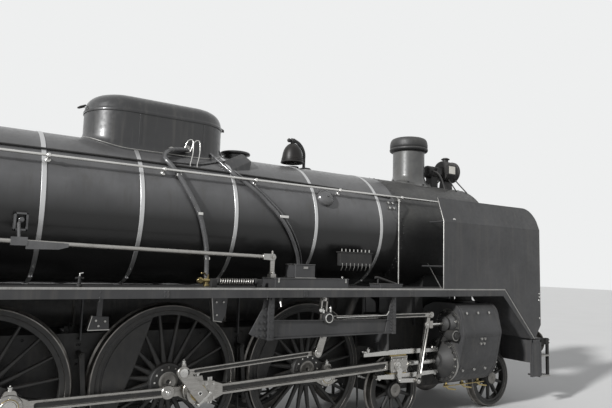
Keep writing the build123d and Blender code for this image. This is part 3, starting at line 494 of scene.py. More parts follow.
@dataclass(frozen=True)
class Planking(Finish):
    """Oiled softwood planks, walked dark: long grain and a gap every plank.

    Attributes:
        plank_mm: width of a plank.
    """

    name: str
    plank_mm: float = 150.0

    def build(self, nodes: Nodes) -> Socket:
        """Build the timber's nodes.

        Args:
            nodes: the material's nodes.

        Returns:
            The shader.
        """
        grain_mm = 12.0
        place = nodes.add("ShaderNodeTexCoord", out="Object")
        across = nodes.add("ShaderNodeSeparateXYZ", {0: place}, "Y")
        count = nodes.calc("MULTIPLY", across, 1000.0 / self.plank_mm)
        gap = nodes.ramp(nodes.add("ShaderNodeMath", {"operation": "FRACT", 0: count}), 0.0, 0.05, 1.0, 0.0)
        grain = nodes.noise(grain_mm, (26, 1, 1), 5.0)
        wood = nodes.mix(nodes.ramp(grain, 0.3, 0.7, 0.0, 1.0), "5b4a37", "3a2f24")
        rough = nodes.ramp(grain, 0.3, 0.7, 0.6, 0.8)
        return nodes.surface(nodes.mix(gap, wood, "14110e"), rough, [(grain, 0.3, 0.5)])


# Rolled sheet lagging under black enamel, kept wiped: a satin sheen that shows the sheet's waves; its lower round is
# darkened by painted shade.
BOILER_ENAMEL = Enamel(
    "boiler_enamel", "505051", "616162", "4a4845", shade="141414", roughness=0.36, sheet_mm=520, sheet_depth=7,
    coat=0.2,
)
# Smokebox plate under heat-proof graphite paint: flatter and greyer than the lagging, and darkened by painted shade on
# faces that look down.
GRAPHITE = Enamel(
    "smokebox_graphite_paint", "313131", "434341", "4a4845", shade="1a1a1a", roughness=0.5, mottle_mm=300,
    streaking=0.7,
)
# Chimney pot in the same graphite paint as the cap, drawn paler: painted light for the sun on the pot.
CHIMNEY_LIT_PAINT = Enamel(
    "chimney_graphite_painted_light", "414141", "575755", roughness=0.36, mottle_mm=240, streaking=0.9, coat=0.2,
)
# Pressed steel cover under the same enamel as the boiler, glossier where it is wiped.
COVER_ENAMEL = Enamel(
    "casing_enamel", "202021", "2b2b2c", dusting=0.1, roughness=0.36, sheet_mm=420, sheet_depth=5, coat=0.35,
)
# Flat plate under matt black paint, chalked by the weather.
PLATE_PAINT = Enamel("side_sheet_paint", "2e2e2f", "3f3f40", roughness=0.5, mottle_mm=500, streaking=0.6)
# Large thin plates in satin black paint, rippled a little between their rivets.
SHEET_PAINT = Enamel(
    "deflector_sheet_paint", "313132", "3e3e3f", roughness=0.42, sheet_mm=700, sheet_depth=4, mottle_mm=500,
    streaking=0.5,
)
# Heavy plate and bar below the boards: black paint under brake dust and oil mist.
FRAME_PAINT = Enamel("frame_paint", "151515", "232220", "322e29", roughness=0.58, mottle_mm=180, streaking=0.8)
# Cast wheel centres: black paint dulled by ballast dust.
WHEEL_PAINT = Enamel("wheel_centre_paint", "191919", "262523", "38342f", roughness=0.5, mottle_mm=140, streaking=0.3)
# Inside of the cab: pale grey-green oil paint, wiped and smoked.
CAB_LINING = Enamel("cab_lining_paint", "6e736c", "7d8178", "4a4845", roughness=0.5, mottle_mm=260)
# Rolled tyre steel: the tread runs bright, the rest is brown with dust.
TYRE_STEEL = BareSteel("tyre_steel", "8d8a86", "2a2724", 0.75, 0.38, (1, 30, 1))
# Turned ends of the axles, dulled by old oil.
AXLE_STEEL = BareSteel("axle_end_steel", "8f8d89", "37332f", 0.55, 0.42, (1, 1, 1))
# Forged rods, planed and kept bright with an oily rag.
ROD_STEEL = BareSteel("rod_steel", "b3b1ad", "4a443c", 0.4, 0.3)
# Turned and ground steel: pins, piston rods, spindles.
TURNED_STEEL = BareSteel("turned_steel", "d8d7d4", "5b554c", 0.25, 0.22, (1, 1, 1))
# Cold-rolled strip, polished by wiping.
BAND_STEEL = BareSteel("band_steel", "dcdbd8", "77726a", 0.3, 0.26, (1, 6, 6))
# Plate edges rubbed bright by boots and hands: pale streaks over dark paint. Also laid as bright strips that paint
# highlights on lit edges.
EDGE_STEEL = BareSteel("worn_edge_and_painted_highlight", "b4b3b0", "4c4943", 0.45, 0.34, (1, 20, 20))
# Drawn tube of the handrails, polished by hands.
RAIL_STEEL = BareSteel("handrail_steel", "e2e1de", "6d685f", 0.2, 0.22)
# Grey iron castings under black paint.
BLACK_IRON = CastMetal("painted_cast_iron", "1d1d1d", "2b2a29")
# Bell bronze under years of smoke: brown-black, with metal at the lip.
BELL_BRONZE = CastMetal("smoked_bell_bronze", "1c1917", "0f0e0d", 0.35, 0.42, 5.0)
# Steam and feed pipes: iron tube under gloss enamel, wiped clean, so it carries a hard line of light.
PIPE_ENAMEL = Enamel("pipe_enamel", "414142", "5a5a5b", roughness=0.22, mottle_mm=200, coat=0.6)
# Annealed copper tube, gone brown.
COPPER = BareSteel("annealed_copper", "a5826b", "3a2c24", 0.45, 0.3, (1, 1, 1))
# Yellow brass of cocks and gauges, handled daily.
BRASS = BareSteel("cock_brass", "b9a777", "4b4130", 0.35, 0.3, (1, 1, 1))
# Clear sheet glass of the cab windows, and the lamps' lenses.
WINDOW_GLASS = Glazing("window_glass")
LENS_GLASS = Glazing("lens_glass", "eef0ee")
# Cab floor boards.
FLOOR_BOARDS = Planking("cab_floor_boards")
# Enamelled white faces of gauges and the lamp's reflector.
WHITE_ENAMEL = Enamel("white_gauge_enamel", "d6d4cc", "c9c6bc", "8c887f", roughness=0.3, mottle_mm=60, streaking=0.1)
# Soft rubber hose and seat cover.
RUBBER = CastMetal("hose_rubber", "17171a", "222224", 0.0, 0.7, 4.0)


# Mesh work


def show(name: str, data: Any) -> bpy.types.Object:
    """A new object in the scene with its data.

    Args:
        name: the object's name.
        data: its mesh, curve, light or camera.

    Returns:
        The object.
    """
    thing = bpy.data.objects.new(name, data)
    bpy.context.scene.collection.objects.link(thing)
    return thing


def solid_mesh(piece: bpy.types.Object) -> bpy.types.Mesh:
    """The mesh that a piece's modifiers make."""
    return bpy.data.meshes.new_from_object(piece.evaluated_get(bpy.context.evaluated_depsgraph_get()))


def turned(steps: int) -> list[Point2]:
    """Cosine and sine of equal steps round a full turn."""
    return [(math.cos(math.tau * k / steps), math.sin(math.tau * k / steps)) for k in range(steps)]


class Work:
    """One piece of the engine being made, as closed shells in the drawing datum."""

    def __init__(self, name: str, *sides: int) -> None:
        """Start an empty piece with its name, drawn in place or on |y| for the sides that get it.

        Args:
            name: the piece's name.
            sides: the sides that get it, or none for a piece drawn in place.
        """
        self.name = name
        self.sides = sides or MIDDLE
        self.left_half = sides == (LEFT,)
        self.mesh = bmesh.new()

    def shell(self, loops: Sequence[Sequence[Vector]], closed: bool = False) -> None:
        """Skin between loops of as many points each, with the two ends filled unless they meet.

        Args:
            loops: the loops in order; a loop of one point is a tip.
            closed: whether the last loop joins the first.
        """
        verts, faces = self.mesh.verts, self.mesh.faces
        for side in self.sides:
            rings = [[verts.new((x, side * y, z)) for x, y, z in loop] for loop in loops]
            for a, b in zip(rings, [*rings[1:], rings[0]] if closed else rings[1:]):
                count = max(len(a), len(b))
                for i in range(count):
                    j = (i + 1) % count
                    if len(a) == 1:
                        faces.new((a[0], b[j], b[i]))
                    elif len(b) == 1:
                        faces.new((a[i], a[j], b[0]))
                    else:
                        faces.new((a[i], a[j], b[j], b[i]))
            for ring in () if closed else (rings[0], rings[-1]):
                if len(ring) > 2:
                    faces.new(ring)

    def prism(self, outline: Sequence[Point2], along: Along, low: float, high: float) -> None:
        """Push an outline out along an axis, from low to high."""
        self.shell([[along.place(w, u, v) for u, v in outline] for w in (low, high)])

    def plate(self, outline: Sequence[Point2], y0: float, y1: float) -> None:
        """Flat plate of an outline in x and z, between two y."""
        self.prism(outline, Along.Y, y0, y1)

    def block(self, x0: float, x1: float, y0: float, y1: float, z0: float, z1: float) -> None:
        """Squared block between two x, two y and two z."""
        self.prism([(x0, y0), (x1, y0), (x1, y1), (x0, y1)], Along.Z, z0, z1)

    def lathe(
        self, profile: Sequence[Point2], along: Along, centre: Point2, steps: int = 48, closed: bool = False
    ) -> None:
        """Turn a profile about an axis.

        Args:
            profile: (radius, distance along the axis) points.
            along: the axis.
            centre: where the axis stands, on the other two axes.
            steps: facets round the turn.
            closed: whether the profile is a closed ring that doesn't reach the axis.
        """
        loops = []
        for radius, w in profile:
            if radius < 1e-6:
                loops.append([along.place(w, *centre)])
            else:
                loops.append([along.place(w, u, v) for u, v in arc(centre, radius, 0, 360, steps)[:-1]])
        self.shell(loops, closed)

    def disc(
        self, centre: Point2, radius: float, low: float, high: float,
        along: Along = Along.Y, steps: int = 32, edge: float = 0.004,
    ) -> None:
        """Round disc or pin with its edges broken.

        Args:
            centre: its axis, on the other two axes.
            radius: its radius.
            low: one end along the axis.
            high: the other end.
            along: the axis.
            steps: facets round it.
            edge: width of the broken edge.
        """
        way = math.copysign(min(edge, abs(high - low) * 0.4, radius * 0.4), high - low)
        r = radius - abs(way)
        profile = [(0, low), (r, low), (radius, low + way), (radius, high - way), (r, high), (0, high)]
        self.lathe(profile, along, centre, steps)

    def ring(
        self, centre: Point2, outer: float, inner: float, low: float, high: float,
        along: Along = Along.Y, steps: int = 40, edge: float = 0.003,
    ) -> None:
        """Ring with its outer edges broken.

        Args:
            centre: its axis, on the other two axes.
            outer: its radius.
            inner: the bore's radius.
            low: one end along the axis.
            high: the other end.
            along: the axis.
            steps: facets round it.
            edge: width of the broken edge.
        """
        way = math.copysign(edge, high - low)
        r = outer - edge
        profile = [(inner, low), (r, low), (outer, low + way), (outer, high - way), (r, high), (inner, high)]
        self.lathe(profile, along, centre, steps, closed=True)

    def tube(self, path: Path, radius: float, steps: int = 12) -> None:
        """Round bar along straight runs between points, its ends filled.

        Args:
            path: the points.
            radius: the bar's radius.
            steps: facets round it.
        """
        points = [Vector(p) for p in path]
        turns = turned(steps)
        loops = []
        up = Vector((0.0, 0.0, 1.0))
        for i, here in enumerate(points):
            way = (points[min(i + 1, len(points) - 1)] - points[max(i - 1, 0)]).normalized()
            if abs(way.dot(up)) > 0.95:
                up = Vector((1.0, 0.0, 0.0))
            a = way.cross(up).normalized()
            b = a.cross(way).normalized()
            loops.append([here + (a * c + b * s) * radius for c, s in turns])
        self.shell(loops)

    def flat(self, p: Point2, q: Point2, depth: float, y0: float, y1: float, depth_q: float = 0.0) -> None:
        """Flat bar between two (x, z) points.

        Args:
            p: one end.
            q: the other end.
            depth: its depth at p.
            y0: one face.
            y1: the other face.
            depth_q: its depth at q, or 0 where it stays the same.
        """
        way = (Vector(q) - Vector(p)).normalized()
        up = Vector((-way.y, way.x))
        half_p, half_q = depth / 2, (depth_q or depth) / 2
        corners = [Vector(p) - up * half_p, Vector(q) - up * half_q, Vector(q) + up * half_q, Vector(p) + up * half_p]
        self.plate([(c.x, c.y) for c in corners], y0, y1)

    def ball(self, centre: Sequence[float], radius: float, steps: int = 12) -> None:
        """Ball about a point."""
        x, y, z = centre
        self.lathe([(r, z + w) for w, r in arc((0, 0), radius, 180, 0, steps)], Along.Z, (x, y), 2 * steps)

    def spun(self, base: Sequence[float], way: Vector, profile: Sequence[Point2], steps: int = 28) -> None:
        """Turn a profile about any axis.

        Args:
            base: foot of the axis.
            way: the axis, of length 1.
            profile: (radius, height) points from the foot.
            steps: facets round it.
        """
        side = way.orthogonal().normalized()
        front = way.cross(side)
        loops = []
        start = [(0.0, profile[0][1])] if profile[0][0] > 0 else []
        for radius, rise in [*start, *profile]:
            hub = Vector(base) + way * rise
            loops.append([hub + (side * c + front * s) * radius for c, s in turned(steps)] if radius > 1e-6 else [hub])
        self.shell(loops)

    def oil_cup(self, x: float, y: float, z: float, radius: float = 0.03, height: float = 0.05) -> None:
        """Turned oil cup with a knurled lid, standing on a rod at a height z.

        Args:
            x: its place lengthwise.
            y: its place across.
            z: height of the rod's top.
            radius: its radius.
            height: height of its body.
        """
        wide, thin = radius * 1.18, radius * 0.3
        profile = [
            (0, z - 0.01), (radius, z - 0.01), (radius, z + height * 0.55), (wide, z + height * 0.6),
            (wide, z + height * 0.85), (radius * 0.9, z + height), (radius * 0.35, z + height),
            (thin, z + height * 1.25), (0, z + height * 1.25),
        ]
        self.lathe(profile, Along.Z, (x, y), 18)

    def nut(self, centre: Point2, size: float, low: float, high: float, along: Along = Along.Y) -> None:
        """Hexagon nut, size across its corners, with its end of stud."""
        self.prism(arc(centre, size / 2, 0, 300, 5), along, low, high)
        self.disc(centre, size * 0.28, high, high + math.copysign(size * 0.2, high - low), along, 12)

    def data(self) -> bpy.types.Mesh:
        """The finished mesh in the frame's metres, its faces outwards.

        Returns:
            The mesh.
        """
        bmesh.ops.recalc_face_normals(self.mesh, faces=self.mesh.faces)
        bmesh.ops.translate(self.mesh, vec=DATUM, verts=self.mesh.verts)
        data = bpy.data.meshes.new(self.name)
        self.mesh.to_mesh(data)
        self.mesh.free()
        return data

    def done(
        self, finish: Finish, body: str = "engine", bevel: float = 0.0, stands_for: str = "", slot: str = "",
        angle: float = 35.0, segments: int = 2,
    ) -> bpy.types.Object:
        """Finish the piece: edges broken, material on, riding on its body.

        Args:
            finish: its surface.
            body: the body it rides on.
            bevel: radius of its edges in metres, or 0.
            stands_for: the CAD node that it stands for; a left half leaves that to the right one.
            slot: the record's material slot; not used.
            angle: edges sharper than this stay sharp, in degrees.
            segments: facets in each rounded edge.

        Returns:
            The finished object.
        """
        data = self.data()
        data.materials.append(finish.material())
        node = "" if self.left_half and body == "engine" else stands_for
        return place(self.name, data, body, node, slot, angle, bevel, segments)


def place(
    name: str, data: bpy.types.Mesh, body: str, stands_for: str = "", slot: str = "", angle: float = 35.0,
    bevel: float = 0.0, segments: int = 2,
) -> bpy.types.Object:
    """Put a finished mesh in the scene on its body.

    Args:
        name: the piece's name.
        data: its mesh, in the frame's metres.
        body: the body it rides on.
        stands_for: the CAD node that it stands for.
        slot: the record's material slot; not used.
        angle: edges sharper than this stay sharp, in degrees.
        bevel: radius of its edges, or 0.
        segments: facets in each rounded edge.

    Returns:
        The object.
    """
    data.polygons.foreach_set("use_smooth", [True] * len(data.polygons))
    data.set_sharp_from_angle(angle=math.radians(angle))
    piece = show(name, data)
    if bevel:
        rounding = piece.modifiers.new("Edges", "BEVEL")
        rounding.width = bevel
        rounding.segments = segments
        rounding.limit_method = "ANGLE"
        rounding.angle_limit = math.radians(angle)
        rounding.harden_normals = True
    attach(piece, body)
    if stands_for:
        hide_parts(stands_for)
    log.info("%s rides on %s, %d faces", name, body, len(data.polygons))
    return piece


def dress(finish: Finish, *nodes: str) -> None:
    """Give CAD nodes that stay in view their finish.

    Args:
        finish: their surface.
        nodes: the CAD nodes' names.
    """
    for name in nodes:
        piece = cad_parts[name]
        if not piece.material_slots:
            piece.data.materials.append(None)
        for holder in piece.material_slots:
            holder.material = finish.material()
        log.info("%s is the CAD's own, in %s", name, finish.name)


def cut(piece: bpy.types.Object, cutter: Work) -> None:
    """Cut a hole in a placed piece and throw the cutter away.

    Args:
        piece: the placed piece.
        cutter: the hole's shape.
    """
    tool = show(cutter.name, cutter.data())
    hole = piece.modifiers.new("Hole", "BOOLEAN")
    hole.object = tool
    hole.operation = "DIFFERENCE"
    hole.solver = "EXACT"
    result = solid_mesh(piece)
    piece.modifiers.remove(hole)
    piece.data = result
    result.set_sharp_from_angle(angle=math.radians(35))
    bpy.data.objects.remove(tool)


# Geometry node trees for what repeats or follows a path


class Grower(Nodes):
    """A geometry node tree made once, with named inputs, that grows pieces from a simple start.

    Attributes:
        title: the tree's name.
        sockets: its inputs after the geometry, by name; whole ones and switches are listed in kinds.
    """

    title = ""
    sockets: Sequence[str] = ()
    kinds = {"Count": "Int", "Facets": "Int", "Round": "Bool", "Finish": "Material", "Geometry": "Geometry"}

    def __init__(self) -> None:
        """Build the tree."""
        super().__init__(bpy.data.node_groups.new(self.title, "GeometryNodeTree"))
        inputs = [(name, "INPUT") for name in ("Geometry", *self.sockets, "Finish")]
        for name, way in (*inputs, ("Geometry", "OUTPUT")):
            kind = "NodeSocket" + self.kinds.get(name, "Float")
            self.tree.interface.new_socket(name, in_out=way, socket_type=kind)
        self.given = self.tree.nodes.new("NodeGroupInput").outputs
        real = self.add("GeometryNodeRealizeInstances", {0: self.build()})
        painted = self.add("GeometryNodeSetMaterial", {0: real, "Material": self.given["Finish"]})
        self.add("NodeGroupOutput", {0: painted})

    def build(self) -> Socket:
        """Build the tree's own nodes and return the geometry."""
        raise NotImplementedError

    def vector(self, x: Socket | float = 0.0, y: Socket | float = 0.0, z: Socket | float = 0.0) -> Socket:
        """A vector of three values."""
        return self.add("ShaderNodeCombineXYZ", {0: x, 1: y, 2: z})

    def sweep(self, curve: Socket, profile: Socket) -> Socket:
        """A profile swept along a curve, with filled ends."""
        return self.add("GeometryNodeCurveToMesh", {"Fill Caps": True, "Curve": curve, "Profile Curve": profile})

    def aimed(self, shape: Socket) -> Socket:
        """The shape on every point, its own z along the point's aim.

        Args:
            shape: the shape.

        Returns:
            The copies.
        """
        aim = self.add("GeometryNodeInputNamedAttribute", {"data_type": "FLOAT_VECTOR", "Name": "aim"})
        turn = self.add("FunctionNodeAlignRotationToVector", {"axis": "Z", "Vector": aim})
        return self.spread(self.given["Geometry"], shape, turn)

    def spread(self, points: Socket, shape: Socket, turn: Socket | None = None) -> Socket:
        """The shape on every point, turned or as it is."""
        turning = {"Rotation": turn} if turn else {}
        return self.add("GeometryNodeInstanceOnPoints", {"Points": points, "Instance": shape, **turning})

    def grow(
        self, name: str, start: bpy.types.Object, finish: Finish, body: str, values: dict[str, Any],
        stands_for: str = "", angle: float = 50.0,
    ) -> bpy.types.Object:
        """Grow a piece and make it a plain mesh on its body.

        Args:
            name: the piece's name.
            start: the object that the tree starts from, used up.
            finish: its surface.
            body: the body it rides on.
            values: the tree's inputs by name.
            stands_for: the CAD node that it stands for.
            angle: edges sharper than this stay sharp, in degrees.

        Returns:
            The finished piece.
        """
        growth = start.modifiers.new(self.title, "NODES")
        growth.node_group = self.tree
        values = {**values, "Finish": finish.material()}
        for item in self.tree.interface.items_tree:
            if item.in_out == "INPUT" and item.name in values:
                growth[item.identifier] = values[item.name]
        result = solid_mesh(start)
        bpy.data.objects.remove(start)
        result.name = name
        return place(name, result, body, stands_for, "", angle)


class Studs(Grower):
    """Hexagon nuts or round rivet heads at points, each standing off its surface."""

    title = "Studs"
    sockets = ("Size", "Height", "Round")

    def build(self) -> Socket:
        """A head on every point, turned to its aim.

        Returns:
            The geometry.
        """
        radius = self.calc("MULTIPLY", self.given["Size"], 0.5)
        height = self.given["Height"]
        hexagon = self.add("GeometryNodeMeshCylinder", {"Vertices": 6, "Radius": radius, "Depth": height})
        lift = self.vector(z=self.calc("MULTIPLY", height, 0.5))
        nut = self.add("GeometryNodeTransform", {0: hexagon, "Translation": lift})
        ball = self.add("GeometryNodeMeshUVSphere", {"Segments": 10, "Rings": 6, "Radius": radius})
        squash = self.vector(1.0, 1.0, self.calc("DIVIDE", height, radius))
        rivet = self.add("GeometryNodeTransform", {0: ball, "Scale": squash})
        return self.aimed(self.add("GeometryNodeSwitch", {"Switch": self.given["Round"], "False": nut, "True": rivet}))


class Pipe(Grower):
    """Round pipe or rod along a curve, with filled ends."""

    title = "Pipe"
    sockets = ("Radius", "Facets")

    def build(self) -> Socket:
        """Sweep a circle along the curve."""
        size = {"Resolution": self.given["Facets"], "Radius": self.given["Radius"]}
        return self.sweep(self.given["Geometry"], self.add("GeometryNodeCurvePrimitiveCircle", size))


class Spokes(Grower):
    """Tapered oval spokes about a wheel's axis, which lies across the engine."""

    title = "Spokes"
    sockets = ("Count", "Hub Radius", "Rim Radius", "Hub Width", "Rim Width", "Thickness", "First Angle")

    def build(self) -> Socket:
        """One spoke shaped from an oval bar, and its copies round the hub.

        Returns:
            The geometry.
        """
        given, calc = self.given, self.calc
        ends = {0: self.vector(given["Hub Radius"]), 1: self.vector(given["Rim Radius"])}
        line = self.add("GeometryNodeCurvePrimitiveLine", ends)
        parts = self.add("GeometryNodeResampleCurve", {"Count": 9, 0: line})
        bar = self.sweep(parts, self.add("GeometryNodeCurvePrimitiveCircle", {"Resolution": 12, "Radius": 1.0}))
        spot = self.add("GeometryNodeInputPosition")
        x, y, z = self.add("ShaderNodeSeparateXYZ", {0: spot}).node.outputs
        along = self.add("ShaderNodeMapRange", {0: x, 1: given["Hub Radius"], 2: given["Rim Radius"], 3: 0.0, 4: 1.0})
        bend = calc("ABSOLUTE", calc("SUBTRACT", along, 0.55), 0.0)
        fillet = calc("MULTIPLY", calc("POWER", bend, 4.0), 3.2)
        sizes = {3: given["Hub Width"], 4: given["Rim Width"]}
        widths = self.add("ShaderNodeMapRange", {0: along, 1: 0.0, 2: 1.0, **sizes})
        half = calc("MULTIPLY", calc("MULTIPLY", widths, 0.5), calc("ADD", fillet, 1.0))
        thick = calc("MULTIPLY", y, calc("MULTIPLY", given["Thickness"], 0.5))
        moved = self.vector(x, thick, calc("MULTIPLY", z, half))
        spoke = self.add("GeometryNodeSetPosition", {0: bar, "Position": moved})
        step = calc("DIVIDE", self.add("GeometryNodeInputIndex"), given["Count"])
        angle = calc("ADD", calc("MULTIPLY", step, math.tau), given["First Angle"])
        turn = self.add("FunctionNodeEulerToRotation", {0: self.vector(y=angle)})
        points = self.add("GeometryNodePoints", {"Count": given["Count"]})
        return self.spread(given["Geometry"], self.spread(points, spoke, turn))


class Coil(Grower):
    """Coil springs: one on every point, its axis along the point's aim."""

    title = "Coil"
    sockets = ("Turns", "Radius", "Length", "Wire")

    def build(self) -> Socket:
        """Sweep the wire along a spiral and stand it on every point.

        Returns:
            The geometry.
        """
        radius = self.given["Radius"]
        size = {"Rotations": self.given["Turns"], "Start Radius": radius, "End Radius": radius}
        spiral = self.add("GeometryNodeCurveSpiral", {"Resolution": 18, **size, "Height": self.given["Length"]})
        wire = self.add("GeometryNodeCurvePrimitiveCircle", {"Resolution": 8, "Radius": self.given["Wire"]})
        return self.aimed(self.sweep(spiral, wire))


def dots(name: str, points: Path, aims: Path) -> bpy.types.Object:
    """Loose points in the drawing datum with a direction each, for a tree to start from.

    Args:
        name: the object's name.
        points: their places.
        aims: a direction for each.

    Returns:
        The object.
    """
    data = bpy.data.meshes.new(name)
    data.from_pydata([Vector(p) + DATUM for p in points], [], [])
    aim = data.attributes.new("aim", "FLOAT_VECTOR", "POINT")
    aim.data.foreach_set("vector", [c for a in aims for c in Vector(a).normalized()])
    return show(name, data)


def route(name: str, points: Path) -> bpy.types.Object:
    """A smooth path along control points in the drawing datum, for the pipe tree to follow.

    Args:
        name: the object's name.
        points: its control points.

    Returns:
        The object.
    """
    data = bpy.data.curves.new(name, "CURVE")
    data.dimensions = "3D"
    data.resolution_u = 8
    spline = data.splines.new("NURBS")
    spline.points.add(len(points) - 1)
    for spot, p in zip(spline.points, points):
        spot.co = (*(Vector(p) + DATUM), 1.0)
    spline.order_u = 3
    spline.use_endpoint_u = True
    return show(name, data)


# The way that heads face on the engine's sides: outwards
OUTWARD = ((0.0, 1.0, 0.0),)


class Shop:
    """The geometry node trees, each made once, and short ways to use them."""

    def __init__(self) -> None:
        """Make the trees."""
        self.studs = Studs()
        self.pipe = Pipe()
        self.spokes = Spokes()
        self.coil = Coil()

    def bend_pipe(
        self, name: str, points: Path, radius: float, finish: Finish, facets: int = 14, stands_for: str = "",
        side: int = 1,
    ) -> None:
        """A pipe along control points.

        Args:
            name: the pipe's name.
            points: its control points.
            radius: its outer radius.
            finish: its surface.
            facets: facets round it.
            stands_for: the CAD node that it stands for.
            side: the side it is put on, where the points are given on |y|.
        """
        start = route(name + "_route", [(x, side * y, z) for x, y, z in points])
        self.pipe.grow(name, start, finish, "engine", {"Radius": radius, "Facets": facets}, stands_for)

    def heads(
        self, name: str, points: Path, aims: Path, size: float, height: float, finish: Finish,
        body: str = "engine", round_head: bool = True, sides: Sequence[int] = MIDDLE,
    ) -> None:
        """Rivets, or nuts where round_head is False, at points.

        Args:
            name: the piece's name.
            points: their places.
            aims: the way each faces, or one way for all.
            size: width of a head.
            height: how far it stands off.
            finish: their surface.
            body: the body they ride on.
            round_head: rivets rather than nuts.
            sides: the sides that get them, where the points are given on |y|.
        """
        ways = aims if len(aims) == len(points) else [aims[0]] * len(points)
        spots, faced = ([(x, s * y, z) for s in sides for x, y, z in rows] for rows in (points, ways))
        values = {"Size": size, "Height": height, "Round": round_head}
        self.studs.grow(name, dots(name + "_dots", spots, faced), finish, body, values)


# Boiler and what stands on it


def on_barrel(y: float) -> float:
    """Height of the barrel's outside at a y."""
    return Boiler.height + math.sqrt(Boiler.radius**2 - y * y)


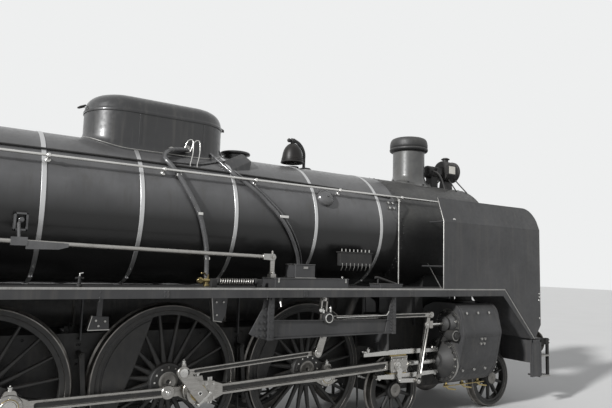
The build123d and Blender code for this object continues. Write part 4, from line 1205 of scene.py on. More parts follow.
@dataclass
class Boiler:
    """Barrel in its lagging with bands, firebox casing, smokebox and saddle.

    Attributes:
        radius: outside of the lagging.
        height: centre line above the rail.
        barrel: ends of the lagged barrel.
        front: front of the smokebox.
        bands: places of the lagging bands.
        band: width of a band.
        firebox_rear: back of the firebox casing.
    """

    radius: float = 0.96
    height: float = 3.083
    barrel: Point2 = (-2.35, 3.79)
    front: float = 6.08
    bands: tuple[float, ...] = (-1.608, -0.477, 0.813, 2.132, 3.4)
    band: float = 0.052
    firebox_rear: float = -4.4

    def build(self, shop: Shop) -> None:
        """Make the boiler.

        Args:
            shop: the geometry node trees.
        """
        self.lagging()
        self.band_rings()
        self.casing()
        self.smokebox(shop)
        self.side_fittings(shop)
        dress(FRAME_PAINT, "ashpan")
        dress(GRAPHITE, "saddle")

    def lagging(self) -> None:
        """The barrel's sheets, butted under the bands."""
        work = Work("barrel_lagging")
        joints = [self.barrel[0], *self.bands, self.barrel[1] - 0.003]
        r = self.radius - 0.0005
        for x0, x1 in zip(joints, joints[1:]):
            a, b = x0 + 0.001, x1 - 0.001
            profile = [(0, a), (r - 0.003, a), (r, x0 + 0.004), (r, x1 - 0.004), (r - 0.003, b), (0, b)]
            work.lathe(profile, Along.X, (0, self.height), 144)
        work.done(BOILER_ENAMEL, stands_for="boiler_barrel", slot="boiler_grey")

    def band_rings(self) -> None:
        """Polished bands with their tightening clamps low on both sides."""
        work = Work("lagging_bands")
        half, inner, outer = self.band / 2, self.radius - 0.004, self.radius + 0.0068
        for x in self.bands:
            work.ring((0, self.height), outer, inner, x - half, x + half, Along.X, 144, 0.0015)
        work.sides = SIDES
        for x in self.bands:
            work.tube([(x + dx, *cross(-62, self.radius, 0.012)) for dx in (-0.02, 0.02)], 0.016, 10)
            work.tube([(x, *cross(-62, self.radius, 0.02)), (x, *cross(-50, self.radius, 0.014))], 0.006, 8)
        work.done(BAND_STEEL, stands_for="boiler_bands", slot="band_steel")

    def section(self, bottom: float, waist: float, steps: int = 72) -> list[Point2]:
        """Outline (y, z) of the firebox casing: round crown, sides drawn in to the waist.

        Args:
            bottom: height of its foot.
            waist: half its width there.
            steps: chords in the crown.

        Returns:
            The closed outline.
        """
        r = self.radius + 0.02
        return arc((0, self.height), r, 0, 180, steps) + [
            (-r, self.height - 0.35), (-waist, bottom), (waist, bottom), (r, self.height - 0.35),
        ]

    def casing(self) -> None:
        """Firebox casing with its washout plugs and bands."""
        work = Work("firebox_casing")
        work.prism(self.section(1.4, 0.93), Along.X, self.firebox_rear, -3.12)
        work.prism(self.section(2.06, 0.88), Along.X, -3.1195, self.barrel[0])
        work.done(BOILER_ENAMEL, bevel=0.012, stands_for="firebox", slot="boiler_grey")
        strips = Work("casing_bands")
        outer = arc((0, self.height), self.radius + 0.026, 0, 180, 72)
        inner = arc((0, self.height), self.radius + 0.017, 180, 0, 72)
        outline = [*outer, (-0.986, 2.75), (-0.977, 2.75), *inner, (0.977, 2.75), (0.986, 2.75)]
        for x in (-2.42, -3.1, -3.82):
            strips.prism(outline, Along.X, x - 0.024, x + 0.024)
        strips.done(BAND_STEEL, slot="band_steel")
        plugs = Work("washout_plugs", *SIDES)
        y, z = cross(38.0, self.radius + 0.02)
        way = Vector((0, y, z - self.height)).normalized()
        plug = [(0.062, 0.0), (0.062, 0.022), (0.05, 0.03), (0.03, 0.03), (0.03, 0.06), (0, 0.06)]
        for x in (-4.1, -3.55, -2.85):
            plugs.spun(Vector((x, y, z)) - way * 0.01, way, plug)
        plugs.done(BRASS, bevel=0.003)

    def smokebox(self, shop: Shop) -> None:
        """Smokebox shell with its front ring and rivets, open at the door and under the chimney.

        Args:
            shop: the geometry node trees.
        """
        work = Work("smokebox_shell")
        r, x0, x1 = self.radius, self.barrel[1] + 0.0005, self.front
        profile = [
            (r - 0.002, x0), (r, x0 + 0.002), (r, x1 - 0.03), (r - 0.012, x1 - 0.008), (r - 0.03, x1),
            (0.75, x1), (0.74, x1 - 0.008), (0.74, x1 - 0.03), (r - 0.03, x1 - 0.03), (r - 0.03, x0),
        ]
        work.lathe(profile, Along.X, (0, self.height), 144, closed=True)
        shell = work.done(GRAPHITE, stands_for="smokebox", slot="smokebox_black")
        hole = Work("chimney_hole")
        hole.disc((4.885, 0), 0.25, self.height + 0.3, self.height + 1.2, Along.Z, 48)
        cut(shell, hole)
        inside = Work("blast_pipe")
        inside.lathe(
            [(0, 2.18), (0.2, 2.18), (0.2, 2.3), (0.13, 2.36), (0.12, 2.57), (0.09, 2.57), (0.09, 2.5), (0, 2.5)],
            Along.Z, (4.88, 0), 40,
        )
        inside.prism(arc((0, self.height), self.radius - 0.032, 0, 360, 96)[:-1], Along.X, x0, x0 + 0.02)
        for z in (self.height - 0.33, self.height + 0.33):
            inside.block(x1, x1 + 0.07, 0.85, 0.91, z - 0.06, z - 0.01)
            inside.block(x1, x1 + 0.07, 0.85, 0.91, z + 0.01, z + 0.06)
            inside.disc((x1 + 0.045, 0.88), 0.012, z - 0.012, z + 0.012, Along.Z, 16, 0.001)
        inside.done(BLACK_IRON, bevel=0.002)
        points, aims = [], []
        for x, spacing in ((3.82, 48), (3.875, 48), (6.02, 56)):
            for i in range(spacing):
                angle = 360 * (i + (0.5 if x == 3.875 else 0)) / spacing
                y, z = cross(angle, r - 0.001)
                if z < 2.55 and 4.65 < x < 5.55:
                    continue
                points.append((x, y, z))
                aims.append((0, y, z - self.height))
        for i in range(28):
            y, z = cross(360 * i / 28, 0.88)
            points.append((x1 - 0.001, y, z))
            aims.append((1, 0, 0))
        shop.heads("smokebox_rivets", points, aims, 0.026, 0.01, GRAPHITE)

    def side_fittings(self, shop: Shop) -> None:
        """Round inspection covers, the cock rod down the smokebox's joint, its stay and bolt clusters.

        Args:
            shop: the geometry node trees.
        """
        covers = Work("boiler_side_covers", *SIDES)
        y, z = cross(24.0, self.radius)
        way = Vector((0, y, z - self.height)).normalized()
        dish = [
            (0.14, 0.0), (0.14, 0.05), (0.132, 0.07), (0.11, 0.092), (0.075, 0.108), (0.026, 0.116), (0.02, 0.134),
            (0, 0.134),
        ]
        covers.spun(Vector((2.33, y, z)) - way * 0.03, way, dish, 36)
        covers.done(PIPE_ENAMEL)
        rod = Work("cock_rod", *SIDES)
        rod.tube([(3.745, 0.985, 3.575), (3.75, 0.985, 2.2)], 0.011, 10)
        rod.tube([(3.745, 0.985, 3.575), (3.745, 0.91, 3.62)], 0.011, 10)
        rod.tube([(3.75, 0.985, 2.2), (3.78, 0.985, 2.16), (3.82, 0.985, 2.15)], 0.011, 10)
        rod.tube([(4.606, 0.79, 2.551), (4.452, 1.249, 2.143)], 0.009, 8)
        rod.disc((4.452, 1.249), 0.022, 2.1403, 2.15, Along.Z)
        rod.done(EDGE_STEEL, slot="bright_steel")
        points = [(x, *cross(angle, self.radius)) for x in (3.6, 3.69) for angle in (26.0, 20.5)]
        aims = [(0, y, z - self.height) for _, y, z in points]
        shop.heads("superheater_bolts", points, aims, 0.044, 0.03, TURNED_STEEL, round_head=False, sides=SIDES)


@dataclass
class Dome:
    """Pressed casing over the steam dome and sand: oval, with a crowned lid.

    Attributes:
        centre: middle of the oval along the engine.
        length: its length.
        width: its width.
        seam: height of the lid's lower edge.
        top: height of the crown.
    """

    centre: float = -0.065
    length: float = 1.95
    width: float = 1.0
    seam: float = 4.41
    top: float = 4.691

    def ring(self, inset: float, z: float) -> list[Vector]:
        """Points of the oval drawn in by an inset, at a height.

        Args:
            inset: how far it's drawn in.
            z: the height.

        Returns:
            The points.
        """
        width = self.width - 2 * inset
        outline = stadium((self.centre, 0), self.length - 2 * inset, max(width, 0.004), 28)
        return [Vector((x, y, z)) for x, y in outline]

    def build(self, shop: Shop) -> None:
        """Make the casing, its lid, seam strips and lifting eyes.

        Args:
            shop: the geometry node trees.
        """
        side = Work("dome_side_sheet")
        foot = []
        for level, out in ((0.0, 0.05), (0.012, 0.03), (0.04, 0.01), (0.09, 0.0)):
            loop = []
            for p in self.ring(-out, 0):
                y = max(-0.93, min(0.93, p.y))
                loop.append(Vector((p.x, p.y, on_barrel(y) + level + 0.002)))
            foot.append(loop)
        inner = [Vector((p.x, p.y, 3.7)) for p in self.ring(0.02, 0)]
        walls = [[Vector((p.x, p.y, z)) for p in self.ring(0, 0)] for z in (4.3, self.seam - 0.004)]
        side.shell([inner, *foot, *walls])
        side.done(COVER_ENAMEL, stands_for="dome_casing", slot="satin_black", angle=45)
        lid = Work("dome_lid")
        courses = [
            (0.03, self.seam - 0.012), (-0.010, self.seam - 0.012), (-0.012, self.seam), (-0.012, self.seam + 0.018),
            (-0.006, self.seam + 0.026), (0.0, 4.455), (0.01, 4.5), (0.028, 4.545), (0.055, 4.583), (0.092, 4.616),
            (0.14, 4.643), (0.2, 4.663), (0.27, 4.677), (0.36, 4.686), (0.44, 4.69), (0.497, self.top),
        ]
        lid.shell([self.ring(inset, z) for inset, z in courses])
        lid.done(COVER_ENAMEL, slot="satin_black", angle=45)
        strips = Work("dome_seams", *SIDES)
        strips.block(-0.44, -0.405, 0.494, 0.5035, 3.9, self.seam - 0.02)
        strips.block(0.47, 0.5, 0.494, 0.5035, 3.9, self.seam - 0.02)
        strips.done(COVER_ENAMEL, bevel=0.002)
        eyes = Work("dome_lifting_eyes")
        for x, way in ((self.centre - 0.975, -1), (self.centre + 0.975, 1)):
            loop = [
                (x, -0.045, 4.5), (x + way * 0.07, -0.04, 4.47), (x + way * 0.09, 0, 4.46),
                (x + way * 0.07, 0.04, 4.47), (x, 0.045, 4.5),
            ]
            eyes.tube(loop, 0.012, 10)
        eyes.done(BLACK_IRON)
        # Bright steel bead round the foot's lip: a painted highlight along the flange's lit edge.
        bead = Work("dome_foot_highlight_bead")
        bead.tube([*foot[1], foot[1][0]], 0.007, 8)
        bead.done(EDGE_STEEL)
        shop.heads("dome_filler_caps", [(-0.6, 0, 4.69), (0.5, 0, 4.69)], [(0, 0, 1)], 0.075, 0.03, COVER_ENAMEL)


@dataclass
class Chimney:
    """Cast chimney: saddle foot on the smokebox, straight pot, bowl-shaped cap with a bead.

    Attributes:
        x: its centre.
        radius: the pot's outside.
        bore: its bore.
        top: its height above the rail.
    """

    x: float = 4.885
    radius: float = 0.298
    bore: float = 0.225
    top: float = 4.915

    def saddle(self, radius: float, lift: float) -> list[Vector]:
        """Loop of a radius that follows the smokebox's round, lifted off it."""
        return [Vector((p.x, p.y, on_barrel(p.y) + lift)) for p in self.level(radius, 0)]

    def level(self, radius: float, z: float) -> list[Vector]:
        """Level loop of a radius at a height."""
        return [Vector((u, v, z)) for u, v in arc((self.x, 0), radius, 0, 360, 72)[:-1]]

    def build(self, shop: Shop) -> None:
        """Make the casting, its cap and the foot bolts.

        Args:
            shop: the geometry node trees.
        """
        work = Work("chimney_casting")
        joint = 4.66
        loops = [self.level(self.bore, joint), self.level(self.bore, 4.2), self.saddle(self.bore, -0.04)]
        foot = ((0.4, -0.04), (0.425, 0.003), (0.425, 0.016), (0.41, 0.024), (0.375, 0.032))
        loops += [self.saddle(radius, lift) for radius, lift in foot]
        for t in (0.0, 0.25, 0.5, 0.75, 1.0):
            swell = 0.345 - (0.345 - self.radius) * math.sin(t * math.pi / 2)
            loops.append([Vector((p.x, p.y, p.z * (1 - t) + 4.2 * t)) for p in self.saddle(swell, 0.05)])
        loops.append(self.level(self.radius, joint))
        work.shell(loops, closed=True)
        # The pot takes the paler copy of the graphite paint: painted light for the sun on it.
        work.done(CHIMNEY_LIT_PAINT, stands_for="chimney", slot="smokebox_black", angle=40)
        crown = Work("chimney_cap")
        cap = [
            (self.bore, self.top), (self.bore, 4.63), (0.296, 4.63), (0.299, 4.64), (0.302, 4.648), (0.332, 4.656),
            (0.352, 4.668), (0.362, 4.684), (0.363, 4.704), (0.358, 4.716), (0.35, 4.722), (0.355, 4.73),
            (0.358, 4.76), (0.356, 4.8), (0.35, 4.84), (0.338, 4.875), (0.318, 4.9), (0.29, 4.913), (0.24, 4.915),
        ]
        crown.lathe(cap, Along.Z, (self.x, 0), 72, closed=True)
        crown.done(GRAPHITE, slot="smokebox_black", angle=40)
        points = self.saddle(0.392, 0.03)[::9]
        aims = [(0, p.y, p.z - Boiler.height) for p in points]
        shop.heads("chimney_foot_nuts", points, aims, 0.036, 0.02, BLACK_IRON, round_head=False)


@dataclass
class TopFeed:
    """Feed-water clacks ahead of the dome under their flat round cover and sloping side housings."""

    x: float = 1.215

    def build(self, shop: Shop) -> None:
        """Make the cover, its seat and the two side housings.

        Args:
            shop: the geometry node trees; not used.
        """
        work = Work("feed_cover")
        dish = [
            (0, 3.9), (0.19, 3.9), (0.19, 4.108), (0.2, 4.116), (0.228, 4.12), (0.235, 4.128), (0.235, 4.146),
            (0.224, 4.158), (0.1, 4.165), (0, 4.166),
        ]
        work.lathe(dish, Along.Z, (self.x, 0), 56)
        work.done(COVER_ENAMEL, stands_for="top_feed", slot="satin_black")
        pods = Work("feed_housings", *SIDES)
        low, high = [], []
        for x, y in ((0.76, 0.56), (1.10, 0.44), (1.16, 0.64), (0.86, 0.70)):
            z = on_barrel(y)
            low.append((x, y, z - 0.02))
            high.append((x + 0.03, y * 0.97, z + (0.14 if x > 1 else 0.05)))
        pods.shell([low, high])
        pods.done(COVER_ENAMEL, bevel=0.015)


@dataclass
class Bell:
    """Bronze bell under a bent arm, swinging across the engine on the arm's pin.

    Attributes:
        x: the bell's centre.
        pin: height of the pin it swings on.
        lip: radius and height of its mouth.
    """

    x: float = 2.265
    pin: float = 4.505
    lip: Point2 = (0.196, 4.134)

    def build(self, shop: Shop) -> None:
        """Make the bell on its own body and the arm on the boiler.

        Args:
            shop: the geometry node trees.
        """
        cup = Work("bell_bronze_cup")
        outside = [
            (0.0, 4.457), (0.05, 4.455), (0.085, 4.432), (0.118, 4.395), (0.142, 4.352), (0.158, 4.305), (0.167, 4.26),
            (0.175, 4.21), (0.182, 4.17), (0.189, 4.148), self.lip, (0.192, 4.128), (0.182, 4.13),
        ]
        inside = [
            (0.172, 4.15), (0.165, 4.2), (0.155, 4.26), (0.145, 4.31), (0.128, 4.35), (0.105, 4.388), (0.075, 4.42),
            (0.0, 4.437),
        ]
        cup.lathe(outside + inside, Along.Z, (self.x, 0), 56)
        for low, high, radius in ((4.168, 4.176, 0.186), (4.196, 4.203, 0.1805)):
            cup.ring((self.x, 0), radius, radius - 0.012, low, high, Along.Z, 56, 0.002)
        cup.done(BELL_BRONZE, "bell", stands_for="bell", slot="bell_bronze", angle=50)
        hanger = Work("bell_hanger")
        hanger.block(self.x - 0.021, self.x + 0.021, -0.033, 0.033, 4.44, 4.472)
        hanger.ring((0, self.pin), 0.042, 0.0163, self.x - 0.032, self.x + 0.032, Along.X)
        hanger.disc((self.x, 0), 0.01, 4.13, 4.44, Along.Z, 12, 0.001)
        hanger.ball((self.x, 0, 4.13), 0.03)
        hanger.done(BLACK_IRON, "bell")
        arm = Work("bell_arm")
        outer = bow((self.x + 0.245, 4.23), (self.x + 0.187, 4.44), (self.x + 0.045, 4.532))
        inner = bow((self.x + 0.045, 4.484), (self.x + 0.16, 4.408), (self.x + 0.213, 4.23))
        arm.plate([(self.x + 0.213, 3.99), (self.x + 0.245, 3.99), *outer, *inner], -0.02, 0.02)
        arm.block(self.x + 0.185, self.x + 0.3, -0.06, 0.06, 3.99, 4.075)
        arm.block(self.x + 0.165, self.x + 0.32, -0.095, 0.095, 4.0, 4.052)
        arm.disc((self.x, 0), 0.11, 4.03, 4.068, Along.Z)
        arm.disc((0, self.pin), 0.016, self.x - 0.052, self.x + 0.06, Along.X, 20, 0.001)
        arm.ball((self.x - 0.072, 0, self.pin), 0.034)
        arm.done(BLACK_IRON, bevel=0.006, stands_for="bell_yoke", slot="satin_black")
        spots = [(self.x + x, y, 4.052) for x in (0.185, 0.3) for y in (-0.075, 0.075)]
        shop.heads("bell_arm_bolts", spots, [(0, 0, 1)], 0.026, 0.016, BLACK_IRON, round_head=False)


@dataclass
class Lamps:
    """Headlamp on the smokebox with the turbo-generator behind it, and the two beam lamps.

    Attributes:
        z: height of the headlamp's centre.
        drum: ends of its case.
        turbine: centre height of the generator.
    """

    z: float = 4.4
    drum: Point2 = (5.75, 6.075)
    turbine: float = 4.345

    def build(self, shop: Shop) -> None:
        """Make the lamp, its lens, the generator and the beam lamps.

        Args:
            shop: the geometry node trees.
        """
        self.headlamp()
        self.generator(shop)
        self.beam_lamps()

    def headlamp(self) -> None:
        """Drum with its side windows, vent, foot and lens."""
        rear, front = self.drum
        centre = (0, self.z)
        case = Work("headlamp_case")
        case.lathe(
            [
                (0, rear), (0.17, rear), (0.197, rear + 0.008), (0.205, rear + 0.025), (0.205, front - 0.04),
                (0.212, front - 0.036), (0.212, front + 0.01), (0.2, front + 0.024), (0.182, front + 0.024),
                (0.176, front), (0, front),
            ],
            Along.X, centre, 56,
        )
        case.ring(centre, 0.2085, 0.2, rear + 0.05, rear + 0.07, Along.X, 56, 0.001)
        case.lathe(
            [(0, 4.58), (0.058, 4.58), (0.058, 4.64), (0.085, 4.648), (0.085, 4.66), (0.05, 4.682), (0, 4.686)],
            Along.Z, (5.89, 0), 32,
        )
        case.prism(rounded([(-0.1, 3.97), (0.1, 3.97), (0.06, 4.21), (-0.06, 4.21)], 0.03), Along.X, 5.8, 6.0)
        case.sides = SIDES
        case.block(5.74, 5.955, 0.15, 0.219, 4.31, 4.5)
        case.block(5.84, 5.96, 0.06, 0.14, 4.005, 4.032)
        case.done(BLACK_IRON, bevel=0.003, stands_for="lamps", slot="lamp_black")
        panes = Work("headlamp_side_panes", *SIDES)
        panes.block(5.762, 5.933, 0.21, 0.2215, 4.33, 4.48)
        panes.done(WHITE_ENAMEL, bevel=0.003)
        lens = Work("headlamp_lens")
        lens.lathe(
            [
                (0, front + 0.002), (0.174, front + 0.002), (0.174, front + 0.008), (0.12, front + 0.018),
                (0, front + 0.022),
            ],
            Along.X, centre, 40,
        )
        lens.done(LENS_GLASS, slot="pane_glass")
        stays = Work("headlamp_stays", *SIDES)
        stays.tube([(5.86, 0.1, 4.25), (5.74, 0.42, 3.955)], 0.012)
        stays.tube([(6.0, 0.13, 4.25), (6.02, 0.44, 3.94)], 0.012)
        stays.done(BLACK_IRON)

    def generator(self, shop: Shop) -> None:
        """Turbine and dynamo on their pedestal, with steam pipe and junction box.

        Args:
            shop: the geometry node trees.
        """
        z = self.turbine
        body = Work("turbo_generator")
        body.lathe(
            [
                (0, 5.33), (0.07, 5.33), (0.106, 5.35), (0.122, 5.375), (0.122, 5.44), (0.114, 5.444), (0.114, 5.47),
                (0.122, 5.474), (0.122, 5.54), (0.114, 5.544), (0.114, 5.57), (0.122, 5.574), (0.122, 5.64),
                (0.09, 5.66), (0, 5.665),
            ],
            Along.X, (0, z), 40,
        )
        body.block(5.42, 5.6, -0.075, 0.075, 4.02, 4.27)
        body.block(5.66, 5.755, -0.09, 0.09, 4.3, 4.46)
        body.block(5.42, 5.58, -0.1, 0.1, 4.0, 4.05)
        body.block(5.5, 5.62, -0.16, -0.1, z - 0.05, z + 0.07)
        body.done(BLACK_IRON, bevel=0.004)
        pipe = [(5.4, -0.1, z), (5.4, -0.2, z - 0.01), (5.4, -0.32, z - 0.1), (5.38, -0.42, 4.08), (5.36, -0.5, 3.89)]
        shop.bend_pipe("generator_steam_pipe", pipe, 0.016, BLACK_IRON)
        spots = [(5.345, 0.1 * c, z + 0.1 * s) for c, s in turned(8)]
        shop.heads("generator_bolts", spots, [(-1, 0, 0)], 0.022, 0.012, BLACK_IRON, round_head=False)

    def beam_lamps(self) -> None:
        """The two lamps on the front beam and their lenses."""
        small, glass = Work("beam_lamps", *SIDES), Work("beam_lamp_lenses", *SIDES)
        case = [
            (0, 6.69), (0.09, 6.69), (0.125, 6.71), (0.125, 6.79), (0.118, 6.812), (0.102, 6.812), (0.098, 6.795),
            (0, 6.795),
        ]
        small.lathe(case, Along.X, (1.18, 1.42), 40)
        small.disc((6.74, 1.18), 0.028, 1.2623, 1.31, Along.Z)
        small.disc((6.74, 1.18), 0.05, 1.2623, 1.272, Along.Z)
        glass.lathe([(0, 6.797), (0.097, 6.797), (0.08, 6.808), (0, 6.813)], Along.X, (1.18, 1.42), 32)
        small.done(BLACK_IRON, bevel=0.002)
        glass.done(LENS_GLASS, slot="pane_glass")


@dataclass
class Handrails:
    """Bright handrails on turned stanchions, and the lubricator pipe that lies above them."""

    y: float = 0.9
    z: float = 3.62
    posts: tuple[float, ...] = (-1.572, -0.198, 1.129, 2.606, 3.89, 5.4)

    def build(self, shop: Shop) -> None:
        """Make rails, stanchions and the small pipe.

        Args:
            shop: the geometry node trees.
        """
        rails = Work("boiler_handrails", *SIDES)
        rails.tube([(-2.3, self.y, self.z), (5.5, self.y, self.z)], 0.0168, 16)
        rails.ball((5.5, self.y, self.z), 0.024)
        rails.ball((-2.3, self.y, self.z), 0.024)
        rails.done(RAIL_STEEL, stands_for="handrails", slot="bright_steel")
        posts = Work("handrail_stanchions", *SIDES)
        spoke = Vector((0, self.y, self.z - Boiler.height))
        way, reach = spoke.normalized(), spoke.length - Boiler.radius
        turned_post = [
            (0.034, -0.01), (0.034, 0.012), (0.022, 0.02), (0.013, 0.034), (0.013, reach - 0.03),
            (0.022, reach - 0.022), (0.03, reach - 0.008), (0.032, reach), (0.028, reach + 0.014),
            (0.015, reach + 0.026), (0, reach + 0.029),
        ]
        for x in self.posts:
            posts.spun(Vector((x, self.y, self.z)) - way * reach, way, turned_post, 20)
        posts.done(RAIL_STEEL)
        line = [(-2.3, 0.74), (-1.0, 0.73), (0.4, 0.745), (1.8, 0.765), (3.4, 0.8), (3.7, 0.82)]
        path = [(x, y, Boiler.height + math.sqrt(0.9745**2 - y * y)) for x, y in line]
        for side, name in NAMED_SIDES:
            shop.bend_pipe("oil_pipe_" + name, path, 0.0125, BLACK_IRON, side=side)


@dataclass
class BoilerPipes:
    """Feed and brake pipes over the lagging, with their clips, unions and small pipes.

    Attributes:
        feed: control points of the feed pipe: x, |y|, z.
        brake: control points of the brake pipe.
    """

    feed: tuple[Point3, ...] = (
        (0.24, 0.532, 3.99), (0.11, 0.56, 3.978), (-0.02, 0.58, 3.952), (-0.125, 0.64, 3.878), (-0.15, 0.728, 3.786),
        (-0.085, 0.8, 3.708), (0.01, 0.882, 3.556), (0.128, 0.976, 3.322), (0.266, 1.006, 3.074),
        (0.365, 0.966, 2.795), (0.425, 0.935, 2.56), (0.43, 0.93, 2.165),
    )
    brake: tuple[Point3, ...] = (
        (0.8, 0.766, 3.712), (0.862, 0.84, 3.632), (1.012, 0.898, 3.548), (1.199, 0.962, 3.382), (1.483, 1.01, 3.118),
        (1.647, 0.996, 2.915), (1.83, 0.908, 2.66), (1.915, 0.842, 2.48), (1.93, 0.83, 2.165),
    )

    def build(self, shop: Shop) -> None:
        """Make the pipes of both sides.

        Args:
            shop: the geometry node trees.
        """
        beside = [(x + 0.05, y, z + 0.026) for x, y, z in self.brake]
        loop = [
            (0.17, 0.56, 3.97), (0.19, 0.575, 4.06), (0.225, 0.59, 4.125), (0.285, 0.6, 4.125),
            (0.275, 0.64, 3.95), (0.235, 0.68, 3.82), (0.213, 0.702, 3.765), (0.2, 0.74, 3.715),
        ]
        wire = [
            (-0.11, 0.69, 3.765), (0.08, 0.69, 3.77), (0.37, 0.68, 3.778), (0.6, 0.6, 3.85), (0.78, 0.53, 3.9),
            (1.0, 0.47, 3.94),
        ]
        branch = [(0.6, 0.47, 3.99), (0.66, 0.57, 3.9), (0.72, 0.66, 3.82), (0.8, 0.765, 3.712)]
        for title, points, radius, finish in (
            ("feed_pipe", self.feed, 0.033, PIPE_ENAMEL),
            ("brake_pipe_a", self.brake, 0.027, PIPE_ENAMEL),
            ("brake_pipe_b", beside, 0.011, PIPE_ENAMEL),
            ("drip_pipe_a", loop, 0.0075, RAIL_STEEL),
            ("drip_pipe_b", [(x + 0.098, y, z) for x, y, z in loop], 0.0075, RAIL_STEEL),
            ("sand_pipe", wire, 0.011, PIPE_ENAMEL),
            ("feed_branch", branch, 0.018, PIPE_ENAMEL),
        ):
            for side, name in NAMED_SIDES:
                node = "boiler_pipes" if side == RIGHT and title == "feed_pipe" else ""
                shop.bend_pipe(f"{title}_{name}", points, radius, finish, 10 if radius < 0.012 else 14, node, side)
        for side, name in NAMED_SIDES:
            self.fittings(side, name)

    def fittings(self, side: int, name: str) -> None:
        """Clips on the lagging, the union on the casing and the valve on the board.

        Args:
            side: RIGHT or LEFT.
            name: the side's name.
        """
        clips = Work("pipe_clips_" + name, side)
        for x, y, z, wide in (
            (0.266, 1.006, 3.074, 0.034), (0.42, 0.935, 2.5, 0.034), (0.0, 0.868, 3.57, 0.034),
            (1.535, 1.004, 3.125, 0.07),
        ):
            spoke = Vector((0, y, z - Boiler.height))
            base = Vector((x, y, z)) - spoke.normalized() * (spoke.length - Boiler.radius + 0.002)
            clips.spun(base, spoke.normalized(), [(0.02, 0.0), (0.02, 0.03)], 12)
            clips.block(x - wide, x + wide, y - 0.036, y + 0.03, z - 0.02, z + 0.02)
        clips.done(RAIL_STEEL, bevel=0.006)
        union = Work("feed_union_" + name, side)
        union.disc((0.235, 4.0), 0.055, 0.4985, 0.52)
        union.nut((0.235, 4.0), 0.07, 0.52, 0.55)
        union.disc((-0.02, 3.952), 0.036, 0.555, 0.605)
        union.done(EDGE_STEEL, bevel=0.003)
        valve = Work("feed_valve_" + name, side)
        valve.disc((0.43, 0.93), 0.045, 2.141, 2.17, Along.Z)
        valve.disc((0.43, 0.93), 0.034, 2.17, 2.3, Along.Z)
        valve.tube([(0.33, 0.95, 2.215), (0.53, 0.95, 2.215)], 0.022, 14)
        valve.disc((0.33, 2.215), 0.04, 0.92, 0.98)
        valve.tube([(0.43, 0.93, 2.27), (0.36, 1.02, 2.31), (0.3, 1.06, 2.31)], 0.01)
        valve.done(BRASS, bevel=0.003)


# Wheels and motion


def crank(side: int, x: float = 0.0, throw: float = 0.325, ahead: float = 0.0) -> Point2:
    """Place (x, z) of a point on a driving wheel's crank at rest.

    Args:
        side: RIGHT or LEFT.
        x: the axle's place.
        throw: distance from the axle.
        ahead: degrees ahead of the crank.

    Returns:
        The point.
    """
    angle = math.radians((-20.0 if side == RIGHT else 70.0) + ahead)
    return (x + throw * math.cos(angle), 0.95 + throw * math.sin(angle))


def rod_line(p: Point2, q: Point2) -> Callable[[float, float], Point2]:
    """Rule that places a point u along the line from p to q and v above it.

    Args:
        p: the point that u is measured from.
        q: a point further on.

    Returns:
        The rule.
    """
    way = (Vector(q) - Vector(p)).normalized()

    def at(u: float, v: float) -> Point2:
        """The point in x and z."""
        return (p[0] + way.x * u - way.y * v, p[1] + way.y * u + way.x * v)

    return at


def fluted(
    work: Work, web: Work, p: Point2, q: Point2, depth: float, y: Point2, flute: float, sink: float, ends: Point2
) -> None:
    """Fluted bar between two (x, z) points, with the flutes' floors on a second piece.

    Args:
        work: the bright bar.
        web: dark plates laid on the floors of the flutes.
        p: first end.
        q: second end.
        depth: depth of the bar.
        y: its inner and outer face.
        flute: width of the flutes.
        sink: how deep they are.
        ends: how far from each end they start.
    """
    start, end = Vector(p), Vector(q)
    way = (end - start).normalized()
    up = Vector((-way.y, way.x))
    length = (end - start).length
    inner, outer = y
    half = depth / 2
    stations = [(0.0, 0.0), (ends[0], 0.0)]
    for t in (0.35, 0.7, 1.0):
        stations.append((ends[0] + flute * 0.5 * (1 - math.sqrt(1 - t * t * 0.999)), t))
    back = [(length - ends[1] - (s - ends[0]), t) for s, t in reversed(stations[1:])]
    loops = []
    for s, t in [*stations, *back, (length, 0.0)]:
        f = max(flute / 2 * t, 0.0005)
        d = sink * min(1.0, t * 1.5)
        g = max(f - sink * 0.5, 0.0003)
        section = [
            (-half, inner), (-half, outer), (-f, outer), (-g, outer - d), (g, outer - d), (f, outer),
            (half, outer), (half, inner), (f, inner), (g, inner + d), (-g, inner + d), (-f, inner),
        ]
        spots = [(start + way * s + up * u, v) for u, v in section]
        loops.append([(spot.x, v, spot.y) for spot, v in spots])
    work.shell(loops)
    radius = (flute / 2 - sink * 0.5) * 0.93
    a, b = start + way * (ends[0] + flute * 0.3), start + way * (length - ends[1] - flute * 0.3)
    floor = hull((a.x, a.y), (b.x, b.y), radius, radius, 6)
    for face, lift in ((outer - sink, 1), (inner + sink, -1)):
        web.plate(floor, face - lift * 0.002, face + lift * 0.0012)


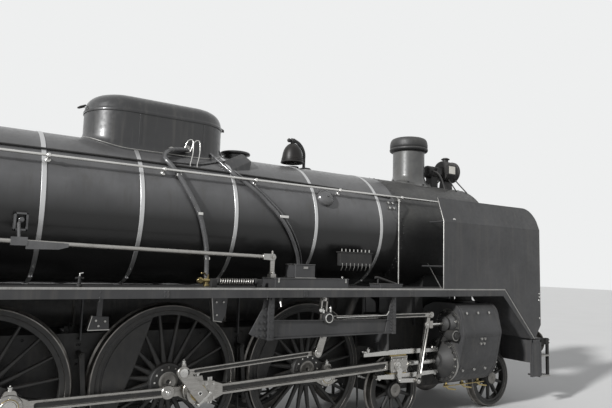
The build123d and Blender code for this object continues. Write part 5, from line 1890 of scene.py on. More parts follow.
@dataclass
class WheelSet:
    """An axle with its two spoked wheels, as one body.

    Attributes:
        name: start of its pieces' names.
        body: the body they ride on.
        node: the CAD node they stand for.
        x: place of the axle.
        radius: tread radius.
        spokes: number of spokes.
        hub: radius of the hub.
        axle: radius of the axle.
        rim: depth of the wheel centre's rim.
        width: width of a spoke at the hub and at the rim.
        chord: distance of the balance weight from the axle, or 0 for none.
    """

    name: str
    body: str
    node: str
    x: float
    radius: float = 0.95
    spokes: int = 20
    hub: float = 0.23
    axle: float = 0.105
    rim: float = 0.055
    width: Point2 = (0.07, 0.038)
    chord: float = 0.0

    def build(self, shop: Shop) -> None:
        """Make the wheelset.

        Args:
            shop: the geometry node trees.
        """
        self.tyres()
        self.centres()
        self.steel()
        values = {
            "Count": self.spokes, "Hub Radius": self.hub - 0.04, "Rim Radius": self.radius - 0.105,
            "Hub Width": self.width[0], "Rim Width": self.width[1], "Thickness": 0.066,
            "First Angle": math.pi / self.spokes,
        }
        start = dots(self.name + "_dots", [(self.x, s * 0.795, self.radius) for s in SIDES], [(0, 0, 1)] * 2)
        shop.spokes.grow(self.name + "_spokes", start, WHEEL_PAINT, self.body, values, angle=60)
        if self.chord:
            points = [(self.x + 0.175 * c, 0.8795, self.radius + 0.175 * s) for c, s in turned(12)]
            title = self.name + "_hub_bolts"
            shop.heads(title, points, OUTWARD, 0.026, 0.014, TURNED_STEEL, self.body, False, SIDES)

    def tyres(self) -> None:
        """Rolled tyres: the flange inside, the coned tread, and the lip that holds the centre."""
        work = Work(self.name + "_tyres", *SIDES)
        section = [
            (0.720, -0.070), (0.720, 0.014), (0.7225, 0.0215), (0.728, 0.027), (0.735, 0.0285), (0.741, 0.0265),
            (0.746, 0.019), (0.751, 0.007), (0.757, 0.0015), (0.770, -0.0005), (0.852, -0.0035), (0.8575, -0.006),
            (0.8595, -0.011), (0.8595, -0.060), (0.858, -0.068), (0.853, -0.0715),
        ]
        rim = [(self.radius + dr, y) for y, dr in section]
        work.lathe(rim, Along.Y, (self.x, self.radius), 120, closed=True)
        work.done(TYRE_STEEL, self.body, slot="wheel_black", angle=25)

    def centres(self) -> None:
        """Cast wheel centres: rim, hub, balance weight and crank boss."""
        work = Work(self.name + "_centres", *SIDES)
        r, h, centre = self.radius, self.hub, (self.x, self.radius)
        seat = r - 0.0705
        inner, bore = seat - self.rim, self.axle + 0.025
        rim = [
            (seat, 0.724), (inner, 0.735), (inner - 0.004, 0.742), (inner - 0.004, 0.84), (inner, 0.847),
            (seat - 0.006, 0.851), (seat, 0.849),
        ]
        work.lathe(rim, Along.Y, centre, 120, closed=True)
        face = [
            (0, 0.70), (h - 0.012, 0.70), (h, 0.712), (h, 0.76), (h + 0.012, 0.775), (h + 0.012, 0.815), (h, 0.83),
            (h, 0.866), (h - 0.008, 0.876), (h - 0.02, 0.88), (bore + 0.005, 0.88), (bore, 0.876), (0, 0.876),
        ]
        work.lathe(face, Along.Y, centre, 64)
        lip = [(r - 0.0685, 0.853), (r - 0.017, 0.853), (r - 0.017, 0.8602), (r - 0.0685, 0.8602)]
        work.lathe(lip, Along.Y, centre, 120, closed=True)
        for side in SIDES if self.chord else ():
            work.sides = (side,)
            self.weight(work, crank(side, self.x))
            work.plate(hull(centre, crank(side, self.x), h - 0.045, 0.158, 20), 0.775, 0.888)
        work.done(WHEEL_PAINT, self.body, bevel=0.006, stands_for=self.node, slot="wheel_black", angle=40)

    def weight(self, work: Work, pin: Point2) -> None:
        """Crescent balance weight opposite a crank pin, its edge dished.

        Args:
            work: the piece that it joins.
            pin: the crank pin.
        """
        away = math.degrees(math.atan2(self.radius - pin[1], self.x - pin[0]))
        outer = self.radius - 0.124
        open_angle = math.degrees(math.acos(self.chord / outer))
        a = math.radians(away)
        for reach, y0, y1, inset in ((outer, 0.754, 0.836, 0.0), (outer - 0.03, 0.836, 0.848, 0.028)):
            half = open_angle - inset * 60
            rim = arc((self.x, self.radius), reach, away - half, away + half, 30)
            sag = self.chord + inset - 0.03
            middle = Vector((self.x + sag * math.cos(a), self.radius + sag * math.sin(a)))
            first, last = Vector(rim[-1]), Vector(rim[0])
            inner = []
            for i in range(1, 12):
                t = i / 12
                spot = first * (1 - t) ** 2 + middle * 2 * t * (1 - t) + last * t**2
                inner.append((spot.x, spot.y))
            work.plate(rim + inner, y0, y1)

    def steel(self) -> None:
        """Axle with its turned ends, and the crank pins."""
        work, ends = Work(self.name + "_axle"), Work(self.name + "_axle_ends", *SIDES)
        a, centre = self.axle, (self.x, self.radius)
        half = [(a - 0.012, 0.55), (a, 0.60), (a, 0.71), (0, 0.71)]
        work.lathe([(r, -y) for r, y in reversed(half)] + half, Along.Y, centre, 40)
        end = [
            (0, 0.87), (a + 0.018, 0.87), (a + 0.018, 0.893), (a + 0.01, 0.897), (a - 0.02, 0.897),
            (a - 0.026, 0.893), (0.03, 0.893), (0.022, 0.886), (0, 0.886),
        ]
        ends.lathe(end, Along.Y, centre, 40)
        tip = [(0, 0.86), (0.09, 0.86), (0.09, 0.903), (0.074, 0.904), (0.074, 0.984), (0.07, 0.988), (0, 0.988)]
        for side in SIDES if self.chord else ():
            work.sides = (side,)
            work.lathe(tip, Along.Y, crank(side, self.x), 40)
        work.done(TURNED_STEEL, self.body, slot="bright_steel")
        ends.done(AXLE_STEEL, self.body)


@dataclass
class CouplingRod:
    """Coupling rod of one side in two fluted lengths, with bushed eyes and oil cups.

    Attributes:
        side: RIGHT or LEFT.
        name: the CAD node.
        body: the body it rides on.
        pitch: distance between axles.
    """

    side: int
    name: str
    body: str
    pitch: float = 2.085

    def build(self, shop: Shop) -> None:
        """Make the rod.

        Args:
            shop: the geometry node trees.
        """
        pins = [crank(self.side, x) for x in (-self.pitch, 0.0, self.pitch)]
        tails = ("_bars", "_flutes", "_bushes", "_pins")
        bar, web, brass, bright = (Work(self.body + tail, self.side) for tail in tails)
        for p, q in zip(pins, pins[1:]):
            fluted(bar, web, p, q, 0.113, (0.92, 0.97), 0.066, 0.014, (0.24, 0.24))
        boss = ((-0.2, 0.056), (0.2, 0.056), (0.075, 0.11), (0.055, 0.18), (-0.055, 0.18), (-0.075, 0.11))
        belly = ((-0.2, -0.057), (0.2, -0.057), (0.06, -0.13), (-0.06, -0.13))
        for x, z in pins:
            bar.ring((x, z), 0.14, 0.0775, 0.905, 0.985, edge=0.008)
            for outline in (belly, boss):
                bar.plate(rounded([(x + dx, z + dz) for dx, dz in outline], 0.03), 0.921, 0.969)
            brass.ring((x, z), 0.096, 0.0765, 0.902, 0.9875, edge=0.002)
            bright.oil_cup(x, 0.945, z + 0.178, 0.026, 0.045)
        for x, z in (pins[0], pins[2]):
            bright.ring((x, z), 0.088, 0.076, 0.9876, 0.994, edge=0.002)
        knuckle = (pins[1][0] - 0.33, pins[1][1])
        bar.disc(knuckle, 0.085, 0.906, 0.984, edge=0.006)
        bright.disc(knuckle, 0.034, 0.9, 0.996)
        bright.nut(knuckle, 0.058, 0.984, 1.004)
        bar.done(ROD_STEEL, self.body, bevel=0.003, stands_for=self.name, slot="bright_steel")
        web.done(FRAME_PAINT, self.body)
        brass.done(BRASS, self.body)
        bright.done(TURNED_STEEL, self.body)
        ways = turned(12)[1::2]
        points = [(x + 0.118 * c, 0.985, z + 0.118 * s) for x, z in (pins[0], pins[2]) for c, s in ways]
        title = self.body + "_studs"
        shop.heads(title, points, OUTWARD, 0.024, 0.012, TURNED_STEEL, self.body, False, (self.side,))


@dataclass
class MainMotion:
    """Connecting rods, return cranks, eccentric rods, crossheads and slide bars, as they lie at rest.

    Attributes:
        rod: length of a connecting rod; not used.
        cylinder: height and place across of the cylinder's axis.
        foot: pin of the expansion link's foot.
    """

    rod: float = 3.29
    cylinder: Point2 = (0.95, 1.09)
    foot: Point2 = (1.985, 1.24)

    def build(self, shop: Shop) -> None:
        """Make both sides.

        Args:
            shop: the geometry node trees.
        """
        for side, name in NAMED_SIDES:
            self.connecting(side, name)
            self.eccentric(side, name)
            self.crosshead(side, name, shop)
            self.slides(side, name)

    def small_end(self, side: int) -> Point2:
        """Pin of the small end in the crosshead."""
        return ({RIGHT: 3.593, LEFT: 3.387}[side], self.cylinder[0])

    def connecting(self, side: int, name: str) -> None:
        """Connecting rod with its strap-and-cotter big end.

        Args:
            side: RIGHT or LEFT.
            name: the side's name.
        """
        big, small = crank(side), self.small_end(side)
        tails = ("", "flutes_", "fittings_", "brasses_")
        bar, web, bright, brass = (Work("connecting_rod_" + tail + name, side) for tail in tails)
        fluted(bar, web, big, small, 0.13, (1.055, 1.125), 0.078, 0.017, (0.29, 0.2))
        at = rod_line(big, small)
        strap = arc((0, 0), 0.150, 100, 260, 14)
        for outline, y0, y1 in (
            ([(0.215, 0.118), (0.04, 0.14), *strap, (0.04, -0.14), (0.215, -0.118)], 1.044, 1.136),
            ([(0.21, 0.112), (0.21, -0.112), (0.33, -0.066), (0.33, 0.066)], 1.05, 1.13),
            ([(-0.07, 0.13), (0.07, 0.13), (0.055, 0.2), (-0.055, 0.2)], 1.056, 1.124),
        ):
            bar.plate([at(u, v) for u, v in outline], y0, y1)
        brass.ring(big, 0.105, 0.0715, 1.04, 1.14, edge=0.003)
        for u in (0.15, 0.185):
            wedge = [(u - 0.012, -0.16), (u + 0.014, -0.16), (u + 0.016, 0.165), (u - 0.014, 0.165)]
            bright.plate([at(a, b) for a, b in wedge], 1.082, 1.098)
        for v in (0.095, -0.095):
            bright.nut(at(0.1, v), 0.045, 1.136, 1.15)
            bright.nut(at(0.2, v * 0.9), 0.036, 1.136, 1.148)
        top = at(0.0, 0.2)
        bright.oil_cup(top[0], 1.09, top[1] - 0.002, 0.03, 0.045)
        bright.disc(big, 0.0705, 1.141, 1.1505)
        bar.ring(small, 0.096, 0.052, 1.04, 1.14, edge=0.006)
        bright.disc(small, 0.051, 1.03, 1.15)
        bar.done(ROD_STEEL, bevel=0.004, stands_for="connecting_rods", slot="bright_steel")
        web.done(FRAME_PAINT)
        bright.done(TURNED_STEEL, bevel=0.0015)
        brass.done(BRASS)

    def eccentric(self, side: int, name: str) -> None:
        """Return crank clamped on the main pin, and the fluted eccentric rod to the link.

        Args:
            side: RIGHT or LEFT.
            name: the side's name.
        """
        big, pin = crank(side), crank(side, 0.0, 0.174, 90.0)
        at = rod_line(big, pin)
        arm = Work("return_crank_" + name, side)
        arm.plate(hull(big, pin, 0.082, 0.068, 14), 1.152, 1.198)
        clamp = ((-0.105, -0.085), (0.085, -0.085), (0.11, 0.085), (-0.105, 0.085))
        arm.plate(rounded([at(u, v) for u, v in clamp], 0.02), 1.15, 1.2)
        arm.disc(pin, 0.038, 1.19, 1.2055)
        arm.done(ROD_STEEL, bevel=0.005, stands_for="return_cranks", slot="bright_steel")
        marks = Work("return_crank_bolts_" + name, side)
        marks.flat(at(-0.092, -0.1), at(-0.092, 0.1), 0.026, 1.158, 1.206)
        for v in (-0.1, 0.1):
            marks.disc(at(-0.092, v), 0.019, 1.16, 1.21)
        marks.ring(big, 0.03, 0.016, 1.199, 1.2035)
        marks.done(TURNED_STEEL, bevel=0.002)
        hole = Work("return_crank_centre_" + name, side)
        hole.disc(big, 0.0165, 1.198, 1.2012)
        hole.done(BLACK_IRON)
        rod, web, cups = (Work("eccentric_rod_" + tail + name, side) for tail in ("", "flutes_", "cups_"))
        fluted(rod, web, pin, self.foot, 0.062, (1.206, 1.246), 0.036, 0.01, (0.13, 0.12))
        rod.ring(pin, 0.078, 0.0385, 1.2062, 1.246, edge=0.005)
        rod.ring(self.foot, 0.055, 0.031, 1.206, 1.246, edge=0.004)
        x, z = pin
        neck = [(x - 0.03, z + 0.06), (x + 0.03, z + 0.06), (x + 0.024, z + 0.11), (x - 0.024, z + 0.11)]
        rod.plate(neck, 1.211, 1.241)
        cups.oil_cup(x, 1.226, z + 0.108, 0.02, 0.04)
        cups.oil_cup(self.foot[0], 1.226, self.foot[1] + 0.052, 0.014, 0.03)
        cap = [(0, 1.2), (0.038, 1.2), (0.038, 1.24), (0.052, 1.246), (0.052, 1.258), (0.04, 1.262), (0, 1.262)]
        cups.lathe(cap, Along.Y, pin, 28)
        rod.done(ROD_STEEL, bevel=0.003, stands_for="eccentric_rods", slot="bright_steel")
        web.done(FRAME_PAINT)
        cups.done(TURNED_STEEL)

    def crosshead(self, side: int, name: str, shop: Shop) -> None:
        """Cast crosshead on its slippers, hollow for the small end, with the piston rod and union link.

        Args:
            side: RIGHT or LEFT.
            name: the side's name.
            shop: the geometry node trees.
        """
        x, z = self.small_end(side)
        work, bright, shoe = (Work("crosshead_" + tail + name, side) for tail in ("", "steel_", "slippers_"))
        cheek = [
            (x - 0.15, 0.85), (x - 0.09, 0.835), (x + 0.12, 0.835), (x + 0.2, 0.885), (x + 0.2, 1.015),
            (x + 0.12, 1.065), (x - 0.09, 1.065), (x - 0.15, 1.05),
        ]
        for y0, y1 in ((1.006, 1.036), (1.144, 1.174)):
            work.plate(rounded(cheek, 0.03), y0, y1)
        for near, far in ((1.05, 1.085), (0.85, 0.832)):
            work.plate([(x - 0.15, near), (x + 0.2, near), (x + 0.19, far), (x - 0.14, far)], 1.006, 1.174)
        neck = [(0, 0.105), (0.085, 0.105), (0.085, 0.2), (0.075, 0.225), (0.062, 0.26), (0, 0.26)]
        work.lathe([(r, x + w) for r, w in neck], Along.X, (1.09, z), 32)
        work.ring((x, z), 0.086, 0.05, 1.17, 1.185)
        for z0, z1 in ((1.085, 1.1045), (0.8155, 0.833)):
            shoe.block(x - 0.15, x + 0.19, 1.03, 1.15, z0, z1)
        bright.disc((x, z), 0.05, 1.165, 1.186)
        bright.nut((x, z), 0.075, 1.184, 1.2)
        bright.lathe([(0, x + 0.2), (0.045, x + 0.2), (0.045, 4.52), (0, 4.52)], Along.X, (1.09, z), 32)
        bright.block(x + 0.15, x + 0.165, 1.035, 1.145, z - 0.11, z + 0.11)
        foot, arm = ValveGear.foot, (x + 0.02, 0.72)
        bright.plate(hull((x + 0.02, 0.86), arm, 0.05, 0.032), 1.175, 1.195)
        bright.plate(hull(arm, foot, 0.03, 0.03), 1.196, 1.214)
        bright.disc(arm, 0.02, 1.17, 1.222)
        bright.disc(foot, 0.02, 1.194, 1.262)
        work.done(ROD_STEEL, bevel=0.005, stands_for="crossheads", slot="bright_steel")
        shoe.done(BRASS, bevel=0.002)
        bright.done(TURNED_STEEL, bevel=0.0015)
        points = [(x - 0.11 + 0.09 * i, 1.174, z) for i in range(4) for z in (1.04, 0.862)]
        title = "crosshead_bolts_" + name
        shop.heads(title, points, OUTWARD, 0.028, 0.014, TURNED_STEEL, round_head=False, sides=(side,))

    def slides(self, side: int, name: str) -> None:
        """Slide bars above and below the crosshead, with their end bolts.

        Args:
            side: RIGHT or LEFT.
            name: the side's name.
        """
        bars, ends = Work("slide_bars_" + name, side), Work("slide_bar_bolts_" + name, side)
        for x, near, end, far in ((2.93, 1.1055, 1.16, 1.182), (3.2, 0.8145, 0.76, 0.738)):
            bars.plate([(x, near), (4.5, near), (4.5, end), (3.9, far), (3.5, far), (x, end)], 1.036, 1.144)
        bars.done(TURNED_STEEL, bevel=0.003, stands_for="slide_bars", slot="bright_steel")
        for x, near, far in ((2.98, 1.158, 1.182), (4.45, 1.16, 1.184), (3.26, 0.762, 0.74), (4.45, 0.762, 0.74)):
            for y in (1.06, 1.12):
                ends.nut((x, y), 0.045, near, far, Along.Z)
        ends.oil_cup(3.05, 1.09, 1.165, 0.03, 0.055)
        ends.done(TURNED_STEEL, bevel=0.001)


@dataclass
class ValveGear:
    """Expansion links, radius rods, combination levers and valve spindles, at rest.

    Attributes:
        link: trunnion of the expansion link; not used.
        top: pin at the combination lever's head.
        foot: pin at its foot.
        valve: height and place across of the valve's axis; not used.
    """

    link: Point2 = (2.06, 1.73)
    top: Point2 = (4.18, 1.72)
    foot: Point2 = (3.96, 0.70)
    valve: Point2 = (1.56, 1.23)

    def build(self, shop: Shop) -> None:
        """Make both sides.

        Args:
            shop: the geometry node trees; not used.
        """
        for side, name in NAMED_SIDES:
            self.links(side, name)
            self.rods(side, name)

    def links(self, side: int, name: str) -> None:
        """Slotted link between cover plates, on its trunnion.

        Args:
            side: RIGHT or LEFT.
            name: the side's name.
        """
        centre = (4.13, 1.73)
        work, bright = Work("expansion_link_" + name, side), Work("expansion_link_pins_" + name, side)
        spread = math.degrees(0.28 / 2.07)
        for r0, r1 in ((2.013, 2.042), (2.098, 2.127)):
            inner = arc(centre, r0, 180 + spread, 180 - spread, 20)
            work.plate(arc(centre, r1, 180 - spread, 180 + spread, 20) + inner, 1.263, 1.311)
        for way in (-1, 1):
            a0, a1 = 180 + way * spread * 0.8, 180 + way * spread
            work.plate(arc(centre, 2.127, a0, a1, 3) + arc(centre, 2.013, a1, a0, 3), 1.263, 1.311)
        work.plate(arc(centre, 2.12, 178.6, 181.4, 4) + arc(centre, 2.02, 181.4, 178.6, 4), 1.305, 1.318)
        work.plate(hull((2.07, 1.475), (1.985, 1.24), 0.055, 0.058), 1.264, 1.31)
        work.done(ROD_STEEL, bevel=0.004, stands_for="expansion_links", slot="bright_steel")
        bright.disc((2.06, 1.73), 0.045, 1.31, 1.378)
        bright.disc((1.985, 1.24), 0.03, 1.247, 1.325)
        bright.nut((1.985, 1.24), 0.05, 1.311, 1.33)
        for i in (-1, 1):
            a = math.radians(180 + i * spread * 0.9)
            bright.nut((centre[0] + 2.07 * math.cos(a), centre[1] + 2.07 * math.sin(a)), 0.04, 1.311, 1.325)
        bright.done(TURNED_STEEL)

    def rods(self, side: int, name: str) -> None:
        """Radius rod, combination lever and spindle.

        Args:
            side: RIGHT or LEFT.
            name: the side's name.
        """
        rod, web, bright = (Work("valve_rod_" + tail + name, side) for tail in ("", "flutes_", "pins_"))
        fluted(rod, web, (2.14, 1.72), self.top, 0.06, (1.27, 1.304), 0.034, 0.009, (0.1, 0.12))
        rod.plate(hull((2.06, 1.72), (2.2, 1.72), 0.04, 0.03), 1.272, 1.302)
        rod.ring(self.top, 0.05, 0.024, 1.262, 1.312, edge=0.004)
        fluted(rod, web, self.top, self.foot, 0.07, (1.215, 1.255), 0.038, 0.009, (0.22, 0.1))
        rod.ring(self.top, 0.055, 0.024, 1.215, 1.261, edge=0.004)
        rod.ring(self.foot, 0.05, 0.021, 1.215, 1.255, edge=0.004)
        rod.disc((4.145, 1.56), 0.052, 1.216, 1.254)
        rod.block(4.182, 4.258, 1.2, 1.26, 1.502, 1.618)
        bright.disc(self.top, 0.024, 1.205, 1.32)
        bright.nut(self.top, 0.044, 1.312, 1.33)
        bright.disc((4.145, 1.56), 0.022, 1.205, 1.264)
        bright.lathe([(0, 4.25), (0.032, 4.25), (0.032, 4.5), (0, 4.5)], Along.X, (1.23, 1.56), 28)
        rod.done(ROD_STEEL, bevel=0.003, stands_for="valve_rods", slot="bright_steel")
        web.done(FRAME_PAINT)
        bright.done(TURNED_STEEL)


@dataclass
class MotionGirders:
    """Bolted girders that hang from the boards and carry links and slide bars."""

    out: float = 1.44
    boss: Point2 = (2.06, 1.73)

    def build(self, shop: Shop) -> None:
        """Make both girders.

        Args:
            shop: the geometry node trees.
        """
        for side, name in NAMED_SIDES:
            self.girder(side, name)
            self.bearing(side, name)
            self.bolts(side, name, shop)

    def girder(self, side: int, name: str) -> None:
        """Posts, web, ledge, gussets and the cross plate of one side.

        Args:
            side: RIGHT or LEFT.
            name: the side's name.
        """
        out = self.out
        work = Work("motion_girder_" + name, side)
        for x0, x1 in ((1.1, 1.175), (3.225, 3.29)):
            work.block(x0, x1, 1.316, out - 0.012, 1.4705, 2.1245)
            work.block(x0 - 0.006, x1 + 0.006, out - 0.013, out, 1.4705, 2.1245)
        work.plate([(1.174, 1.725), (3.226, 1.68), (3.226, 1.5), (1.174, 1.5)], 1.381, 1.409)
        work.flat((1.176, 1.7205), (3.224, 1.6755), 0.011, 1.385, out - 0.002)
        work.block(1.174, 3.226, 1.341, out - 0.002, 1.4805, 1.4995)
        work.plate(
            [(0.849, 1.56), (0.9, 1.53), (1.101, 1.475), (1.101, 2.03), (1.06, 2.03), (1.02, 1.85)], 1.371, 1.389,
        )
        work.plate([(3.09, 1.5), (3.226, 1.5), (3.226, 1.97), (3.205, 1.97)], 1.412, 1.429)
        work.block(3.226, 3.264, 0.6405, 1.319, 1.201, 1.639)
        work.block(3.2, 3.29, 1.036, 1.144, 1.184, 1.3)
        for x in (1.52, 1.8, 2.33, 2.76):
            work.block(x - 0.006, x + 0.006, 1.345, 1.382, 1.499, 1.705)
        work.done(PLATE_PAINT, bevel=0.003, stands_for="motion_girders", slot="frame_black")

    def bearing(self, side: int, name: str) -> None:
        """The link's bearing with its ring, oil pipe and cups.

        Args:
            side: RIGHT or LEFT.
            name: the side's name.
        """
        ring = Work("link_bearing_" + name, side)
        ring.lathe(
            [
                (0, 1.379), (0.088, 1.379), (0.088, 1.425), (0.08, 1.432), (0.055, 1.44), (0.052, 1.44),
                (0.048, 1.43), (0, 1.43),
            ],
            Along.Y, self.boss, 36,
        )
        ring.ring(self.boss, 0.062, 0.05, 1.436, 1.446)
        ring.done(BLACK_IRON)
        lip = Work("link_bearing_ring_" + name, side)
        lip.ring(self.boss, 0.066, 0.052, 1.432, 1.448)
        lip.tube([(2.2, 1.42, 1.735), (3.12, 1.42, 1.745)], 0.008)
        lip.tube([(3.12, 1.42, 1.745), (3.17, 1.42, 1.80)], 0.01)
        lip.oil_cup(1.98, 1.41, 1.81, 0.02, 0.04)
        lip.oil_cup(2.1, 1.41, 1.81, 0.014, 0.07)
        lip.disc((1.93, 1.84), 0.028, 1.4, 1.43)
        lip.done(RAIL_STEEL)

    def bolts(self, side: int, name: str, shop: Shop) -> None:
        """Bolts of the gusset, the posts and the front bracket.

        Args:
            side: RIGHT or LEFT.
            name: the side's name.
            shop: the geometry node trees.
        """
        points = []
        for row in range(6):
            z = 1.53 + 0.085 * row
            for k in range(3):
                x = 1.075 - k * 0.062
                if x > 1.09 - (2.06 - z) * 0.42 + 0.012:
                    points.append((x, 1.389, z))
        for i in range(7):
            points.append((1.137, self.out, 1.52 + 0.095 * i))
            points.append((3.257, self.out, 1.52 + 0.095 * i))
        for i in range(9):
            points.append((3.2, 1.429, 1.53 + 0.045 * i))
        shop.heads("girder_bolts_" + name, points, OUTWARD, 0.034, 0.017, PLATE_PAINT, round_head=False, sides=(side,))


@dataclass
class Cylinders:
    """Cylinders with their valve chests in one lagging each, with covers, studs and drain cocks.

    Attributes:
        x: ends of the lagging.
        casing: outline of the lagging, |y| and z.
    """

    x: Point2 = (4.66, 5.6)
    casing: tuple[Point2, ...] = (
        (0.64, 1.15), (0.64, 1.8), (0.9, 1.9), (1.36, 1.9), (1.47, 1.79), (1.55, 1.44), (1.55, 1.4),
        (1.5, 1.18), (1.44, 0.9), (1.32, 0.7), (1.18, 0.59), (1.0, 0.59), (0.86, 0.7), (0.78, 0.9),
    )
    covers: tuple[tuple[float, float, float, float, float], ...] = (
        (1.09, 0.95, 0.345, 4.66, 4.5), (1.09, 0.95, 0.33, 5.6, 5.64), (1.23, 1.56, 0.235, 4.66, 4.56),
        (1.23, 1.56, 0.235, 5.6, 5.68),
    )

    def build(self, shop: Shop) -> None:
        """Make both cylinders.

        Args:
            shop: the geometry node trees.
        """
        for side, name in NAMED_SIDES:
            self.lagging(side, name, shop)
            self.ends(side, name, shop)
            self.fittings(side, name)

    def lagging(self, side: int, name: str, shop: Shop) -> None:
        """Sheet lagging in three bands, its seam and its screws.

        Args:
            side: RIGHT or LEFT.
            name: the side's name.
            shop: the geometry node trees.
        """
        outline = rounded(self.casing, 0.07, 5)
        small = [(y - 0.006 * (1 if abs(y) > 1.1 else -1), z) for y, z in outline]
        lagging = Work("cylinder_lagging_" + name, side)
        x0, x1 = self.x
        for a, b in ((x0, x0 + 0.05), (x0 + 0.054, x1 - 0.054), (x1 - 0.05, x1)):
            lagging.prism(outline, Along.X, a, b)
        lagging.prism(small, Along.X, x0 + 0.04, x1 - 0.04)
        lagging.done(PLATE_PAINT, bevel=0.004, stands_for="cylinders", slot="satin_black")
        sheet, ways = [], []
        for x in (4.79, 5.065, 5.34):
            sheet.append((x, 1.482, 1.742))
            ways.append((0, 0.97, 0.22))
            sheet.append((x, 1.4, 0.822))
            ways.append((0, 0.9, -0.4))
        for z, y in ((1.25, 1.5165), (1.33, 1.5345)):
            for x in (5.1, 5.18):
                sheet.append((x, y, z))
                ways.append((0, 1, -0.2))
        shop.heads("lagging_screws_" + name, sheet, ways, 0.048, 0.02, EDGE_STEEL, round_head=False, sides=(side,))
        seam = Work("lagging_seam_" + name, side)
        seam.block(x0 + 0.02, x1 - 0.02, 1.535, 1.5485, 1.366, 1.378)
        seam.done(PLATE_PAINT, bevel=0.002)

    def ends(self, side: int, name: str, shop: Shop) -> None:
        """Covers with their rims and studs, the glands and the elbow of the exhaust.

        Args:
            side: RIGHT or LEFT.
            name: the side's name.
            shop: the geometry node trees.
        """
        iron, rims = Work("cylinder_covers_" + name, side), Work("cylinder_cover_rims_" + name, side)
        studs, aims = [], []
        for y, z, r, a, b in self.covers:
            d = math.copysign(1.0, b - a)
            rim = min(abs(b - a), 0.05)
            profile = [
                (0, a - d * 0.01), (r, a - d * 0.01), (r, a + d * 0.028), (r - 0.006, a + d * 0.034),
                (r - 0.055, a + d * 0.036), (r - 0.07, a + d * rim), (r * 0.45, b - d * 0.004), (r * 0.4, b), (0, b),
            ]
            iron.lathe(profile, Along.X, (y, z), 56)
            count = 18 if r > 0.3 else 12
            for i in range(count):
                t = math.tau * (i + 0.5) / count
                studs.append((a + d * 0.034, y + (r - 0.03) * math.cos(t), z + (r - 0.03) * math.sin(t)))
                aims.append((d, 0, 0))
        iron.lathe(
            [(0, 4.57), (0.12, 4.57), (0.12, 4.53), (0.085, 4.515), (0.06, 4.5), (0.034, 4.5), (0, 4.5)], Along.X,
            (1.23, 1.56), 36,
        )
        iron.lathe(
            [(0, 4.52), (0.1, 4.52), (0.1, 4.49), (0.075, 4.475), (0.06, 4.455), (0.0465, 4.455), (0, 4.46)],
            Along.X, (1.09, 0.95), 36,
        )
        iron.disc((4.56, 1.39), 0.078, 1.3, 1.47)
        iron.disc((4.56, 1.39), 0.045, 1.47, 1.5)
        for y, z, r, a, _ in self.covers[::2]:
            ring = [(r - 0.004, a - 0.03), (r + 0.005, a - 0.03), (r + 0.005, a + 0.005), (r - 0.004, a + 0.005)]
            rims.lathe(ring, Along.X, (y, z), 56, closed=True)
        rims.lathe(
            [(0.07, 1.466), (0.082, 1.466), (0.082, 1.476), (0.07, 1.476)], Along.Y, (4.56, 1.39), 32, closed=True,
        )
        rims.done(EDGE_STEEL)
        iron.tube([(4.57, 1.2, 1.3), (4.57, 1.38, 1.38)], 0.04, 14)
        iron.done(BLACK_IRON, bevel=0.002)
        shop.heads("cover_studs_" + name, studs, aims, 0.04, 0.026, TURNED_STEEL, round_head=False, sides=(side,))

    def fittings(self, side: int, name: str) -> None:
        """Steam pipe into the boards, and the drain cocks on their rod.

        Args:
            side: RIGHT or LEFT.
            name: the side's name.
        """
        pipe = Work("steam_pipe_" + name, side)
        pipe.lathe(
            [
                (0, 1.89), (0.2, 1.89), (0.2, 1.925), (0.155, 1.93), (0.14, 1.955), (0.14, 2.06), (0.18, 2.065),
                (0.18, 2.124), (0, 2.124),
            ],
            Along.Z, (5.16, 1.1), 36,
        )
        pipe.done(BLACK_IRON, bevel=0.002)
        cocks = Work("drain_cocks_" + name, side)
        for x in (4.74, 5.13, 5.52):
            cocks.disc((x, 1.09), 0.022, 0.6, 0.5, Along.Z, 16)
            cocks.disc((x, 0.53), 0.02, 1.05, 1.14)
            cocks.tube([(x, 1.09, 0.51), (x + 0.06, 1.09, 0.47), (x + 0.2, 1.12, 0.45)], 0.014, 10)
        cocks.tube([(4.6, 1.16, 0.535), (5.6, 1.16, 0.535)], 0.009)
        cocks.done(BRASS)


# Running boards and what stands on them


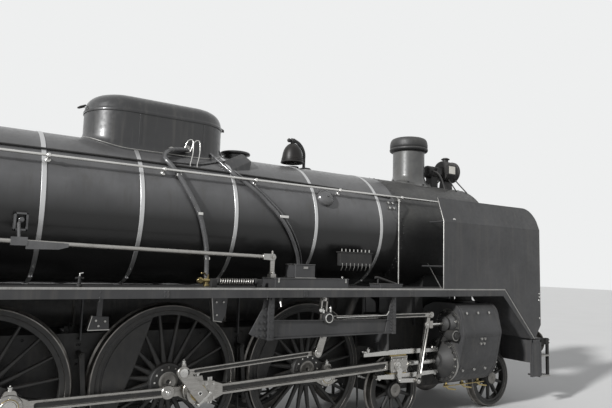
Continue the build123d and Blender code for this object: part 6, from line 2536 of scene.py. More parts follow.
@dataclass
class RunningBoards:
    """Running boards with a worn steel edge, rivets, brackets' bolts and the deflectors' foot.

    Attributes:
        top: height of the boards.
        out: half their width; not used.
        rear: back end.
        slope: corners of the sloping front, x and z.
    """

    top: float = 2.14
    out: float = 1.5
    rear: float = -3.946
    slope: tuple[Point2, Point2] = ((5.773, 2.14), (6.585, 1.27))

    def build(self, shop: Shop) -> None:
        """Dress the boards and make their trim on both sides.

        Args:
            shop: the geometry node trees.
        """
        dress(PLATE_PAINT, "running_boards")
        trim = Work("board_edge_steel", *SIDES)
        seams = Work("valance_butt_straps", *SIDES)
        points: list[Point3] = []
        (x1, z1), (x2, z2) = self.slope
        angle = [(1.462, 0.0003), (1.462, 0.005), (1.5045, 0.005), (1.5045, -0.02), (1.5002, -0.02), (1.5002, 0.0003)]
        trim.prism([(y, self.top + z) for y, z in angle], Along.X, self.rear, x1 + 0.003)
        trim.flat((x1 + 0.004, z1 + 0.002), (x2 + 0.002, z2 + 0.002), 0.006, 1.462, 1.5045)
        trim.flat((x1 - 0.012, z1 - 0.012), (x2 - 0.014, z2 - 0.01), 0.02, 1.5002, 1.5045)
        for x in (-2.2, -0.3, 1.62, 3.55, 5.2):
            seams.block(x - 0.035, x + 0.035, 1.5003, 1.505, 2.024, 2.116)
            for dz in (0.022, 0.07):
                for dx in (-0.02, 0.02):
                    points.append((x + dx, 1.505, 2.024 + dz))
        for x in (-3.2, -1.042, 1.042, 4.4):
            for z in (2.035, 2.09):
                points.append((x, 1.5, z))
        for i in range(8):
            t = (i + 0.5) / 8
            points.append((x1 + (x2 - x1) * t - 0.05, 1.5, z1 + (z2 - z1) * t - 0.06))
        trim.done(EDGE_STEEL, bevel=0.001)
        seams.done(PLATE_PAINT, bevel=0.002)
        shop.heads("valance_rivets", points, OUTWARD, 0.018, 0.006, PLATE_PAINT, sides=SIDES)
        self.treads()

    def treads(self) -> None:
        """Kick strip along the boards' inner edge and joint strips across them."""
        strips = Work("board_joint_strips", *SIDES)
        for x in (-2.26, -0.42, 1.05, 2.78, 3.95, 5.1):
            strips.block(x - 0.03, x + 0.03, 1.0 if x < 3.7 else 0.99, 1.46, self.top + 0.0005, self.top + 0.004)
        strips.done(PLATE_PAINT, bevel=0.001)


@dataclass
class Deflectors:
    """Smoke deflectors: plates beside the smokebox with rolled edges, stays and bolts.

    Attributes:
        ends: rear and front of the plates.
        fold: height at which they lean in.
        upper: width of the leaning part.
        lean: how far it leans, in degrees.
    """

    ends: Point2 = (4.25, 6.75)
    fold: float = 3.222
    upper: float = 0.415
    lean: float = 19.5

    def upward(self, x: float, rise: float, proud: float = 0.0) -> Point3:
        """A point on the leaning part: rise above the fold, proud of its outer face."""
        a = math.radians(self.lean)
        return (x, 1.5 - rise * math.sin(a) + proud * math.cos(a), self.fold + rise * math.cos(a) + proud * math.sin(a))

    def build(self, shop: Shop) -> None:
        """Dress the plates and make beading, straps, stay ends and bolts.

        Args:
            shop: the geometry node trees.
        """
        dress(SHEET_PAINT, "smoke_deflectors")
        x0, x1 = self.ends
        bead = Work("deflector_beading", *SIDES)
        straps = Work("deflector_straps", *SIDES)
        knobs = Work("deflector_front_lugs", *SIDES)
        points: list[Point3] = []
        rear = [(x0, 1.495, 2.145), (x0, 1.495, self.fold)]
        top = [self.upward(x0, self.upper, -0.005), self.upward(6.45, self.upper, -0.005)]
        corner = bow((6.45, self.upper), (6.656, 0.334), (x1, 0.14), 10)
        front = [self.upward(x, rise, -0.005) for x, rise in corner[1:]]
        rim = [*rear, *top, *front, (x1, 1.495, self.fold), (x1, 1.495, 1.5)]
        bead.tube(rim, 0.0085, 10)
        for x in (4.985, 5.86):
            straps.block(x - 0.028, x + 0.028, 1.5003, 1.504, 2.16, self.fold - 0.02)
        straps.block(x0 + 0.01, x1 - 0.2, 1.5003, 1.5035, 2.63, 2.665)
        for x, z in ((4.5, 3.25), (5.95, 3.15), (4.5, 2.5), (5.9, 2.5)):
            y = 1.5 - max(0.0, z - self.fold) * math.tan(math.radians(self.lean))
            knobs.disc((x, z), 0.04, y - 0.006, y + 0.006)
            points.append((x, y + 0.006, z))
        for z in (1.62, 1.94, 2.0, 2.06):
            knobs.disc((6.705, z), 0.017, 1.5, 1.525)
        for k in range(14):
            points.append((x0 + 0.05, 1.5, 2.2 + 0.075 * k))
        for x in (4.985, 5.86):
            for k in range(12):
                points.append((x, 1.504, 2.2 + 0.088 * k))
        for k in range(20):
            points.append((x0 + 0.1 + 0.118 * k, 1.5035, 2.6475))
        bead.done(EDGE_STEEL)
        straps.done(SHEET_PAINT, bevel=0.0015)
        knobs.done(TURNED_STEEL, bevel=0.002)
        shop.heads("deflector_rivets", points, OUTWARD, 0.02, 0.006, SHEET_PAINT, sides=SIDES)


@dataclass
class BoardFittings:
    """Boxes, reach rod with its spring, and the small gear that stands on the boards.

    Attributes:
        boxes: (x0, x1, inner |y|, outer |y|, height) of each box.
        rod: y of the reach rod.
        rod_ends: its ends, x and z.
    """

    boxes: tuple[tuple[float, float, float, float, float], ...] = (
        (1.15, 2.365, 1.12, 1.48, 0.135),
        (1.47, 1.8, 1.18, 1.46, 0.325),
        (3.0, 3.45, 1.15, 1.42, 0.07),
    )
    rod: float = -1.3
    rod_ends: tuple[Point2, Point2] = ((-3.94, 2.65), (1.16, 2.544))

    def build(self, shop: Shop) -> None:
        """Make everything on the boards.

        Args:
            shop: the geometry node trees.
        """
        self.lockers(shop)
        self.reach_rod()
        self.rod_guides()
        self.balance_spring(shop)
        self.hangers(shop)
        self.small_gear(shop)

    def lockers(self, shop: Shop) -> None:
        """Pressed boxes with overhanging lids, hinges and latches.

        Args:
            shop: the geometry node trees.
        """
        boxes, trim = Work("board_lockers", *SIDES), Work("locker_fittings", *SIDES)
        points: list[Point3] = []
        for x0, x1, y0, y1, height in self.boxes:
            low, high = 2.1403, 2.14 + height
            boxes.block(x0 + 0.006, x1 - 0.006, y0 + 0.006, y1 - 0.006, low, high - 0.014)
            boxes.block(x0, x1, y0, y1, high - 0.018, high)
            for x in (x0 + 0.06, (x0 + x1) / 2, x1 - 0.06):
                if high > 2.22 and not 1.4 < x < 1.85:
                    trim.block(x - 0.012, x + 0.012, y1 - 0.007, y1 + 0.002, high - 0.06, high - 0.004)
                    points.append((x, y1 + 0.002, high - 0.05))
            trim.tube([(x0, y0 + 0.02, high - 0.009), (x0, y1 - 0.02, high - 0.009)], 0.006, 8)
        trim.block(1.466, 1.804, 1.176, 1.464, 2.276, 2.284)
        trim.block(1.6, 1.67, 1.456, 1.466, 2.40, 2.43)
        boxes.done(SHEET_PAINT, bevel=0.008, stands_for="board_boxes", slot="satin_black")
        trim.done(EDGE_STEEL, bevel=0.001)
        shop.heads("locker_screws", points, OUTWARD, 0.014, 0.005, TURNED_STEEL, sides=SIDES)

    def reach_rod(self) -> None:
        """Round reversing rod with its fork and arm."""
        y = self.rod
        (x0, z0), (x1, z1) = self.rod_ends
        rod, fork = Work("reach_rod"), Work("reach_rod_fork")
        rod.tube([(x0, y, z0), (x1 - 0.09, y, z1 + 0.002)], 0.0262, 18)
        rod.disc((y, 2.5465), 0.035, 1.045, 1.085, Along.X)
        for dy in (-0.021, 0.021):
            jaw = hull((1.085, 2.546), (1.2, 2.543), 0.036, 0.046)
            fork.plate(jaw, y + dy - 0.0065, y + dy + 0.0065)
        fork.block(1.06, 1.12, y - 0.034, y + 0.034, 2.506, 2.586)
        rod.disc((1.2, 2.543), 0.018, y - 0.036, y + 0.036)
        rod.nut((1.2, 2.543), 0.05, y - 0.028, y - 0.042)
        rod.oil_cup(1.2, y, 2.588, 0.014, 0.035)
        rod.plate(hull((1.2, 2.543), (1.2, 2.33), 0.034, 0.03), y - 0.0135, y + 0.0135)
        rod.block(1.16, 1.24, y - 0.045, y + 0.045, 2.276, 2.32)
        rod.disc((1.2, 2.335), 0.022, y - 0.045, y + 0.045)
        rod.done(ROD_STEEL, bevel=0.003, stands_for="reach_rod", slot="bright_steel")
        fork.done(EDGE_STEEL, bevel=0.003)

    def rod_guides(self) -> None:
        """Guides of the reach rod on the boiler's side, and its plate."""
        y = self.rod
        guide = Work("reach_rod_guides")
        guide.block(-1.935, -1.776, y - 0.045, y + 0.045, 2.565, 2.655)
        guide.tube([(-1.85, y + 0.03, 2.62), (-1.85, -1.13, 2.8), (-1.82, -1.02, 2.85)], 0.018)
        for left, right, low, high in (
            (-1.89, -1.868, 2.73, 2.93), (-1.772, -1.75, 2.73, 2.93), (-1.89, -1.75, 2.908, 2.93),
            (-1.89, -1.75, 2.73, 2.752),
        ):
            guide.block(left, right, -1.06, -0.955, low, high)
        guide.disc((-1.82, 2.85), 0.03, -1.075, -0.955)
        guide.done(PIPE_ENAMEL, bevel=0.006)
        plate = Work("reach_rod_plate")
        plate.plate(
            [(-1.79, 2.53), (-1.47, 2.536), (-1.37, 2.565), (-1.37, 2.606), (-1.79, 2.622)], y - 0.04, y - 0.028,
        )
        plate.done(PIPE_ENAMEL, bevel=0.002)

    def balance_spring(self, shop: Shop) -> None:
        """Coil spring on its rod between two carriers, on the boards.

        Args:
            shop: the geometry node trees.
        """
        y = self.rod
        blocks = Work("balance_spring_carriers")
        for low, high in ((0.33, 0.4), (0.975, 1.04)):
            blocks.prism(
                rounded([(y - 0.03, 2.1405), (y + 0.03, 2.1405), (y + 0.036, 2.25), (y - 0.036, 2.25)], 0.012),
                Along.X, low, high,
            )
        blocks.tube([(0.37, y, 2.215), (1.02, y, 2.215)], 0.013, 12)
        for low, high in ((0.4, 0.435), (0.935, 0.975)):
            blocks.disc((y, 2.215), 0.044, low, high, Along.X, 28)
        blocks.done(BLACK_IRON, bevel=0.003)
        start = dots("balance_spring_foot", [(0.44, y, 2.215)], [(1, 0, 0)])
        values = {"Turns": 15.0, "Radius": 0.036, "Length": 0.49, "Wire": 0.0085}
        shop.coil.grow("balance_spring", start, ROD_STEEL, "engine", values, angle=60)

    def hangers(self, shop: Shop) -> None:
        """Folded sheet brackets under the boards, between the driving wheels.

        Args:
            shop: the geometry node trees.
        """
        sheets, edges = Work("board_hangers", *SIDES), Work("board_hanger_highlight_edges", *SIDES)
        points: list[Point3] = []
        sheets.plate([(0.4, 2.01), (0.62, 2.01), (0.6, 1.8), (0.55, 1.7), (0.43, 1.72)], 1.195, 1.205)
        sheets.block(0.39, 0.62, 1.1, 1.205, 2.0, 2.012)
        sheets.tube([(0.505, 1.15, 2.01), (0.505, 1.15, 2.125)], 0.02)
        # Bright steel strips along the folded edges: painted highlights on the lit edges.
        edges.flat((0.4, 2.0), (0.43, 1.72), 0.008, 1.13, 1.207)
        edges.flat((0.43, 1.72), (0.55, 1.7), 0.008, 1.13, 1.207)
        sheets.plate([(-1.04, 1.812), (-0.86, 1.8), (-0.85, 1.655), (-1.08, 1.655)], 1.19, 1.2)
        sheets.flat((-0.955, 2.125), (-0.965, 1.79), 0.06, 1.18, 1.19)
        edges.block(-1.085, -0.845, 1.11, 1.203, 1.65, 1.66)
        edges.flat((-1.083, 1.656), (-1.043, 1.812), 0.008, 1.13, 1.203)
        for x, z in ((0.46, 1.95), (0.56, 1.95), (0.47, 1.79), (-1.0, 1.76), (-0.9, 1.75), (-0.97, 1.7)):
            points.append((x, 1.205 if x > 0 else 1.2, z))
        sheets.done(SHEET_PAINT, bevel=0.002)
        edges.done(EDGE_STEEL)
        shop.heads("board_hanger_bolts", points, OUTWARD, 0.026, 0.014, EDGE_STEEL, round_head=False, sides=SIDES)

    def small_gear(self, shop: Shop) -> None:
        """Lubricator, drain cocks, hand wheel, test plug and brackets under the boards.

        Args:
            shop: the geometry node trees.
        """
        gear, bright = Work("board_small_gear"), Work("board_bright_fittings")
        drips = Work("lubricator_drips", *SIDES)
        y = self.rod
        gear.disc((-1.225, y), 0.03, 2.1405, 2.17, Along.Z)
        gear.disc((-1.225, y), 0.018, 2.17, 2.26, Along.Z)
        gear.tube([(-1.27, y, 2.235), (-1.18, y, 2.235)], 0.012)
        bright.tube([(-1.225, y, 2.26), (-1.225, y, 2.286), (-1.19, y, 2.294)], 0.007)
        gear.tube([(3.049, y, 2.143), (3.049, y, 2.297)], 0.013)
        gear.tube([(2.99, y, 2.297), (3.049, y, 2.297), (3.522, y, 2.175)], 0.019)
        bright.tube([(2.372, y, 2.141), (2.372, y, 2.29)], 0.01)
        bright.disc((2.372, y), 0.018, 2.285, 2.3, Along.Z)
        gear.sides = bright.sides = SIDES
        gear.block(2.52, 3.13, 0.975, 1.05, 2.46, 2.66)
        gear.block(2.5, 3.15, 0.965, 1.06, 2.655, 2.672)
        for k in range(8):
            x = 2.56 + k * 0.076
            drips.disc((x, 1.03), 0.011, 2.672, 2.715, Along.Z, 14)
            drips.tube([(x, 1.052, 2.5), (x, 1.052, 2.44), (x, 1.02, 2.39)], 0.006, 8)
        gear.disc((1.26, 1.44), 0.03, 1.97, 2.03, Along.Z)
        bright.tube([(1.26, 1.44, 2.0), (1.26, 1.47, 1.9)], 0.012)
        gear.done(BLACK_IRON, bevel=0.004)
        bright.done(RAIL_STEEL)
        drips.done(EDGE_STEEL)
        for side, name in NAMED_SIDES:
            for drop, reach, radius in ((2.06, 1.34, 0.019), (2.085, 1.28, 0.014), (2.09, 1.22, 0.014)):
                dips = ((-3.6, 0.0), (-2.0, 0.004), (0.2, 0.0), (2.4, 0.004), (4.3, 0.0))
                path = [(x, reach, drop - dip) for x, dip in dips]
                title = f"board_pipe_{round(reach * 100)}_{name}"
                shop.bend_pipe(title, path, radius, BLACK_IRON, facets=10, side=side)

# Front end: beam, buffers, draw gear, footsteps and smokebox door


@dataclass
class FrontEnd:
    """Buffer beam with its decks, buffers, draw gear and steps.

    Attributes:
        face: front face of the beam.
        buffers: |y| and z of the buffers.
    """

    face: float = 6.78
    buffers: Point2 = (0.915, 1.1)

    def build(self, shop: Shop) -> None:
        """Make the front end.

        Args:
            shop: the geometry node trees.
        """
        self.beam(shop)
        self.buffer_pair(shop)
        self.coupling(shop)
        self.steps(shop)

    def beam(self, shop: Shop) -> None:
        """Dress the beam and its decks, with rivets, edge angles, brackets and hoses.

        Args:
            shop: the geometry node trees.
        """
        dress(PLATE_PAINT, "front_beam")
        x = self.face
        angles = Work("beam_angles")
        angles.block(x - 0.078, x + 0.004, -1.46, 1.46, 1.2505, 1.2585)
        angles.block(x + 0.0005, x + 0.0045, -1.46, 1.46, 1.19, 1.258)
        angles.block(x + 0.0005, x + 0.0045, -1.46, 1.46, 0.802, 0.86)
        angles.sides = SIDES
        angles.block(x - 0.29, x, 1.4902, 1.496, 1.18, 1.238)
        angles.block(6.5, 6.53, 1.4902, 1.496, 0.6, 1.238)
        angles.block(6.742, 6.779, 1.4902, 1.496, 0.6, 1.238)
        angles.block(6.715, 6.779, 0.3, 0.31, 1.262, 1.42)
        angles.plate([(6.741, 1.262), (6.778, 1.262), (6.741, 1.5)], 0.48, 0.49)
        angles.done(PLATE_PAINT, bevel=0.002)
        front = [(x + 0.0045, -1.4 + k * 2.8 / 29, z) for k in range(30) for z in (0.832, 1.222)]
        spots = [(px, 0.65 + 0.075 * k) for k in range(8) for px in (6.515, 6.76)]
        spots += [(6.57 + 0.065 * k, 1.21) for k in range(3)]
        ends = [(px, s * 1.496, pz) for s in SIDES for px, pz in spots]
        aims = [(1, 0, 0)] * len(front) + [(0, math.copysign(1, p[1]), 0) for p in ends]
        shop.heads("beam_rivets", front + ends, aims, 0.024, 0.009, PLATE_PAINT)
        for side, name in NAMED_SIDES:
            hose = [
                (6.79, 0.42, 0.93), (6.86, 0.42, 0.93), (6.93, 0.42, 0.86), (6.93, 0.42, 0.7),
                (6.9, 0.42, 0.56), (6.86, 0.44, 0.54),
            ]
            shop.bend_pipe("brake_hose_" + name, hose, 0.021, RUBBER, side=side)
            cock = Work("hose_cock_" + name, side)
            cock.disc((0.42, 0.93), 0.034, 6.781, 6.83, Along.X)
            cock.disc((0.42, 0.93), 0.027, 6.83, 6.87, Along.X)
            cock.tube([(6.85, 0.42, 0.95), (6.85, 0.42, 1.0), (6.9, 0.42, 1.02)], 0.008)
            cock.disc((0.445, 0.54), 0.03, 6.82, 6.865, Along.X)
            cock.done(BLACK_IRON, bevel=0.002)

    def buffer_pair(self, shop: Shop) -> None:
        """Flanged housings, plungers and domed heads.

        Args:
            shop: the geometry node trees.
        """
        y, z = self.buffers
        x = self.face
        points: list[Point3] = []
        work, polished = Work("buffer_housings", *SIDES), Work("buffer_heads", *SIDES)
        corners = [(y - 0.17, z - 0.15), (y + 0.17, z - 0.15), (y + 0.17, z + 0.15), (y - 0.17, z + 0.15)]
        work.prism(rounded(corners, 0.04, 6), Along.X, x + 0.0005, x + 0.025)
        housing = [
            (0.138, 0.024), (0.13, 0.034), (0.118, 0.05), (0.108, 0.075), (0.105, 0.11), (0.1, 0.2), (0.097, 0.28),
            (0.105, 0.284), (0.105, 0.325), (0.1, 0.33), (0.083, 0.33), (0.083, 0.3), (0, 0.3),
        ]
        work.spun((x, y, z), Vector((1, 0, 0)), housing, 48)
        for k in range(4):
            turn = math.pi / 4 + k * math.pi / 2
            a, b = math.cos(turn), math.sin(turn)
            web = [Vector((x + px, y + r * a, z + r * b)) for px, r in ((0.02, 0.15), (0.02, 0.09), (0.16, 0.09))]
            half = Vector((0, -0.007 * b, 0.007 * a))
            work.shell([[p + half for p in web], [p - half for p in web]])
        plunger = [(0.08, 0.28), (0.08, 0.5), (0.085, 0.53), (0.1, 0.56), (0.14, 0.592)]
        head = [
            (0.19, 0.597), (0.215, 0.604), (0.225, 0.614), (0.225, 0.62), (0.219, 0.627), (0.18, 0.632),
            (0.12, 0.636), (0.06, 0.639), (0, 0.64),
        ]
        polished.spun((x, y, z), Vector((1, 0, 0)), plunger + head, 56)
        for dy in (-0.135, 0.135):
            for dz in (-0.115, 0.115):
                points.append((x + 0.025, y + dy, z + dz))
        work.done(BLACK_IRON, bevel=0.003, stands_for="buffers", slot="cast_black")
        polished.done(TYRE_STEEL, slot="bright_steel")
        shop.heads("buffer_bolts", points, [(1, 0, 0)], 0.042, 0.024, BLACK_IRON, round_head=False, sides=SIDES)

    def coupling(self, shop: Shop) -> None:
        """Forged hook and the screw coupling hanging from it.

        Args:
            shop: the geometry node trees.
        """
        hook = Work("draw_hook")
        outline = [
            (6.781, 1.042), (6.9, 1.045), (6.96, 1.03), (7.03, 1.035), (7.075, 1.07), (7.094, 1.12), (7.092, 1.18),
            (7.078, 1.214), (7.05, 1.225), (7.02, 1.215), (7.018, 1.19), (7.032, 1.165), (7.03, 1.14),
            (7.005, 1.122), (6.96, 1.118), (6.9, 1.114), (6.781, 1.112),
        ]
        hook.plate(outline, -0.029, 0.029)
        hook.prism(rounded([(-0.11, 0.98), (0.11, 0.98), (0.11, 1.17), (-0.11, 1.17)], 0.02), Along.X, 6.7805, 6.8)
        hook.disc((7.0, 1.09), 0.03, -0.09, 0.09)
        hook.done(BLACK_IRON, bevel=0.006, stands_for="draw_gear", slot="cast_black")
        links = Work("screw_coupling_links", *SIDES)
        links.plate(hull((7.0, 1.09), (7.01, 0.78), 0.036, 0.036), 0.062, 0.084)
        links.nut((7.0, 1.09), 0.05, 0.085, 0.1)
        links.sides = MIDDLE
        links.disc((7.01, 0.78), 0.032, -0.09, 0.09)
        links.disc((7.01, 0), 0.028, 0.62, 0.87, Along.Z)
        for k in range(13):
            links.ring((7.01, 0), 0.0315, 0.027, 0.635 + k * 0.009, 0.64 + k * 0.009, Along.Z, 24, 0.001)
        links.tube([(7.01, 0, 0.85), (7.01, 0.075, 0.87), (7.01, 0.16, 0.87)], 0.011)
        links.ball((7.01, 0.165, 0.87), 0.022)
        links.disc((7.01, 0.64), 0.028, -0.1, 0.1)
        links.done(BLACK_IRON, bevel=0.004)
        bow_link = [
            (7.01, -0.085, 0.64), (7.01, -0.085, 0.6), (7.01, -0.08, 0.565), (7.01, -0.05, 0.545), (7.01, 0.05, 0.545),
            (7.01, 0.08, 0.565), (7.01, 0.085, 0.6), (7.01, 0.085, 0.64),
        ]
        shop.bend_pipe("coupling_shackle", bow_link, 0.018, BLACK_IRON)
        nuts = [(6.8, y, z) for y in (-0.085, 0.085) for z in (1.0, 1.15)]
        shop.heads("draw_plate_nuts", nuts, [(1, 0, 0)], 0.036, 0.022, BLACK_IRON, round_head=False)

    def steps(self, shop: Shop) -> None:
        """Dress the footsteps; chequered treads with bright worn noses, and hanger bolts.

        Args:
            shop: the geometry node trees.
        """
        dress(FRAME_PAINT, "footsteps")
        nose, grip = Work("step_noses", *SIDES), Work("step_chequers")
        points: list[Point3] = []
        for x, heights, top in ((6.935, (0.56, 0.92), 1.24), (-5.655, (0.48, 0.85, 1.22, 1.58), 1.749)):
            for z in heights:
                nose.block(x - 0.15, x + 0.15, 1.452, 1.4625, z - 0.001, z + 0.0275)
                for i in range(9):
                    for j in range(6):
                        u, v = x - 0.128 + 0.032 * i, 1.225 + 0.037 * j
                        lean = 0.011 if (i + j) % 2 else -0.011
                        for s in SIDES:
                            ends = [(u - 0.011, s * v - lean, z + 0.0255), (u + 0.011, s * v + lean, z + 0.0255)]
                            grip.tube(ends, 0.0028, 5)
            for end in (-0.14, 0.14):
                for dz in (0.03, 0.08):
                    points.append((x + end, 1.44, top - dz))
        nose.done(EDGE_STEEL, bevel=0.002)
        grip.done(EDGE_STEEL)
        shop.heads("step_bolts", points, OUTWARD, 0.028, 0.014, FRAME_PAINT, round_head=False, sides=SIDES)


@dataclass
class SmokeboxDoor:
    """Dished smokebox door with its rim, hinge straps, handrail and locking handle.

    Attributes:
        back: rear face of the door.
        radius: its radius.
    """

    back: float = 6.086
    radius: float = 0.79

    def build(self, shop: Shop) -> None:
        """Make the door, which rides on its own hinge.

        Args:
            shop: the geometry node trees.
        """
        centre, x = (0, Boiler.height), self.back
        door = Work("smokebox_door_plate")
        profile = [
            (0.0, x), (self.radius, x), (self.radius, x + 0.016), (self.radius - 0.008, x + 0.024), (0.745, x + 0.026),
            (0.73, x + 0.034), (0.66, x + 0.058), (0.56, x + 0.084), (0.46, x + 0.1), (0.36, x + 0.112),
            (0.24, x + 0.124), (0.12, x + 0.131), (0.0, x + 0.134),
        ]
        door.lathe(profile, Along.X, centre, 96)
        door.ring(centre, 0.782, 0.752, x + 0.022, x + 0.032, Along.X, 96, 0.003)
        door.done(GRAPHITE, "smokebox_door", stands_for="smokebox_door", slot="smokebox_black")
        gear = Work("smokebox_door_gear")
        gear.disc(centre, 0.06, x + 0.128, x + 0.15, Along.X)
        gear.disc(centre, 0.036, x + 0.15, x + 0.175, Along.X)
        for z in (centre[1] - 0.33, centre[1] + 0.33):
            strap = [
                (x + 0.03, 0.83), (x + 0.03, 0.72), (x + 0.062, 0.62), (x + 0.094, 0.46), (x + 0.114, 0.28),
                (x + 0.124, 0.16), (x + 0.136, 0.16), (x + 0.128, 0.28), (x + 0.108, 0.46), (x + 0.077, 0.62),
                (x + 0.046, 0.74), (x + 0.046, 0.83),
            ]
            gear.prism(strap, Along.Z, z - 0.035, z + 0.035)
            gear.disc((x + 0.039, 0.88), 0.028, z - 0.009, z + 0.009, Along.Z)
            gear.block(x + 0.03, x + 0.048, 0.8, 0.87, z - 0.009, z + 0.009)
        gear.tube([(x + 0.165, 0, centre[1]), (x + 0.172, 0.06, centre[1] + 0.3)], 0.012)
        gear.ball((x + 0.172, 0.062, centre[1] + 0.31), 0.022)
        gear.done(BLACK_IRON, "smokebox_door", bevel=0.003)
        rail = Work("smokebox_door_rail")
        path = [(x + 0.16, -0.5 + k * 0.1, centre[1] + 0.52 + 0.06 * math.sin(math.pi * k / 10)) for k in range(11)]
        rail.tube(path, 0.014)
        for k in (1, 9):
            px, py, pz = path[k]
            rail.tube([(px, py, pz), (x + 0.06, py, pz)], 0.012)
        rail.done(RAIL_STEEL, "smokebox_door")
        points = [(x + 0.032, 0.766 * s, centre[1] + 0.766 * c) for c, s in turned(16)]
        clear = [p for p in points if not (p[1] > 0.6 and abs(abs(p[2] - centre[1]) - 0.33) < 0.07)]
        shop.heads("smokebox_door_dogs", clear, [(1, 0, 0)], 0.032, 0.018, GRAPHITE, "smokebox_door", round_head=False)


# Cab


def surround(work: Work, low: Point2, high: Point2, width: float, along: Along, near: float, far: float) -> None:
    """Rectangular frame laid round an opening.

    Args:
        work: the piece that it joins.
        low: the opening's lower corner.
        high: its upper corner.
        width: width of the frame's bars.
        along: the axis that it faces.
        near: its back face along that axis.
        far: its front face.
    """
    inner = rounded([low, (high[0], low[1]), high, (low[0], high[1])], 0.03, 3)
    outer = rounded(
        [
            (low[0] - width, low[1] - width), (high[0] + width, low[1] - width),
            (high[0] + width, high[1] + width), (low[0] - width, high[1] + width),
        ],
        0.03 + width, 3,
    )
    loops = [(inner, near), (outer, near), (outer, far), (inner, far)]
    work.shell([[along.place(w, u, v) for u, v in outline] for outline, w in loops], closed=True)


